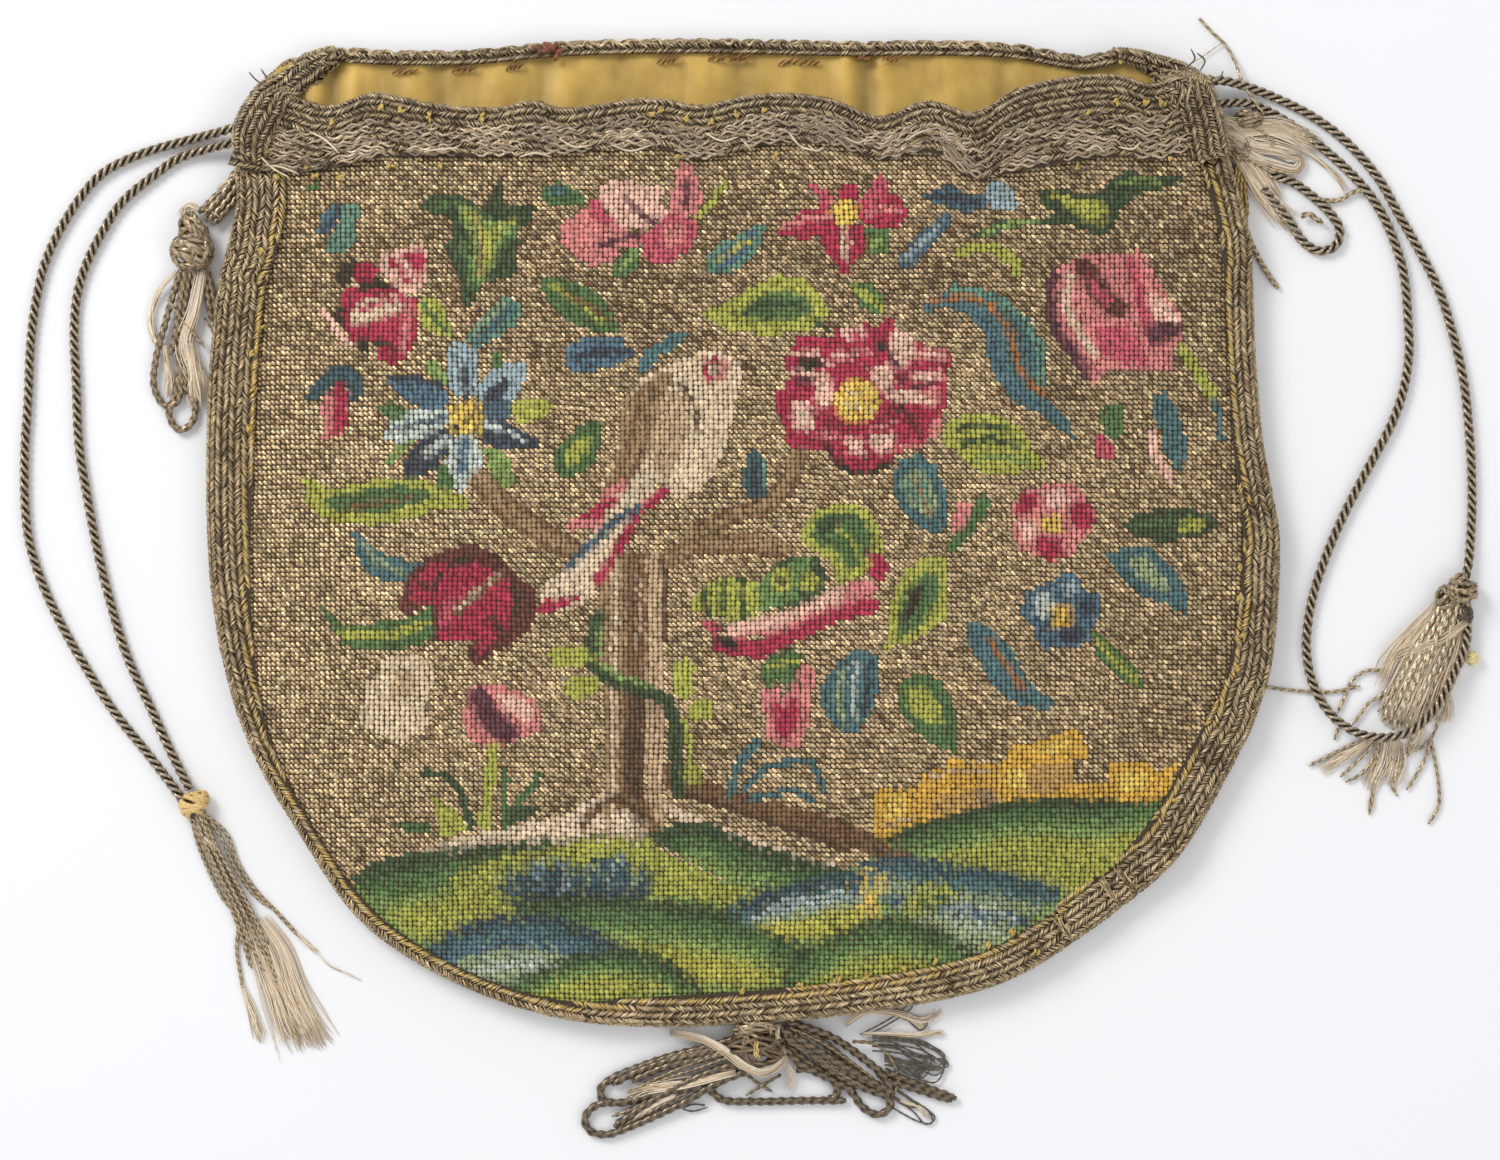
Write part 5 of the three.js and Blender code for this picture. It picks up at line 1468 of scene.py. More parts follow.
back_under = height_field("back_panel", below=True)
pitch = 1.6 * PITCH * UNIT
cell_x = np.arange(bag_middle[0] - 0.133, bag_middle[0] + 0.133, pitch)
cell_y = np.arange(bag_middle[1] - 0.122, bag_middle[1] + 0.122, pitch)
back_points = np.stack(np.meshgrid(cell_x, cell_y), axis=-1)
flat_points = back_points.reshape(-1, 2)
back_ring = np.vstack([seam[:, :2] + seam_inward * 1.2 * MM,
                       back_edge[::-1] - (0, 1.2 * MM)])[::6]
kept = inside(flat_points, back_ring).reshape(back_points.shape[:2])
whole = kept[:-1, :-1] & kept[1:, :-1] & kept[:-1, 1:] & kept[1:, 1:]
faces = grid_faces(*back_points.shape[:2])[whole.ravel()]
used, faces = np.unique(faces, return_inverse=True)
flat_points = flat_points[used]
mirrored = np.column_stack(to_chart(*flat_points.T))
mirrored[:, 0] = 2 * CHART_MIDDLE[0] - mirrored[:, 0]
back_z = back_under(*flat_points.T) + 0.5 * MM
back = plain_mesh("back_needlework", np.column_stack([flat_points, back_z]),
                  faces.reshape(-1, 4)[:, ::-1].tolist(), smooth=True)
finish_piece(back, back_cloth, yarn_colours(skeins_at(mirrored), *mirrored.T))
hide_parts("back_panel")
print("cells on the back:", len(faces.reshape(-1, 4)))

# %% [markdown]
# ## Lining
# Yellow silk, crumpled by the drawstrings. It is a pocket of two sheets that meet at the seam
# and the bottom. Only its back sheet shows, between the two rims, and the folds there are
# ridges across the cloth that stand up a little.

# %% Lining
lining_top = height_field("lining", soften=1)
lining_under = height_field("lining", below=True, soften=1)
folds = [(262, 9, 0.5), (318, 10, 0.9), (335, 7, -1.3), (353, 8, 0.9), (418, 10, 0.7),
         (441, 9, -0.6), (500, 12, 0.6), (545, 10, -0.6), (565, 12, 0.7), (620, 10, -0.4),
         (700, 14, 0.7), (738, 9, -0.6), (790, 12, 0.5), (845, 10, 0.9), (864, 8, -1.2),
         (884, 10, 0.8), (950, 14, 0.6), (1003, 10, -0.5), (1060, 12, 0.5), (1110, 9, -0.6)]


def crumpled(x, y):
    """Height of the silk's folds and small creases, in metres"""
    chart_x, chart_y = to_chart(x, y)
    height = np.zeros_like(chart_x)
    for middle, width, rise in folds:
        sway = middle + 4 * drift(chart_y, 0 * chart_y, 25, int(middle))
        height += rise * np.exp(-((chart_x - sway) / width) ** 2)
    height += 0.25 * drift(chart_x, chart_y, 9, 21) + 0.15 * drift(chart_x, chart_y, 4, 22)
    return height * MM * np.clip((260 - chart_y) / 120, 0.15, 1)


def fold_shade(x, y):
    """Painted shade in the silk's hollows and a painted highlight on its crests"""
    height = crumpled(x, y) / MM
    return np.clip(0.84 + 0.26 * height, 0.45, 1.12)


lining_grid = pocket_grid(back_edge, 2.2 * MM, columns=240, rows=76, drop=0.3 * MM)
x, y = lining_grid[..., 0], lining_grid[..., 1]
lower = lining_under(x, y) + 0.9 * MM + crumpled(x, y)
inner_grid = pocket_grid(front_edge, 2.2 * MM, columns=160, rows=50, drop=1.0 * MM)
fx, fy = inner_grid[..., 0], inner_grid[..., 1]
upper = np.maximum(lining_top(fx, fy), lining_under(fx, fy) + 1.2 * MM)
upper = np.minimum(upper, front_height(fx, fy) - 1.9 * MM)
points = np.vstack([np.dstack([lining_grid, lower]).reshape(-1, 3),
                    np.dstack([inner_grid, upper]).reshape(-1, 3)])
faces = np.vstack([grid_faces(*lining_grid.shape[:2]),
                   grid_faces(*inner_grid.shape[:2])[:, ::-1] + lining_grid.size // 2])
lining = plain_mesh("silk_lining", points, faces.tolist(), smooth=True)
silk = bpy.data.materials.new("lining_silk")
silk.use_nodes = True
tree = silk.node_tree
shader = tree.nodes["Principled BSDF"]
stain = tree.nodes.new("ShaderNodeTexNoise")
place = tree.nodes.new("ShaderNodeTexCoord")
tree.links.new(place.outputs["Object"], stain.inputs["Vector"])
stain.inputs["Scale"].default_value = 90
stain.inputs["Detail"].default_value = 4
tint = mix_colour(tree, "MIX", stain.outputs[0], (*linear((164, 126, 46)), 1),
                  (*linear((238, 198, 98)), 1))
# the painted fold shade that each point carries multiplies the silk's colour
tint = mix_colour(tree, "MULTIPLY", 1.0, tint, own_colour(tree))
fibres = place_group(tree, fine_fibres, Scale=5000.0, Contrast=0.25, Depth=0.25)
tree.links.new(tint, fibres.inputs["Colour"])
tree.links.new(fibres.outputs["Colour"], shader.inputs["Base Color"])
tree.links.new(fibres.outputs["Normal"], shader.inputs["Normal"])
shader.inputs["Roughness"].default_value = 0.45
shader.inputs["Sheen Weight"].default_value = 0.3
# painted shade: the front sheet, under the front panel, is a tenth darker than the back sheet
shade = np.r_[fold_shade(x, y).ravel(), 0.9 * fold_shade(fx, fy).ravel()]
finish_piece(lining, silk, np.repeat(shade[:, None], 3, axis=1))
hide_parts("lining")

# %% [markdown]
# ## Metal braid
# The braid is a narrow woven ribbon of metal thread. It is folded round the side seam, and
# another length binds the mouth. A dark ribbon, painted shade between the floats, follows the
# solids, and raised floats of thread are laid on it in columns, each column half a float behind its
# neighbour.

# %% Braid ribbons


def filled(values):
    """Fills missing heights along a line from their neighbours"""
    values = np.asarray(values, float)
    good = ~np.isnan(values)
    if not good.any():
        return values
    return np.interp(np.arange(len(values)), np.flatnonzero(good), values[good])


def soft_along(sections, times):
    """Softens a row of sections along the ribbon"""
    for _ in range(times):
        wide = np.concatenate([sections[:1], sections, sections[-1:]])
        sections = (wide[:-2] + 2 * wide[1:-1] + wide[2:]) / 4
    return sections


def spread_along(sections, places):
    """Gives a section that met nothing the shape of its nearest good neighbour"""
    good = np.flatnonzero(~np.isnan(sections).any(axis=(1, 2)))
    for k in np.flatnonzero(np.isnan(sections).any(axis=(1, 2))):
        near_one = good[np.abs(good - k).argmin()]
        sections[k] = sections[near_one]
        sections[k, :, :2] += np.asarray(places)[k, :2] - np.asarray(places)[near_one, :2]
    return sections


def even_section(points, count=19):
    """A section resampled at even distances, and its whole width"""
    along = np.r_[0, np.cumsum(np.linalg.norm(np.diff(points, axis=0), axis=1))]
    even = np.linspace(0, along[-1], count)
    return np.column_stack([np.interp(even, along, axis) for axis in points.T]), along[-1]


def folded_ribbon(node, places, inwards, reach_top, reach_under):
    """Sections of a ribbon folded over an edge, from its edge on top to its edge below"""
    tree = surface_of(node)
    sections, tops, unders = [], [], []
    for place, inward, high, low in zip(places, inwards, reach_top, reach_under):
        top_d = np.linspace(high, 0.35 * MM, 9)
        low_d = np.linspace(0.35 * MM, low, 9)
        top = np.array([height_at(tree, *(place + inward * d)) for d in top_d])
        missed = (top_d > 0.4 * high) & (top < np.nanmax(np.r_[top, 0]) - 3 * MM)
        top = filled(np.where(missed, np.nan, top))
        under = np.array([height_at(tree, *(place + inward * d), below=True) for d in low_d])
        under = filled(np.where((low_d > 2.5 * MM) & (under > 1.5 * MM), np.nan, under))
        fold = [(*(place - inward * 0.1 * MM), (top[-1] + under[0]) / 2)]
        points = np.array([(*(place + inward * d), z) for d, z in zip(top_d, top)] + fold
                          + [(*(place + inward * d), z) for d, z in zip(low_d, under)])
        section, _ = even_section(points)
        sections.append(section)
        tops.append(even_section(points[:10])[1])
        unders.append(even_section(points[9:])[1])
    sections = soft_along(spread_along(np.array(sections), places), 4)
    sections[..., 2] = np.maximum(sections[..., 2], 0.8 * MM)
    return sections, filled(tops), filled(unders)


def ribbon_mesh(name, sections, colour=(58, 45, 32)):
    """The ribbon under the floats, painted dark as the shade between them"""
    rows, columns, _ = sections.shape
    made = plain_mesh(name, sections.reshape(-1, 3), grid_faces(rows, columns).tolist(),
                      smooth=True)
    return finish_piece(made, braid_metal, np.full((rows * columns, 3), linear(colour)))


def outward_sign(sections, tops):
    """Whether the cross product of across and along points out of the ribbon's upper face"""
    column = 0 if tops.any() else 4
    across = sections[:-1, column + 1] - sections[:-1, column]
    along = sections[1:, column] - sections[:-1, column]
    return np.sign(np.cross(across, along)[:, 2].sum())


def on_ribbon(sections, step, tops, unders, s, t, lift):
    """Places at a distance s along and t across (from the fold, down is positive)"""
    i = np.clip(s / step, 0, len(sections) - 1.001)
    first = i.astype(int)
    rest = (i - first)[..., None]
    high = tops[first]
    share = np.clip((t + high) / (high + unders[first]), 0, 1)
    j = share * (sections.shape[1] - 1.001)
    column = j.astype(int)
    part = (j - column)[..., None]
    a, b = sections[first, column], sections[first, column + 1]
    c, d = sections[first + 1, column], sections[first + 1, column + 1]
    place = (a * (1 - part) + b * part) * (1 - rest) + (c * (1 - part) + d * part) * rest
    normal = np.cross(b - a, c - a)
    normal /= np.maximum(np.linalg.norm(normal, axis=-1, keepdims=True), 1e-12)
    return place + normal * lift[..., None] * outward_sign(sections, tops)


def floats(name, sections, step, tops, unders, column_gap, pitch, length, width, colour_of,
           slant):
    """Floats of thread in columns along a ribbon, leaning to and fro from column to column"""
    s_all, t_all, lean_all, long_all = [], [], [], []
    whole = len(sections) * step
    for k, t in enumerate(np.arange(-tops.max() + column_gap / 2, unders.max(), column_gap)):
        hidden = t > 4 * MM and tops.max() > 0
        gap = pitch * (1.9 if hidden else 1)
        s = np.arange(0.5 * gap * (1 + k % 2), whole - gap, gap)
        index = (s / step).astype(int)
        fits = (t > -tops[index] + 0.3 * MM) & (t < unders[index] - 0.3 * MM)
        s_all.append(s[fits])
        t_all.append(np.full(fits.sum(), t))
        lean_all.append(np.full(fits.sum(), slant if k % 2 else -slant))
        long_all.append(np.full(fits.sum(), length * (1.5 if hidden else 1)))
    s = np.concatenate(s_all) + chance.normal(0, 0.12 * MM, sum(map(len, s_all)))
    t = np.concatenate(t_all) + chance.normal(0, 0.07 * MM, len(s))
    lean = np.concatenate(lean_all) * chance.normal(1, 0.2, len(s))
    share = np.linspace(-0.5, 0.5, 3)
    long = (chance.normal(1, 0.08, len(s)) * np.concatenate(long_all))[:, None]
    s_line = s[:, None] + share * long * np.cos(lean)[:, None]
    t_line = t[:, None] + share * long * np.sin(lean)[:, None]
    lift = np.broadcast_to((0.62 - 1.5 * share ** 2) * MM, s_line.shape)
    lines = on_ribbon(sections, step, tops, unders, s_line, t_line, lift)
    lines[..., 2] = np.maximum(lines[..., 2], 0.4 * MM)
    edge = t + tops[(s / step).astype(int).clip(0, len(tops) - 1)]
    return threads(name, lines, width / 2, colour_of(s, t, edge), braid_metal, sides=3,
                   flat=0.8, taper=0.5)


BRAID_DULL = linear((98, 80, 56))
BRAID_BRIGHT = linear((212, 190, 152))


def tarnished(s, t, edge):
    """Dull grey-brown metal with some brighter threads, whatever their distance from the edge"""
    share = chance.beta(2, 2.2, len(s)) + 0.15 * drift(s / UNIT, t / UNIT, 30, 9)
    share = np.clip(share, 0, 1)[:, None]
    return BRAID_DULL * (1 - share) + BRAID_BRIGHT * share


def worn(s, t, edge):
    """The darker braid of the mouth"""
    return 0.80 * tarnished(s, t, edge)


def gilded_edge(s, t, edge):
    """The same, lighter towards the bag's foot, with yellower threads next to the seam"""
    foot = np.exp(-((s - s.max() / 2) / (75 * MM)) ** 2)
    colours = tarnished(s, t, edge) * (1 + 0.22 * foot)[:, None]
    yellow = (edge < 2.4 * MM) & (chance.random(len(s)) < 0.62)
    colours[yellow] = 0.35 * colours[yellow] + 0.65 * linear((198, 168, 92))
    return colours


# %% [markdown]
# ## Side braid
# One length of braid runs down one side, round the foot and up the other, folded over the seam
# so that it shows on both faces. Its sections are read off the solid every millimetre.

# %% Side braid
RIBBON_STEP = 1.0 * MM
side_rows = seam[::2]
side_sections, side_tops, side_unders = folded_ribbon(
    "side_braid", side_rows[:, :2], seam_inward[::2], side_rows[:, 2], side_rows[:, 2])
side_base = ribbon_mesh("side_braid_ribbon", side_sections)
side_floats = floats("side_braid_floats", side_sections, RIBBON_STEP, side_tops, side_unders,
                     1.7 * MM, 0.80 * MM, 2.4 * MM, 0.78 * MM, gilded_edge, 0.7)
for piece in (side_base, side_floats):
    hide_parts("side_braid")
print("side braid over the top in mm:", (side_tops / MM).min().round(1), "to",
      (side_tops / MM).max().round(1))

# %% [markdown]
# ## Mouth braids
# The front rim has a deep braid on top. That of the back rim lies under the bag, and only its
# edge turns over the rim onto the lining. At both ends of the mouth they bend down along the
# side seam, so each row of threads has its own way down.

# %% Mouth braids
BACK_TURN = 2.4 * MM     # how far the back braid reaches onto the lining
BACK_REACH = 13 * MM     # and how far down the back
left_way = seam[36, :2] - seam[0, :2]
right_way = seam[-37, :2] - seam[-1, :2]


def ways_down(line):
    """Which way a mouth braid goes down from its rim: along the seam at both ends"""
    along = np.r_[0, np.cumsum(np.linalg.norm(np.diff(line[:, :2], axis=0), axis=1))]
    left = np.clip(1 - along / (26 * MM), 0, 1)[:, None]
    right = np.clip(1 - (along[-1] - along) / (26 * MM), 0, 1)[:, None]
    ways = (np.array([0.0, -1.0]) * (1 - left - right) + left_way / np.linalg.norm(left_way) * left
            + right_way / np.linalg.norm(right_way) * right)
    return ways / np.linalg.norm(ways, axis=1, keepdims=True)


def lengthened(line, more=0.4 * MM):
    """A rim taken a little past its two ends, as the braid wraps the corners"""
    first = line[0].copy()
    last = line[-1].copy()
    first[:2] += (line[0, :2] - line[6, :2]) / np.linalg.norm(line[0, :2] - line[6, :2]) * more
    last[:2] += (line[-1, :2] - line[-7, :2]) / np.linalg.norm(line[-1, :2] - line[-7, :2]) * more
    return np.vstack([first, line, last])


mouth_rows = lengthened(front_edge[::2])
mouth_ways = ways_down(mouth_rows)
front_tree = surface_of("mouth_braid_front")
mouth_sections = []
for (x, y, reach), way in zip(mouth_rows, mouth_ways):
    depths = np.linspace(0.3 * MM, max(reach, 3 * MM), 18)
    top = np.array([height_at(front_tree, x + way[0] * d, y + way[1] * d) for d in depths])
    top = filled(top)
    points = np.array([(x + way[0] * 0.9 * MM, y + way[1] * 0.9 * MM, top[0] - 1.6 * MM),
                       (x, y, top[0] - 0.9 * MM)]
                      + [(x + way[0] * d, y + way[1] * d, z) for d, z in zip(depths, top)])
    mouth_sections.append(even_section(points)[0])
mouth_sections = soft_along(spread_along(np.array(mouth_sections), mouth_rows), 3)
mouth_widths = np.linalg.norm(np.diff(mouth_sections, axis=1), axis=2).sum(axis=1)
no_top = np.zeros(len(mouth_widths))
mouth_base = ribbon_mesh("mouth_braid_ribbon", mouth_sections)
back_rows = lengthened(back_edge[::2])
back_sections, back_tops, back_unders = folded_ribbon(
    "mouth_braid_back", back_rows, ways_down(back_rows),
    np.full(len(back_rows), BACK_TURN), np.full(len(back_rows), BACK_REACH))
back_base = ribbon_mesh("back_braid_ribbon", back_sections)
back_floats = floats("back_braid_floats", back_sections, RIBBON_STEP, back_tops, back_unders,
                     1.7 * MM, 0.9 * MM, 2.4 * MM, 0.8 * MM, worn, 0.7)
mouth_floats = floats("mouth_braid_floats", mouth_sections, RIBBON_STEP, no_top, mouth_widths,
                      1.7 * MM, 0.82 * MM, 2.3 * MM, 0.76 * MM, worn, 0.75)

# %% [markdown]
# The lower half of the front braid is worn, and its threads have come loose and wander. They
# could be one tangled texture, but single wavy threads give the real shadows between them.

# %% Sinuous threads in the lower half of the front mouth braid
lines, shades = [], []
for k in range(12):
    for start in np.arange(chance.uniform(0, 9) * MM, len(mouth_sections) * RIBBON_STEP - 16 * MM,
                           17 * MM):
        s = start + np.linspace(0, 13, 14) * MM
        index = np.clip((s / RIBBON_STEP).astype(int), 0, len(mouth_widths) - 1)
        middle = mouth_widths[index] * (0.50 + 0.042 * k)
        wave = 0.5 * MM * np.sin(2 * np.pi * s / (4.6 * MM) + chance.uniform(0, 6))
        lift = (0.55 + 0.3 * np.cos(2 * np.pi * s / (4 * MM) + k)) * MM
        lines.append(on_ribbon(mouth_sections, RIBBON_STEP, no_top, mouth_widths, s,
                               middle + wave, lift))
        shades.append(chance.beta(2, 2))
shades = np.array(shades)[:, None]
sinuous = threads("mouth_braid_waves", np.array(lines), 0.42 * MM,
                  linear((92, 76, 60)) * (1 - shades) + linear((190, 170, 145)) * shades,
                  braid_metal, flat=0.7, taper=0.6)

# %% [markdown]
# At both corners the braid is turned over the ends of the mouth, so a short wide piece of it
# closes each corner. Its two edges are lines on the chart, and it lies on whatever is below.

# %% Corners of the mouth
MISSED_HEIGHT = 6 * MM    # where a line of sight meets no solid
mouth_nodes = [surface_of(node) for node in ("mouth_braid_front", "mouth_braid_back", "lining",
                                             "front_panel", "side_braid", "back_panel")]


def highest(x, y):
    """Height of the uppermost of the solids at a place"""
    return max((z for z in (height_at(tree, x, y) for tree in mouth_nodes) if not np.isnan(z)),
               default=np.nan)


def on_top(chart_points, lift):
    """Chart points laid on the uppermost solid, along the camera's line of sight"""
    target = from_chart(chart_points)
    place = target.copy()
    for _ in range(3):
        z = filled([highest(x, y) for x, y in place])
        z = np.where(np.isnan(z), MISSED_HEIGHT, z)
        place = on_sight_line(target, z)
    return np.column_stack([place, z + lift])


def corner_roll(name, upper, lower, rise):
    """A piece of braid between two chart lines, lying on the solids"""
    first, last = (spline(on_top(dots(text), 0)[:, :2], 0.4 * MM) for text in (upper, lower))
    count = int(line_length(first) / RIBBON_STEP)
    first, last = (line[np.linspace(0, len(line) - 1, count).astype(int)]
                   for line in (first, last))
    share = np.linspace(0, 1, 15)
    sections = []
    for a, b in zip(first, last):
        flat_points = a + share[:, None] * (b - a)
        z = filled([highest(x, y) for x, y in flat_points])
        z = z + (1.3 + rise * np.sin(share * np.pi)) * MM
        z[0] -= 1.4 * MM
        z[-1] -= 1.4 * MM
        sections.append(even_section(np.column_stack([flat_points, z]))[0])
    sections = soft_along(spread_along(np.array(sections), first), 5)
    widths = np.linalg.norm(np.diff(sections, axis=1), axis=2).sum(axis=1)
    base = ribbon_mesh(name + "_ribbon", sections)
    over = floats(name + "_floats", sections, RIBBON_STEP, 0 * widths, widths, 1.75 * MM,
                  0.85 * MM, 2.4 * MM, 0.8 * MM, worn, 0.75)
    return base, over


left_corner = corner_roll(
    "left_corner_braid", "236,150 236,128 246,107 255,94 264,81 277,70 292,62 306,55 320,50 "
    "338,47", "262,172 268,150 276,128 285,110 294,99 304,92 314,86 323,78 331,69 342,61", 1.6)
right_corner = corner_roll(
    "right_corner_braid", "1110,48 1134,49 1156,54 1178,58 1197,66 1209,82 1217,102 1224,127 "
    "1231,158", "1120,60 1136,66 1150,75 1160,85 1168,95 1176,104 1183,118 1190,140 1197,168", 1.6)
for piece in (*left_corner, *right_corner):
    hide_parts("mouth_braid_front")

# %% [markdown]
# ## Loose thread on the braid and lining
# The back rim is bound in small loops of metal thread. Each is a wavy line along the braid that
# is folded over the rim, and none goes below the floor that the bag lies on.

# %% Loops of the back rim
FLOOR_CLEAR = 0.55 * MM
rim_lines = []
for k in range(5):
    for start in np.arange(chance.uniform(0, 9) * MM, len(back_sections) * RIBBON_STEP - 18 * MM,
                           15 * MM):
        s = start + np.linspace(0, 17 * MM, 26)
        t = (-1.3 + 0.7 * k) * MM + 0.8 * MM * np.sin(2 * np.pi * s / (5.2 * MM)
                                                      + chance.uniform(0, 6))
        lift = (0.9 + 0.5 * np.cos(2 * np.pi * s / (6.1 * MM) + k)) * MM
        rim_lines.append(on_ribbon(back_sections, RIBBON_STEP, back_tops, back_unders, s, t,
                                   lift))
rim_lines = np.array(rim_lines)
rim_lines[..., 2] = np.maximum(rim_lines[..., 2], FLOOR_CLEAR)
rim_colours = tarnished(np.arange(len(rim_lines)) * 6 * MM, np.zeros(len(rim_lines)), None)
rim_loops = threads("back_rim_loops", rim_lines, 0.5 * MM, 0.8 * rim_colours, braid_metal,
                    flat=0.7)
print("strands in the loops of the back rim:", len(rim_lines))

# %% [markdown]
# Specks of the yellow silk core show where the metal has worn off the braid. Each is four short
# threads that lie on the braid and arch a little.

# %% Tufts of yellow silk
yellow_places = dots(
    "381,108 402,111 429,119 482,119 333,123 262,149 277,178 309,167 316,177 339,178 389,166 "
    "442,167 651,115 660,112 687,119 711,123 736,114 763,112 777,156 678,156 1116,102 1145,104 "
    "1162,104 1198,115 1088,113 1170,159 1077,168 1173,72 1121,61 1195,91 1204,88 1193,79 "
    "268,120 266,152 277,177 260,329 252,353 249,429 255,390 262,250 1240,568 1240,599 "
    "1241,636 1237,669 742,990 800,984 838,979 866,975 905,968 935,962 986,944 1012,932 "
    "1175,800 1036,952")
tuft_lines, tuft_colours = [], []
for place in yellow_places:
    for _ in range(4):
        way = np.radians(chance.normal(65, 30))
        reach = chance.uniform(3.5, 6.5) * np.array([np.cos(way), -np.sin(way)])
        middle = place + chance.normal(0, 1.4, 2)
        share = np.linspace(-0.5, 0.5, 4)
        tuft_line = on_top(middle + share[:, None] * reach, 0)
        tuft_line[:, 2] += (1.6 - 3.2 * share ** 2) * MM
        tuft_lines.append(tuft_line)
        tuft_colours.append(linear((196, 166, 84)) * chance.uniform(0.75, 1.15))
yellow_tufts = threads("yellow_tufts", np.array(tuft_lines), 0.42 * MM,
                       np.array(tuft_colours), silk_thread)

# %% [markdown]
# A few ends of thread have come out of the braid. They are drawn on the chart one by one,
# about where they show on the real bag, and then laid on the solids.

# %% Loose threads on the braid


def lying_threads(name, rows, colour, radius, lift):
    """Loose ends drawn on the chart, each lying on the solids"""
    lines = []
    for row in rows.split(";"):
        route = spline(dots(row), 1.0)
        route = route[np.linspace(0, len(route) - 1, 9).astype(int)]
        lines.append(on_top(route, lift))
    shade = chance.uniform(0.8, 1.1, (len(lines), 1))
    return threads(name, np.array(lines), radius, linear(colour) * shade, silk_thread,
                   taper=0.5)


pale_ends = lying_threads(
    "pale_ends", "311,133 325,140 340,154;427,152 443,150 459,149;789,134 800,147 815,152;"
    "808,146 816,152 824,148;744,143 748,147 751,152;266,166 282,168 300,175;"
    "262,158 275,170 290,178;705,134 722,142 738,138;612,146 630,152 652,146;"
    "1118,148 1132,150 1140,143;1085,152 1096,147 1104,154;905,142 918,134 930,130;"
    "845,138 858,144 868,138;560,140 575,148 592,146;520,158 536,154 552,158",
    (216, 198, 168), 0.32 * MM, 2.4 * MM)
dark_ends = lying_threads(
    "dark_ends", "250,73 256,80 264,86;290,60 296,64 298,69;262,70 268,78 276,80;"
    "1199,72 1204,62 1196,54;1186,68 1194,60 1190,50;1210,84 1219,80 1222,72;"
    "1065,168 1082,172 1100,166;420,168 436,172 452,166;296,160 312,166 330,160",
    (84, 70, 52), 0.28 * MM, 2.2 * MM)

# %% [markdown]
# Brown running stitches hold the lining to the back rim, in groups of four slanted threads.
# Among them a rust-brown spot on the rim is made as a wad of thread.

# %% Running stitches in the lining
stitch_lines = []
for x, y, wide in ((392, 70, 24), (452, 69, 22), (506, 67, 16), (657, 61, 20), (708, 58, 18),
                   (730, 58, 18), (778, 62, 20), (800, 62, 18), (857, 58, 12), (882, 58, 18)):
    for k in range(4):
        left = np.array([x + wide * k / 4.0, y + chance.uniform(2, 5)])
        right = left + np.array([wide * 0.38, -chance.uniform(5, 8)])
        share = np.linspace(0, 1, 4)[:, None]
        stitch_line = on_top(left + share * (right - left), 0)
        stitch_line[:, 2] += np.array([0.2, 1.3, 1.3, 0.2]) * MM
        stitch_lines.append(stitch_line)
lining_stitches = threads("lining_stitches", np.array(stitch_lines), 0.36 * MM,
                          np.tile(linear((128, 84, 40)), (len(stitch_lines), 1)), silk_thread)
knot_lines = []
for k in range(14):
    middle = np.array([548, 51]) + chance.normal(0, (7.0, 2.2))
    way = chance.uniform(0, np.pi)
    share = np.linspace(-0.5, 0.5, 5)
    reach = 13 * np.array([np.cos(way), 0.55 * np.sin(way)])
    knot_line = on_top(middle + share[:, None] * reach, 0)
    knot_line[:, 2] += (1.9 - 3.6 * share ** 2) * MM
    knot_lines.append(knot_line)
rim_knot = threads("brown_rim_knot", np.array(knot_lines), 0.75 * MM,
                   linear((122, 70, 44)) * chance.uniform(0.75, 1.2, (14, 1)), silk_thread)
for piece in (rim_loops, rim_knot):
    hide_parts("mouth_braid_back")
for piece in (yellow_tufts, pale_ends, dark_ends):
    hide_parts("mouth_braid_front")
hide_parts("lining")
for piece in (mouth_base, mouth_floats, sinuous):
    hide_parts("mouth_braid_front")
for piece in (back_base, back_floats):
    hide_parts("mouth_braid_back")

# %% [markdown]
# ## Tassels
# The tassels are not cut fringe but what is left of the cords: striped strands of metal
# thread, skeins of peach silk that has lost its metal, and knots. Strands are tubes whose two
# colours wind round them, and silk is many fine fibres that follow one route loosely.

# %% Strands and locks
STRAND_SIDES = 6
RING_LAY = 1.6    # mm in which a stripe goes once round a knot's strand


def carried_frames(centre):
    """Two crossways arrows, carried along a line without twisting"""
    way = np.gradient(centre, axis=0)
    way /= np.maximum(np.linalg.norm(way, axis=1, keepdims=True), 1e-12)
    first = np.zeros_like(way)
    arrow = np.cross(way[0], (0.0, 0.0, 1.0))
    if np.linalg.norm(arrow) < 0.1:
        arrow = np.array([1.0, 0.0, 0.0])
    for k, direction in enumerate(way):
        arrow = arrow - direction * (arrow @ direction)
        arrow /= np.linalg.norm(arrow)
        first[k] = arrow
    return first, np.cross(way, first)


def striped_tube(centre, along, radius, lay, ridge, noise, dark, light):
    """A tube whose two colours wind round it, as painted shade in the groove and a painted
    highlight on the ridge: points, faces and colours. along and lay are in mm, radius in
    metres, and ridge is how far the lighter stripe stands out"""
    first, second = carried_frames(centre)
    points, faces, colours = [], [], []
    for n in range(STRAND_SIDES):
        angle = 2 * np.pi * n / STRAND_SIDES
        wind = np.sin(2 * np.pi * along / lay + 2 * angle)
        around = first * np.cos(angle) + second * np.sin(angle)
        points.append(centre + around * (radius * (1 + ridge * wind))[:, None])
        # painted light: the stripe that stands out is lighter and the groove between is darker
        share = np.clip(0.5 + 0.5 * wind + chance.normal(0, noise, len(along)), 0, 1)[:, None]
        colours.append(linear(dark) * (1 - share) + linear(light) * share)
        here, there = n * len(centre), (n + 1) % STRAND_SIDES * len(centre)
        faces.extend((here + k, here + k + 1, there + k + 1, there + k)
                     for k in range(len(centre) - 1))
    return np.vstack(points), faces, np.vstack(colours)


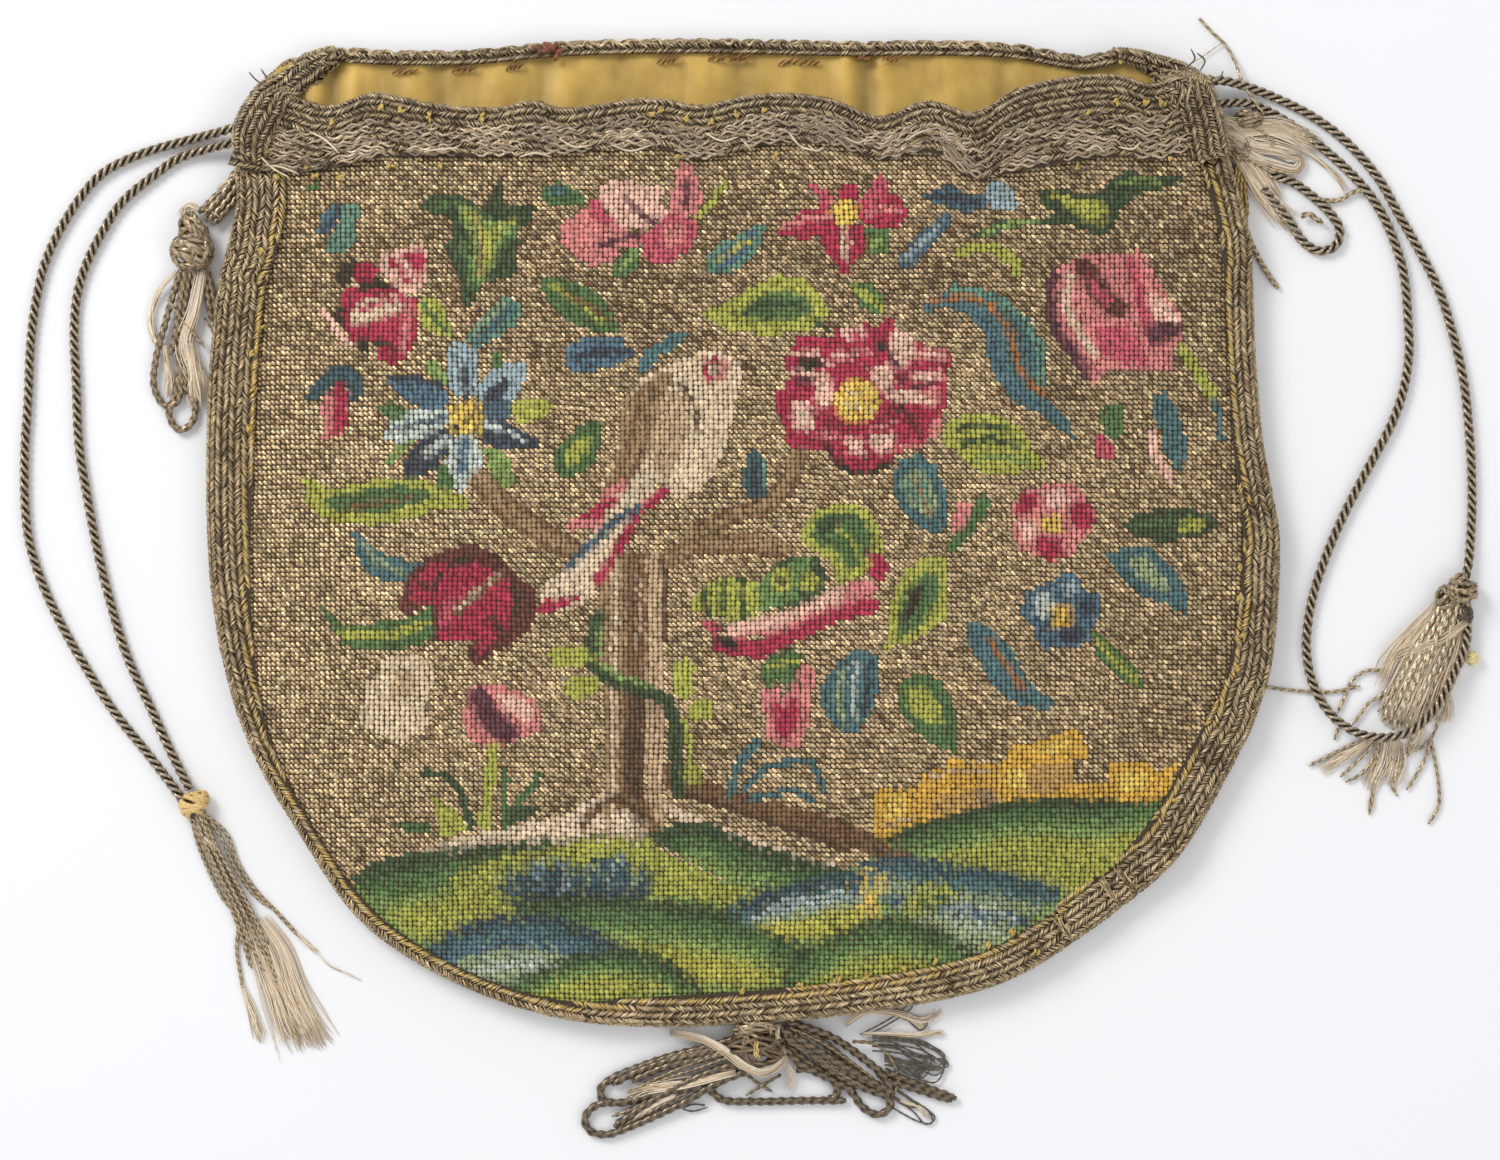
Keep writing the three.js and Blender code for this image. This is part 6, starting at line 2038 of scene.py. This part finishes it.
def strand(text, radius=0.55, lay=1.9, dark=(50, 41, 32), light=(204, 184, 150), step=0.33):
    """A striped strand along chart points with a height in mm. Both its ends are closed, and
    the last 0.7 mm is thinner"""
    centre = spline(from_chart(dots(text)), step * MM)
    along = np.arange(len(centre)) * step
    size = radius * MM * np.where(along > along[-1] - 0.7, 0.6, 1)
    points, faces, colours = striped_tube(centre, along, size, lay, 0.16, 0.14, dark, light)
    faces.append([n * len(centre) for n in range(STRAND_SIDES)])
    faces.append([(n + 1) * len(centre) - 1 for n in reversed(range(STRAND_SIDES))])
    return points, faces, colours


def strands(name, parts, material=cord_metal):
    """Several strands in one piece"""
    points, faces, colours = [], [], []
    for own_points, own_faces, own_colours in parts:
        shift = sum(map(len, points))
        points.append(own_points)
        faces.extend([shift + corner for corner in face] for face in own_faces)
        colours.append(own_colours)
    made = plain_mesh(name, np.vstack(points), faces, smooth=True)
    return finish_piece(made, material, np.vstack(colours))


SILK = ((230, 210, 182), (210, 186, 152), (242, 228, 206))


def lock(text, count, start, end, high=0.8, shades=SILK, curl=0.35, fray=0.25, points=16):
    """Fibres along a chart route, spread by start and end in mm: lines and colours"""
    centre = spline(from_chart(dots(text)), 0.5 * MM)
    share = np.linspace(0, 1, points)
    reach = 1 - fray * chance.beta(1.2, 2.0, (count, 1))
    index = share * reach * (len(centre) - 1)
    low = np.clip(index.astype(int), 0, len(centre) - 2)
    rest = (index - low)[..., None]
    place = centre[low] * (1 - rest) + centre[low + 1] * rest
    way = centre[low + 1] - centre[low]
    aside = np.stack([-way[..., 1], way[..., 0], 0 * way[..., 0]], axis=-1)
    aside /= np.linalg.norm(aside, axis=-1, keepdims=True)
    width = (start + (end - start) * share ** 1.3) * MM / 2
    spread = chance.normal(0, 0.5, (count, 1)) * width
    phase = chance.uniform(0, 6.3, (count, 1))
    wander = curl * MM * np.sin(share * chance.uniform(5, 14, (count, 1)) + phase) * share
    place = place + aside * (spread + wander)[..., None]
    place[..., 2] += chance.uniform(-0.5, 0.5, (count, 1)) * high * MM
    place[..., 2] = np.maximum(place[..., 2], 0.2 * MM)
    shade = linear(np.array(shades)[chance.integers(0, len(shades), count)])
    return place, shade * chance.normal(1, 0.06, (count, 1))


def locks(name, parts, radius=0.17):
    """Several locks in one piece"""
    lines = np.concatenate([part[0] for part in parts])
    colours = np.concatenate([part[1] for part in parts])
    return threads(name, lines, radius * MM, colours, silk_thread, sides=3, taper=0.3)


def wraps(middle, size, turns, radius=0.55, tilt=0.35, dark=(66, 56, 44), light=(176, 156, 126)):
    """Turns of strand round a knot: middle in chart units and mm, size in mm"""
    parts = []
    centre = from_chart(np.array([middle]))[0]
    for k in range(turns):
        lean = chance.normal(0, tilt, 3)
        pole = np.array([0.0, 1.0, 0.0]) + lean
        pole /= np.linalg.norm(pole)
        first = np.cross(pole, (0.0, 0.0, 1.0))
        first /= np.linalg.norm(first)
        second = np.cross(pole, first)
        up = -0.8 + 1.6 * (k + 0.5) / turns
        turn = np.linspace(0, 2 * np.pi, 25)
        round_part = np.sqrt(1 - up * up)
        ring = (first * np.cos(turn)[:, None] + second * np.sin(turn)[:, None]) * round_part
        ring = (ring + pole * up) * np.array(size) * MM
        ring = centre + ring
        ring[:, 2] = np.maximum(ring[:, 2], (radius + 0.05) * MM)
        step = np.linalg.norm(np.diff(ring, axis=0), axis=1).mean() / MM
        parts.append(striped_tube(ring, np.arange(len(ring)) * step, radius * MM, RING_LAY, 0.12,
                                  0.2, dark, light))
    return parts


def put_for(node, *made):
    """The pieces that take a tassel's place"""
    for piece in made:
        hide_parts(node)
    return made


# %% [markdown]
# ## The tassel of the left cords
# Both cords end in a yellow silk knot. Below it hang striped strands, and lower down, where
# the metal has worn off, the peach silk core shows and frays.

# %% Left cord tassel
GOLD_SILK = ((228, 194, 122), (206, 168, 96), (240, 212, 150))
left_strands = [
    strand("194,806,2 198,830,2 214,866,1.8 226,892,1.5 240,930,1 252,968,0.7"),
    strand("196,806,3 203,832,3 218,868,2.6 234,900,2 250,940,1.3 266,975,0.8"),
    strand("199,806,3.4 208,832,3.4 226,872,3 244,910,2.2 258,940,1.4 272,968,0.9"),
    strand("202,808,2.6 213,836,2.8 232,872,2.6 248,902,2 262,934,1.2 278,985,0.8"),
    strand("197,810,1.4 204,846,1.4 222,884,1.2 238,914,1 250,948,0.7"),
    strand("204,810,1.6 217,846,1.6 234,882,1.4 250,914,1 270,948,0.7"),
    strand("192,812,1.2 196,836,1 208,868,0.8 223,898,0.7 238,918,0.6 237,948,0.6 243,988,0.6",
           radius=0.45),
    strand("206,814,2.4 226,832,1.2 238,862,0.8 256,890,0.7 277,912,0.6 299,936,0.6",
           radius=0.5),
    strand("207,814,2.0 222,838,1.6 236,868,1.0 252,892,0.8 268,906,0.7", radius=0.45),
]
left_metal = strands("left_cord_tassel_strands", left_strands)
left_silk = locks("left_cord_tassel_silk", [
    lock("252,920,0.9 268,966,0.8 284,1008,0.7 300,1052,0.5", 60, 3.5, 7.5),
    lock("264,918,0.9 284,948,0.9 298,986,0.8 316,1024,0.7 330,1046,0.5", 60, 3.0, 7.0),
    lock("256,926,0.7 276,975,0.7 296,1022,0.6 312,1050,0.5", 50, 4.0, 9.0),
    lock("242,984,0.6 250,1006,0.6 258,1030,0.5 261,1044,0.4", 26, 0.8, 2.6),
    lock("296,932,0.6 308,944,0.6 318,953,0.5", 14, 1.0, 1.0),
    lock("314,950,0.4 334,968,0.3 364,979,0.3", 2, 0.2, 0.6),
    lock("206,836,3.6 212,842,3.4 217,852,3", 12, 1.0, 1.6),
])
left_knot = strands("left_cord_knot", [
    *wraps((194, 805, 2.6), (3.0, 2.9, 2.4), 7, 0.62, 0.5, (196, 158, 92), (236, 206, 140)),
    *wraps((202, 798, 2.8), (1.9, 1.9, 1.8), 5, 0.5, 0.6, (186, 148, 84), (230, 198, 132)),
], silk_thread)
left_tassel = put_for("left_cord_tassel", left_metal, left_silk, left_knot)

# %% [markdown]
# ## The tassel of the right cords
# A fuller tassel, tied with an overhand knot of the cord's own strands. The inner cord lies
# across it.

# %% Right cord tassel
right_strands = []
for x_top, x_foot, y_foot, z, bend in (
        (1437, 1374, 700, 1.2, -3), (1440, 1381, 722, 2.0, -2), (1443, 1386, 726, 2.8, 0),
        (1447, 1392, 730, 3.2, 1), (1450, 1398, 728, 3.0, 2), (1454, 1405, 732, 2.6, 3),
        (1457, 1412, 726, 2.4, 3), (1460, 1420, 722, 1.8, 4), (1463, 1430, 716, 1.2, 5),
        (1445, 1400, 716, 1.0, 2), (1452, 1384, 708, 1.2, -1), (1439, 1378, 712, 2.8, -3),
        (1448, 1395, 724, 3.8, 1), (1455, 1408, 720, 3.6, 3), (1460, 1416, 730, 2.8, 4)):
    y = 604
    middle = (x_top + x_foot) / 2 + bend
    right_strands.append(strand(f"{x_top},{y},{z + 1} {middle + 6},{y + 48},{z} "
                                f"{middle - 10},{y + 80},{z * 0.8} {x_foot},{y_foot},0.9",
                                radius=0.6, lay=2.6, light=(226, 208, 176)))
for text in ("1376,698,0.9 1368,703,0.9 1360,714,0.8 1352,725,0.7",
             "1362,740,0.8 1348,746,0.7 1336,752,0.6 1320,760,0.6 1308,766,0.6",
             "1374,742,0.8 1366,752,0.7 1356,762,0.6 1340,777,0.6",
             "1378,748,0.8 1368,766,0.7 1356,777,0.6 1345,782,0.6",
             "1378,740,0.9 1376,770,0.7 1372,794,0.6 1369,814,0.5",
             "1384,738,0.9 1390,758,0.7 1402,762,0.7 1396,774,0.6 1392,786,0.6 1397,796,0.5",
             "1408,734,0.9 1408,752,0.8 1400,764,0.7 1394,776,0.6",
             "1430,742,0.8 1424,760,0.7 1414,778,0.6 1406,790,0.6",
             "1430,738,0.8 1434,758,0.7 1438,782,0.6 1438,806,0.6 1428,824,0.5",
             "1438,716,0.9 1434,732,0.8 1426,744,0.8 1412,752,0.7",
             "1380,670,0.9 1366,671,0.7 1352,680,0.6 1344,698,0.6 1337,713,0.6",
             "1263,687,0.6 1300,691,0.6 1330,692,0.5 1360,686,0.6",
             "1394,692,1.0 1382,696,0.8 1374,700,0.7", "1338,728,0.6 1334,740,0.5"):
    right_strands.append(strand(text, radius=0.42, lay=2.2))
right_metal = strands("right_cord_tassel_strands", right_strands)
right_silk = locks("right_cord_tassel_silk", [
    lock("1438,606,2.6 1414,632,2.4 1392,656,2.0 1378,688,1.4", 40, 4.0, 5.5),
    lock("1446,606,3.2 1424,640,3.0 1404,676,2.4 1386,722,1.4", 40, 4.0, 6.5),
    lock("1452,608,3.4 1440,644,3.2 1424,682,2.6 1404,730,1.4", 40, 4.0, 6.5),
    lock("1460,608,2.6 1452,646,2.6 1438,688,2.0 1424,728,1.2", 36, 3.5, 5.0),
    lock("1464,622,4.4 1440,640,4.0 1412,650,3.0 1388,660,2.2", 26, 1.8, 2.4),
    lock("1376,734,0.9 1354,750,0.7 1334,762,0.6 1318,772,0.5", 24, 2.0, 3.4),
    lock("1386,736,0.9 1378,764,0.7 1366,790,0.6", 24, 3.0, 5.0),
    lock("1396,738,0.9 1394,764,0.7 1384,786,0.6", 30, 4.0, 7.0),
    lock("1376,770,0.6 1372,794,0.5 1368,816,0.4", 8, 0.8, 1.4),
    lock("1432,706,1.0 1442,690,1.0 1448,706,0.8 1444,724,0.7", 20, 2.4, 2.0),
    lock("1422,726,0.9 1416,740,0.8 1404,752,0.7", 20, 2.0, 3.0),
    lock("1444,700,1.2 1452,684,1.2 1456,668,1.6", 14, 1.4, 1.4),
])
right_knot = strands("right_cord_knot", [
    *wraps((1460, 591, 3.4), (3.4, 4.1, 3.0), 8, 0.62, 0.55),
    *wraps((1444, 599, 3.0), (2.3, 3.2, 2.6), 6, 0.55, 0.5),
    *wraps((1462, 614, 2.4), (2.0, 2.6, 2.2), 4, 0.55, 0.4, (52, 44, 38), (96, 84, 72)),
])
right_tag = strands("right_tassel_bead", wraps((1470, 658, 1.7), (1.5, 1.5, 1.3), 5, 0.5, 0.5,
                                               (216, 196, 130), (238, 222, 168)), silk_thread)
right_tassel = put_for("right_cord_tassel", right_metal, right_silk, right_knot, right_tag)

# %% [markdown]
# ## The hank at the left corner
# A thick rope of cord ends leaves the corner, is knotted once, and hangs in two long loops
# with silk round them.

# %% Left corner hank
hank_routes = (
    "246,164,3.4 236,178,3.2 224,196,3.2 206,216,3.4",
    "250,168,3.0 240,184,2.8 226,204,2.8 210,222,3.2",
    "242,166,2.4 230,182,2.2 216,198,2.4 200,214,2.8",
    "253,172,2.2 243,190,2.0 230,208,2.2 214,226,2.4",
    "248,170,1.4 236,188,1.2 222,206,1.2 206,222,1.6",
    "192,268,3.0 188,290,2.6 184,320,2.2 180,352,1.9 182,380,1.8 178,402,1.6 166,406,1.4 "
    "155,388,1.4 157,358,1.6 166,325,2.0 176,290,2.4 184,268,3.0",
    "196,268,2.8 194,296,2.2 190,330,1.8 186,362,1.6 186,386,1.5 196,404,1.4 192,424,1.4 "
    "180,430,1.4 170,416,1.4 176,394,1.6 182,366,1.8",
    "200,268,2.0 198,300,1.6 192,330,1.4 188,360,1.3",
    "188,270,3.4 182,300,3.0 178,330,2.6 172,356,2.2",
    "208,272,1.6 214,296,1.4 218,322,1.2 222,342,1.0",
    "204,270,2.0 209,298,1.6 213,322,1.2")
hank_strands = [strand(text, radius=0.85, lay=2.4, dark=(48, 42, 34), light=(164, 144, 114))
                for text in hank_routes]
hank_strands += [strand("214,214,4.2 219,216,4.6 221,219,4.8", radius=0.4),
                 strand("170,300,3.2 180,316,3.0 192,330,2.8 206,348,2.4", radius=0.4),
                 strand("205,318,1.0 212,330,0.9 220,344,0.8", radius=0.3)]
hank_metal = strands("left_hank_cords", hank_strands)
hank_silk = locks("left_hank_silk", [
    lock("178,272,3.0 160,290,1.6 150,320,1.2 156,342,1.2 166,350,1.6", 26, 1.2, 1.4, fray=0.05),
    lock("204,270,3.2 196,310,3.0 186,346,2.4 200,380,1.8 206,402,1.4", 44, 2.0, 4.0),
    lock("190,344,2.6 194,370,2.2 196,396,1.8 198,412,1.4", 50, 2.4, 4.4),
    lock("166,346,2.2 170,372,1.8 171,400,1.4", 30, 1.2, 2.2),
    lock("200,212,4.0 192,207,3.6 186,212,3.0 184,220,2.6", 16, 2.0, 2.0),
    lock("250,166,3.4 232,180,3.4 216,196,3.6", 12, 0.8, 1.6),
    lock("206,380,1.4 210,396,1.0", 8, 1.0, 2.2),
])
hank_knot = strands("left_hank_knot", [
    *wraps((195, 230, 3.4), (3.4, 3.9, 3.0), 8, 0.75, 0.55),
    *wraps((194, 252, 3.6), (5.0, 4.6, 3.2), 10, 0.75, 0.5),
])
put_for("left_corner_tassel", hank_metal, hank_silk, hank_knot)

# %% [markdown]
# ## The tuft at the right corner
# Here the silk has burst out of the corner: fronds of beige fibre over the cords, a small
# ring of cord, a loop of loose metal at the side and two short ends.

# %% Right corner tuft
tuft_silk = locks("right_corner_silk", [
    lock("1214,126,3.6 1240,132,3.2 1268,130,2.8 1296,138,2.0 1320,152,1.4", 70, 4.0, 5.0),
    lock("1224,130,3.2 1250,146,3.2 1276,150,2.6 1302,158,1.6", 56, 3.5, 3.5),
    lock("1228,138,3.0 1250,158,3.0 1272,166,2.4 1296,171,1.6 1300,160,1.6 1284,158,1.8", 30,
         2.0, 2.4, fray=0.05),
    lock("1230,146,3.0 1248,172,2.6 1264,196,1.8 1284,218,1.2 1294,226,0.9", 80, 3.0, 5.5),
    lock("1234,142,2.6 1252,164,2.2 1268,182,1.6 1280,200,1.2", 40, 3.0, 3.0),
    lock("1300,150,1.6 1316,160,1.2 1332,174,0.9 1347,192,0.6", 12, 1.4, 1.8),
    lock("1212,112,4.0 1224,122,4.2 1240,128,3.8", 20, 1.6, 3.0),
])
tuft_metal = strands("right_corner_strands", [
    strand("1199,19,0.8 1213,34,0.8 1223,43,0.9 1234,62,1.4 1241,83,2.6 1251,101,3.8 1262,116,4",
           radius=0.38, lay=2.6, light=(214, 196, 160)),
    strand("1222,43,0.8 1208,53,0.7 1193,63,0.8", radius=0.14, dark=(120, 110, 98)),
    strand("1238,122,3.6 1262,134,3.4 1272,146,3.0 1258,148,3.0 1240,140,3.2", radius=0.4),
    strand("1222,142,3.4 1240,158,3.2 1262,168,2.6 1288,174,2.0", radius=0.4),
    strand("1230,150,2.8 1248,176,2.2 1266,200,1.6 1284,222,1.4 1300,236,1.4", radius=0.5),
    strand("1300,217,2.0 1308,215,2.2 1314,219,2.2 1322,224,1.8", radius=0.7, lay=2.4),
    strand("1316,199,1.6 1326,201,1.2 1340,200,1.0 1352,193,1.2 1364,191,1.8", radius=0.6),
    strand("1246,232,1.4 1252,246,1.0 1260,262,0.9 1270,278,0.9 1278,289,0.9", radius=0.7),
    *[strand(f"{1236 + 3 * k},166,2.6 {1232 + 4 * k},190,1.6 {1234 + 4 * k},212,1.2 "
             f"{1240 + k},226,1.6", radius=0.6, light=(190, 160, 100)) for k in range(4)],
])
tuft_ring = strands("right_corner_ring", [
    *wraps((1247, 120, 3.2), (3.3, 2.2, 1.3), 5, 0.55, 0.25),
    *wraps((1240, 150, 2.2), (2.6, 3.4, 1.6), 5, 0.6, 0.6),
])
put_for("right_corner_tassel", tuft_silk, tuft_metal, tuft_ring)

# %% [markdown]
# ## The tassel at the bottom
# A bound head under the bottom edge with a hank to each side. The left one is two loops of
# cord with strands between them, the right one thick cords, thin dark wires and silk.

# %% Bottom tassel
thick_routes = (
    "738,1036,3.0 706,1046,2.6 672,1055,2.0 640,1066,1.6 612,1078,1.3 601,1088,1.2 603,1099,1.2 "
    "620,1102,1.5 650,1094,2.0 696,1086,2.6",
    "746,1070,3.0 716,1082,2.8 690,1098,2.2 658,1114,1.6 628,1127,1.3 606,1134,1.2 590,1130,1.2 "
    "585,1118,1.2 594,1106,1.4 612,1100,1.8",
    "742,1060,3.2 706,1072,3.2 672,1088,2.6 640,1108,1.8 614,1126,1.3",
    "734,1048,3.2 700,1058,3.0 664,1066,2.4 632,1080,1.8",
    "780,1026,3.4 802,1042,3.4 822,1062,3.0 848,1080,2.4 872,1090,1.8 888,1096,1.5",
    "786,1020,3.0 812,1028,3.2 836,1038,3.0 864,1058,2.6 884,1076,2.0 892,1094,1.6",
    "784,1034,3.8 806,1048,3.8 834,1064,3.4 862,1078,2.6 884,1088,2.0",
    "782,1044,3.2 800,1062,3.0 826,1076,2.6 854,1090,1.8",
    "886,1092,1.6 890,1106,1.3 878,1114,1.2 863,1107,1.3 852,1092,1.6 842,1082,2.0",
    "796,1068,2.0 820,1070,1.8 835,1082,1.5 836,1094,1.4 826,1100,1.3",
    "710,1089,1.6 722,1099,1.3 752,1101,1.2 804,1100,1.2 846,1100,1.3",
    "884,1070,2.2 904,1078,1.8 926,1087,1.5 956,1098,1.3",
    "888,1080,1.6 908,1086,1.5 930,1093,1.3 952,1100,1.2",
    "790,1022,2.4 816,1036,2.6 846,1060,2.2 872,1084,1.6 890,1096,1.3",
    "778,1036,2.2 796,1052,2.2 820,1070,2.0 850,1084,1.6",
    "794,1034,4.6 820,1050,4.4 846,1066,3.8 874,1082,2.6 894,1092,1.8",
    "740,1042,2.6 706,1052,2.6 668,1060,2.0 634,1072,1.6 612,1084,1.3",
    "738,1066,2.2 700,1078,2.0 664,1092,1.6 628,1112,1.3")
fine_routes = (
    "738,1052,3.6 700,1066,3.2 660,1080,2.4 620,1104,1.4",
    "742,1056,3.0 704,1074,3.0 664,1096,2.2 612,1116,1.3",
    "740,1064,3.0 700,1084,2.6 660,1106,1.8 616,1128,1.2",
    "744,1048,3.8 710,1056,3.6 668,1072,2.8 628,1092,1.8",
    "736,1044,3.4 700,1050,3.0 660,1060,2.2 622,1078,1.5",
    "744,1068,2.6 708,1090,2.2 676,1104,1.6",
    "852,1040,3.2 875,1043,3.0 892,1060,2.4 898,1081,1.8 892,1096,1.5",
    "748,1075,1.4 760,1084,1.0 772,1091,0.8", "781,1074,1.4 764,1084,1.0 746,1095,0.8",
    "790,1026,4.0 820,1040,4.0 850,1060,3.4 876,1080,2.4",
    "788,1040,4.2 816,1056,4.0 844,1074,3.2 872,1090,2.0")
bottom_cords = [strand(text, radius=0.95, lay=2.6, dark=(36, 30, 24), light=(126, 111, 90))
                for text in thick_routes]
bottom_fine = [strand(text, radius=0.42, lay=2.0, light=(160, 140, 110))
               for text in fine_routes]
wire_routes = ["705,1105,0.7 694,1104,0.6 683,1108,0.6 692,1111,0.6 708,1107,0.7",
               "860,1034,1.6 890,1018,1.2 913,1002,0.9 911,1008,0.9 884,1026,1.2 862,1036,1.6",
               "895,1008,0.9 910,1014,0.8 927,1022,0.8 921,1030,0.8 908,1020,0.9 896,1010,0.9",
               "892,1107,0.8 904,1114,0.7 918,1121,0.6 932,1123,0.6 930,1113,0.7 914,1100,0.8",
               "896,1098,0.9 914,1112,0.7 926,1124,0.6 935,1118,0.6 924,1106,0.8"]
for k in range(11):
    a, b = chance.uniform(-8, 8, 2)
    out = chance.uniform(-26, 4)
    wire_routes.append(f"872,{1042 + a},2.6 {896 + b},{1044 + a},2.0 {926 + out},{1050 + a},1.3 "
                       f"{946 + out},{1062 + b},0.9 {938 + out},{1074 + a},0.9 "
                       f"{914 + b},{1068 + a},1.4 {884},{1060 + b},2.2")
for k in range(5):
    a, b = chance.uniform(-4, 4, 2)
    wire_routes.append(f"876,{1074 + a},1.6 {896 + b},{1090 + a},1.1 {916 + b},{1104 + b},0.7 "
                       f"{908 + a},{1106 + a},0.7 {884},{1090 + b},1.2")
bottom_wires = [strand(text, radius=0.22, dark=(62, 58, 54), light=(104, 96, 84), step=0.6)
                for text in wire_routes]
bottom_metal = strands("bottom_tassel_cords", bottom_cords + bottom_fine)
bottom_thin = strands("bottom_tassel_wires", bottom_wires)
bottom_silk = locks("bottom_tassel_silk", [
    lock("736,1071,3.6 706,1078,3.4 668,1086,2.8 640,1091,2.2 624,1099,1.8", 50, 1.4, 2.8),
    lock("676,1094,2.6 650,1106,2.0 628,1120,1.4", 26, 1.6, 2.4),
    lock("670,1031,2.2 702,1037,3.4 726,1049,4.6 746,1065,5.0 764,1070,5.0 780,1061,4.8 785,1052,4.6",
         40, 1.8, 1.6, fray=0.04),
    lock("785,1052,4.6 778,1040,4.8 778,1022,4.4", 16, 1.2, 1.2, fray=0.04),
    lock("845,1025,1.8 866,1012,1.5 892,1013,1.2 920,1021,1.0 932,1018,0.9 943,1008,0.8", 24,
         1.2, 1.8),
    lock("862,1034,1.8 884,1034,1.4 908,1035,1.1 948,1032,0.8", 22, 1.6, 2.2),
    lock("912,1018,1.0 924,1026,0.8 922,1030,0.8", 10, 1.4, 1.6),
    lock("786,1062,3.4 792,1078,1.6 786,1092,0.8", 8, 1.0, 3.0),
    lock("900,1100,1.0 922,1108,0.8 930,1118,0.7", 10, 1.0, 1.6),
])
bottom_head = strands("bottom_tassel_head", [
    *wraps((755, 1026, 3.6), (5.4, 3.0, 2.9), 8, 0.6, 0.35),
    *wraps((757, 1046, 3.6), (7.2, 4.6, 2.9), 9, 0.55, 0.6, (50, 42, 34), (128, 108, 82)),
])
bottom_knot = locks("bottom_tassel_yellow", [
    lock("757,1038,6.4 756,1046,6.8 758,1056,6.4", 16, 0.9, 0.9, shades=GOLD_SILK, fray=0.05)])
put_for("bottom_tassel", bottom_metal, bottom_thin, bottom_silk, bottom_head, bottom_knot)
print("tassels made")
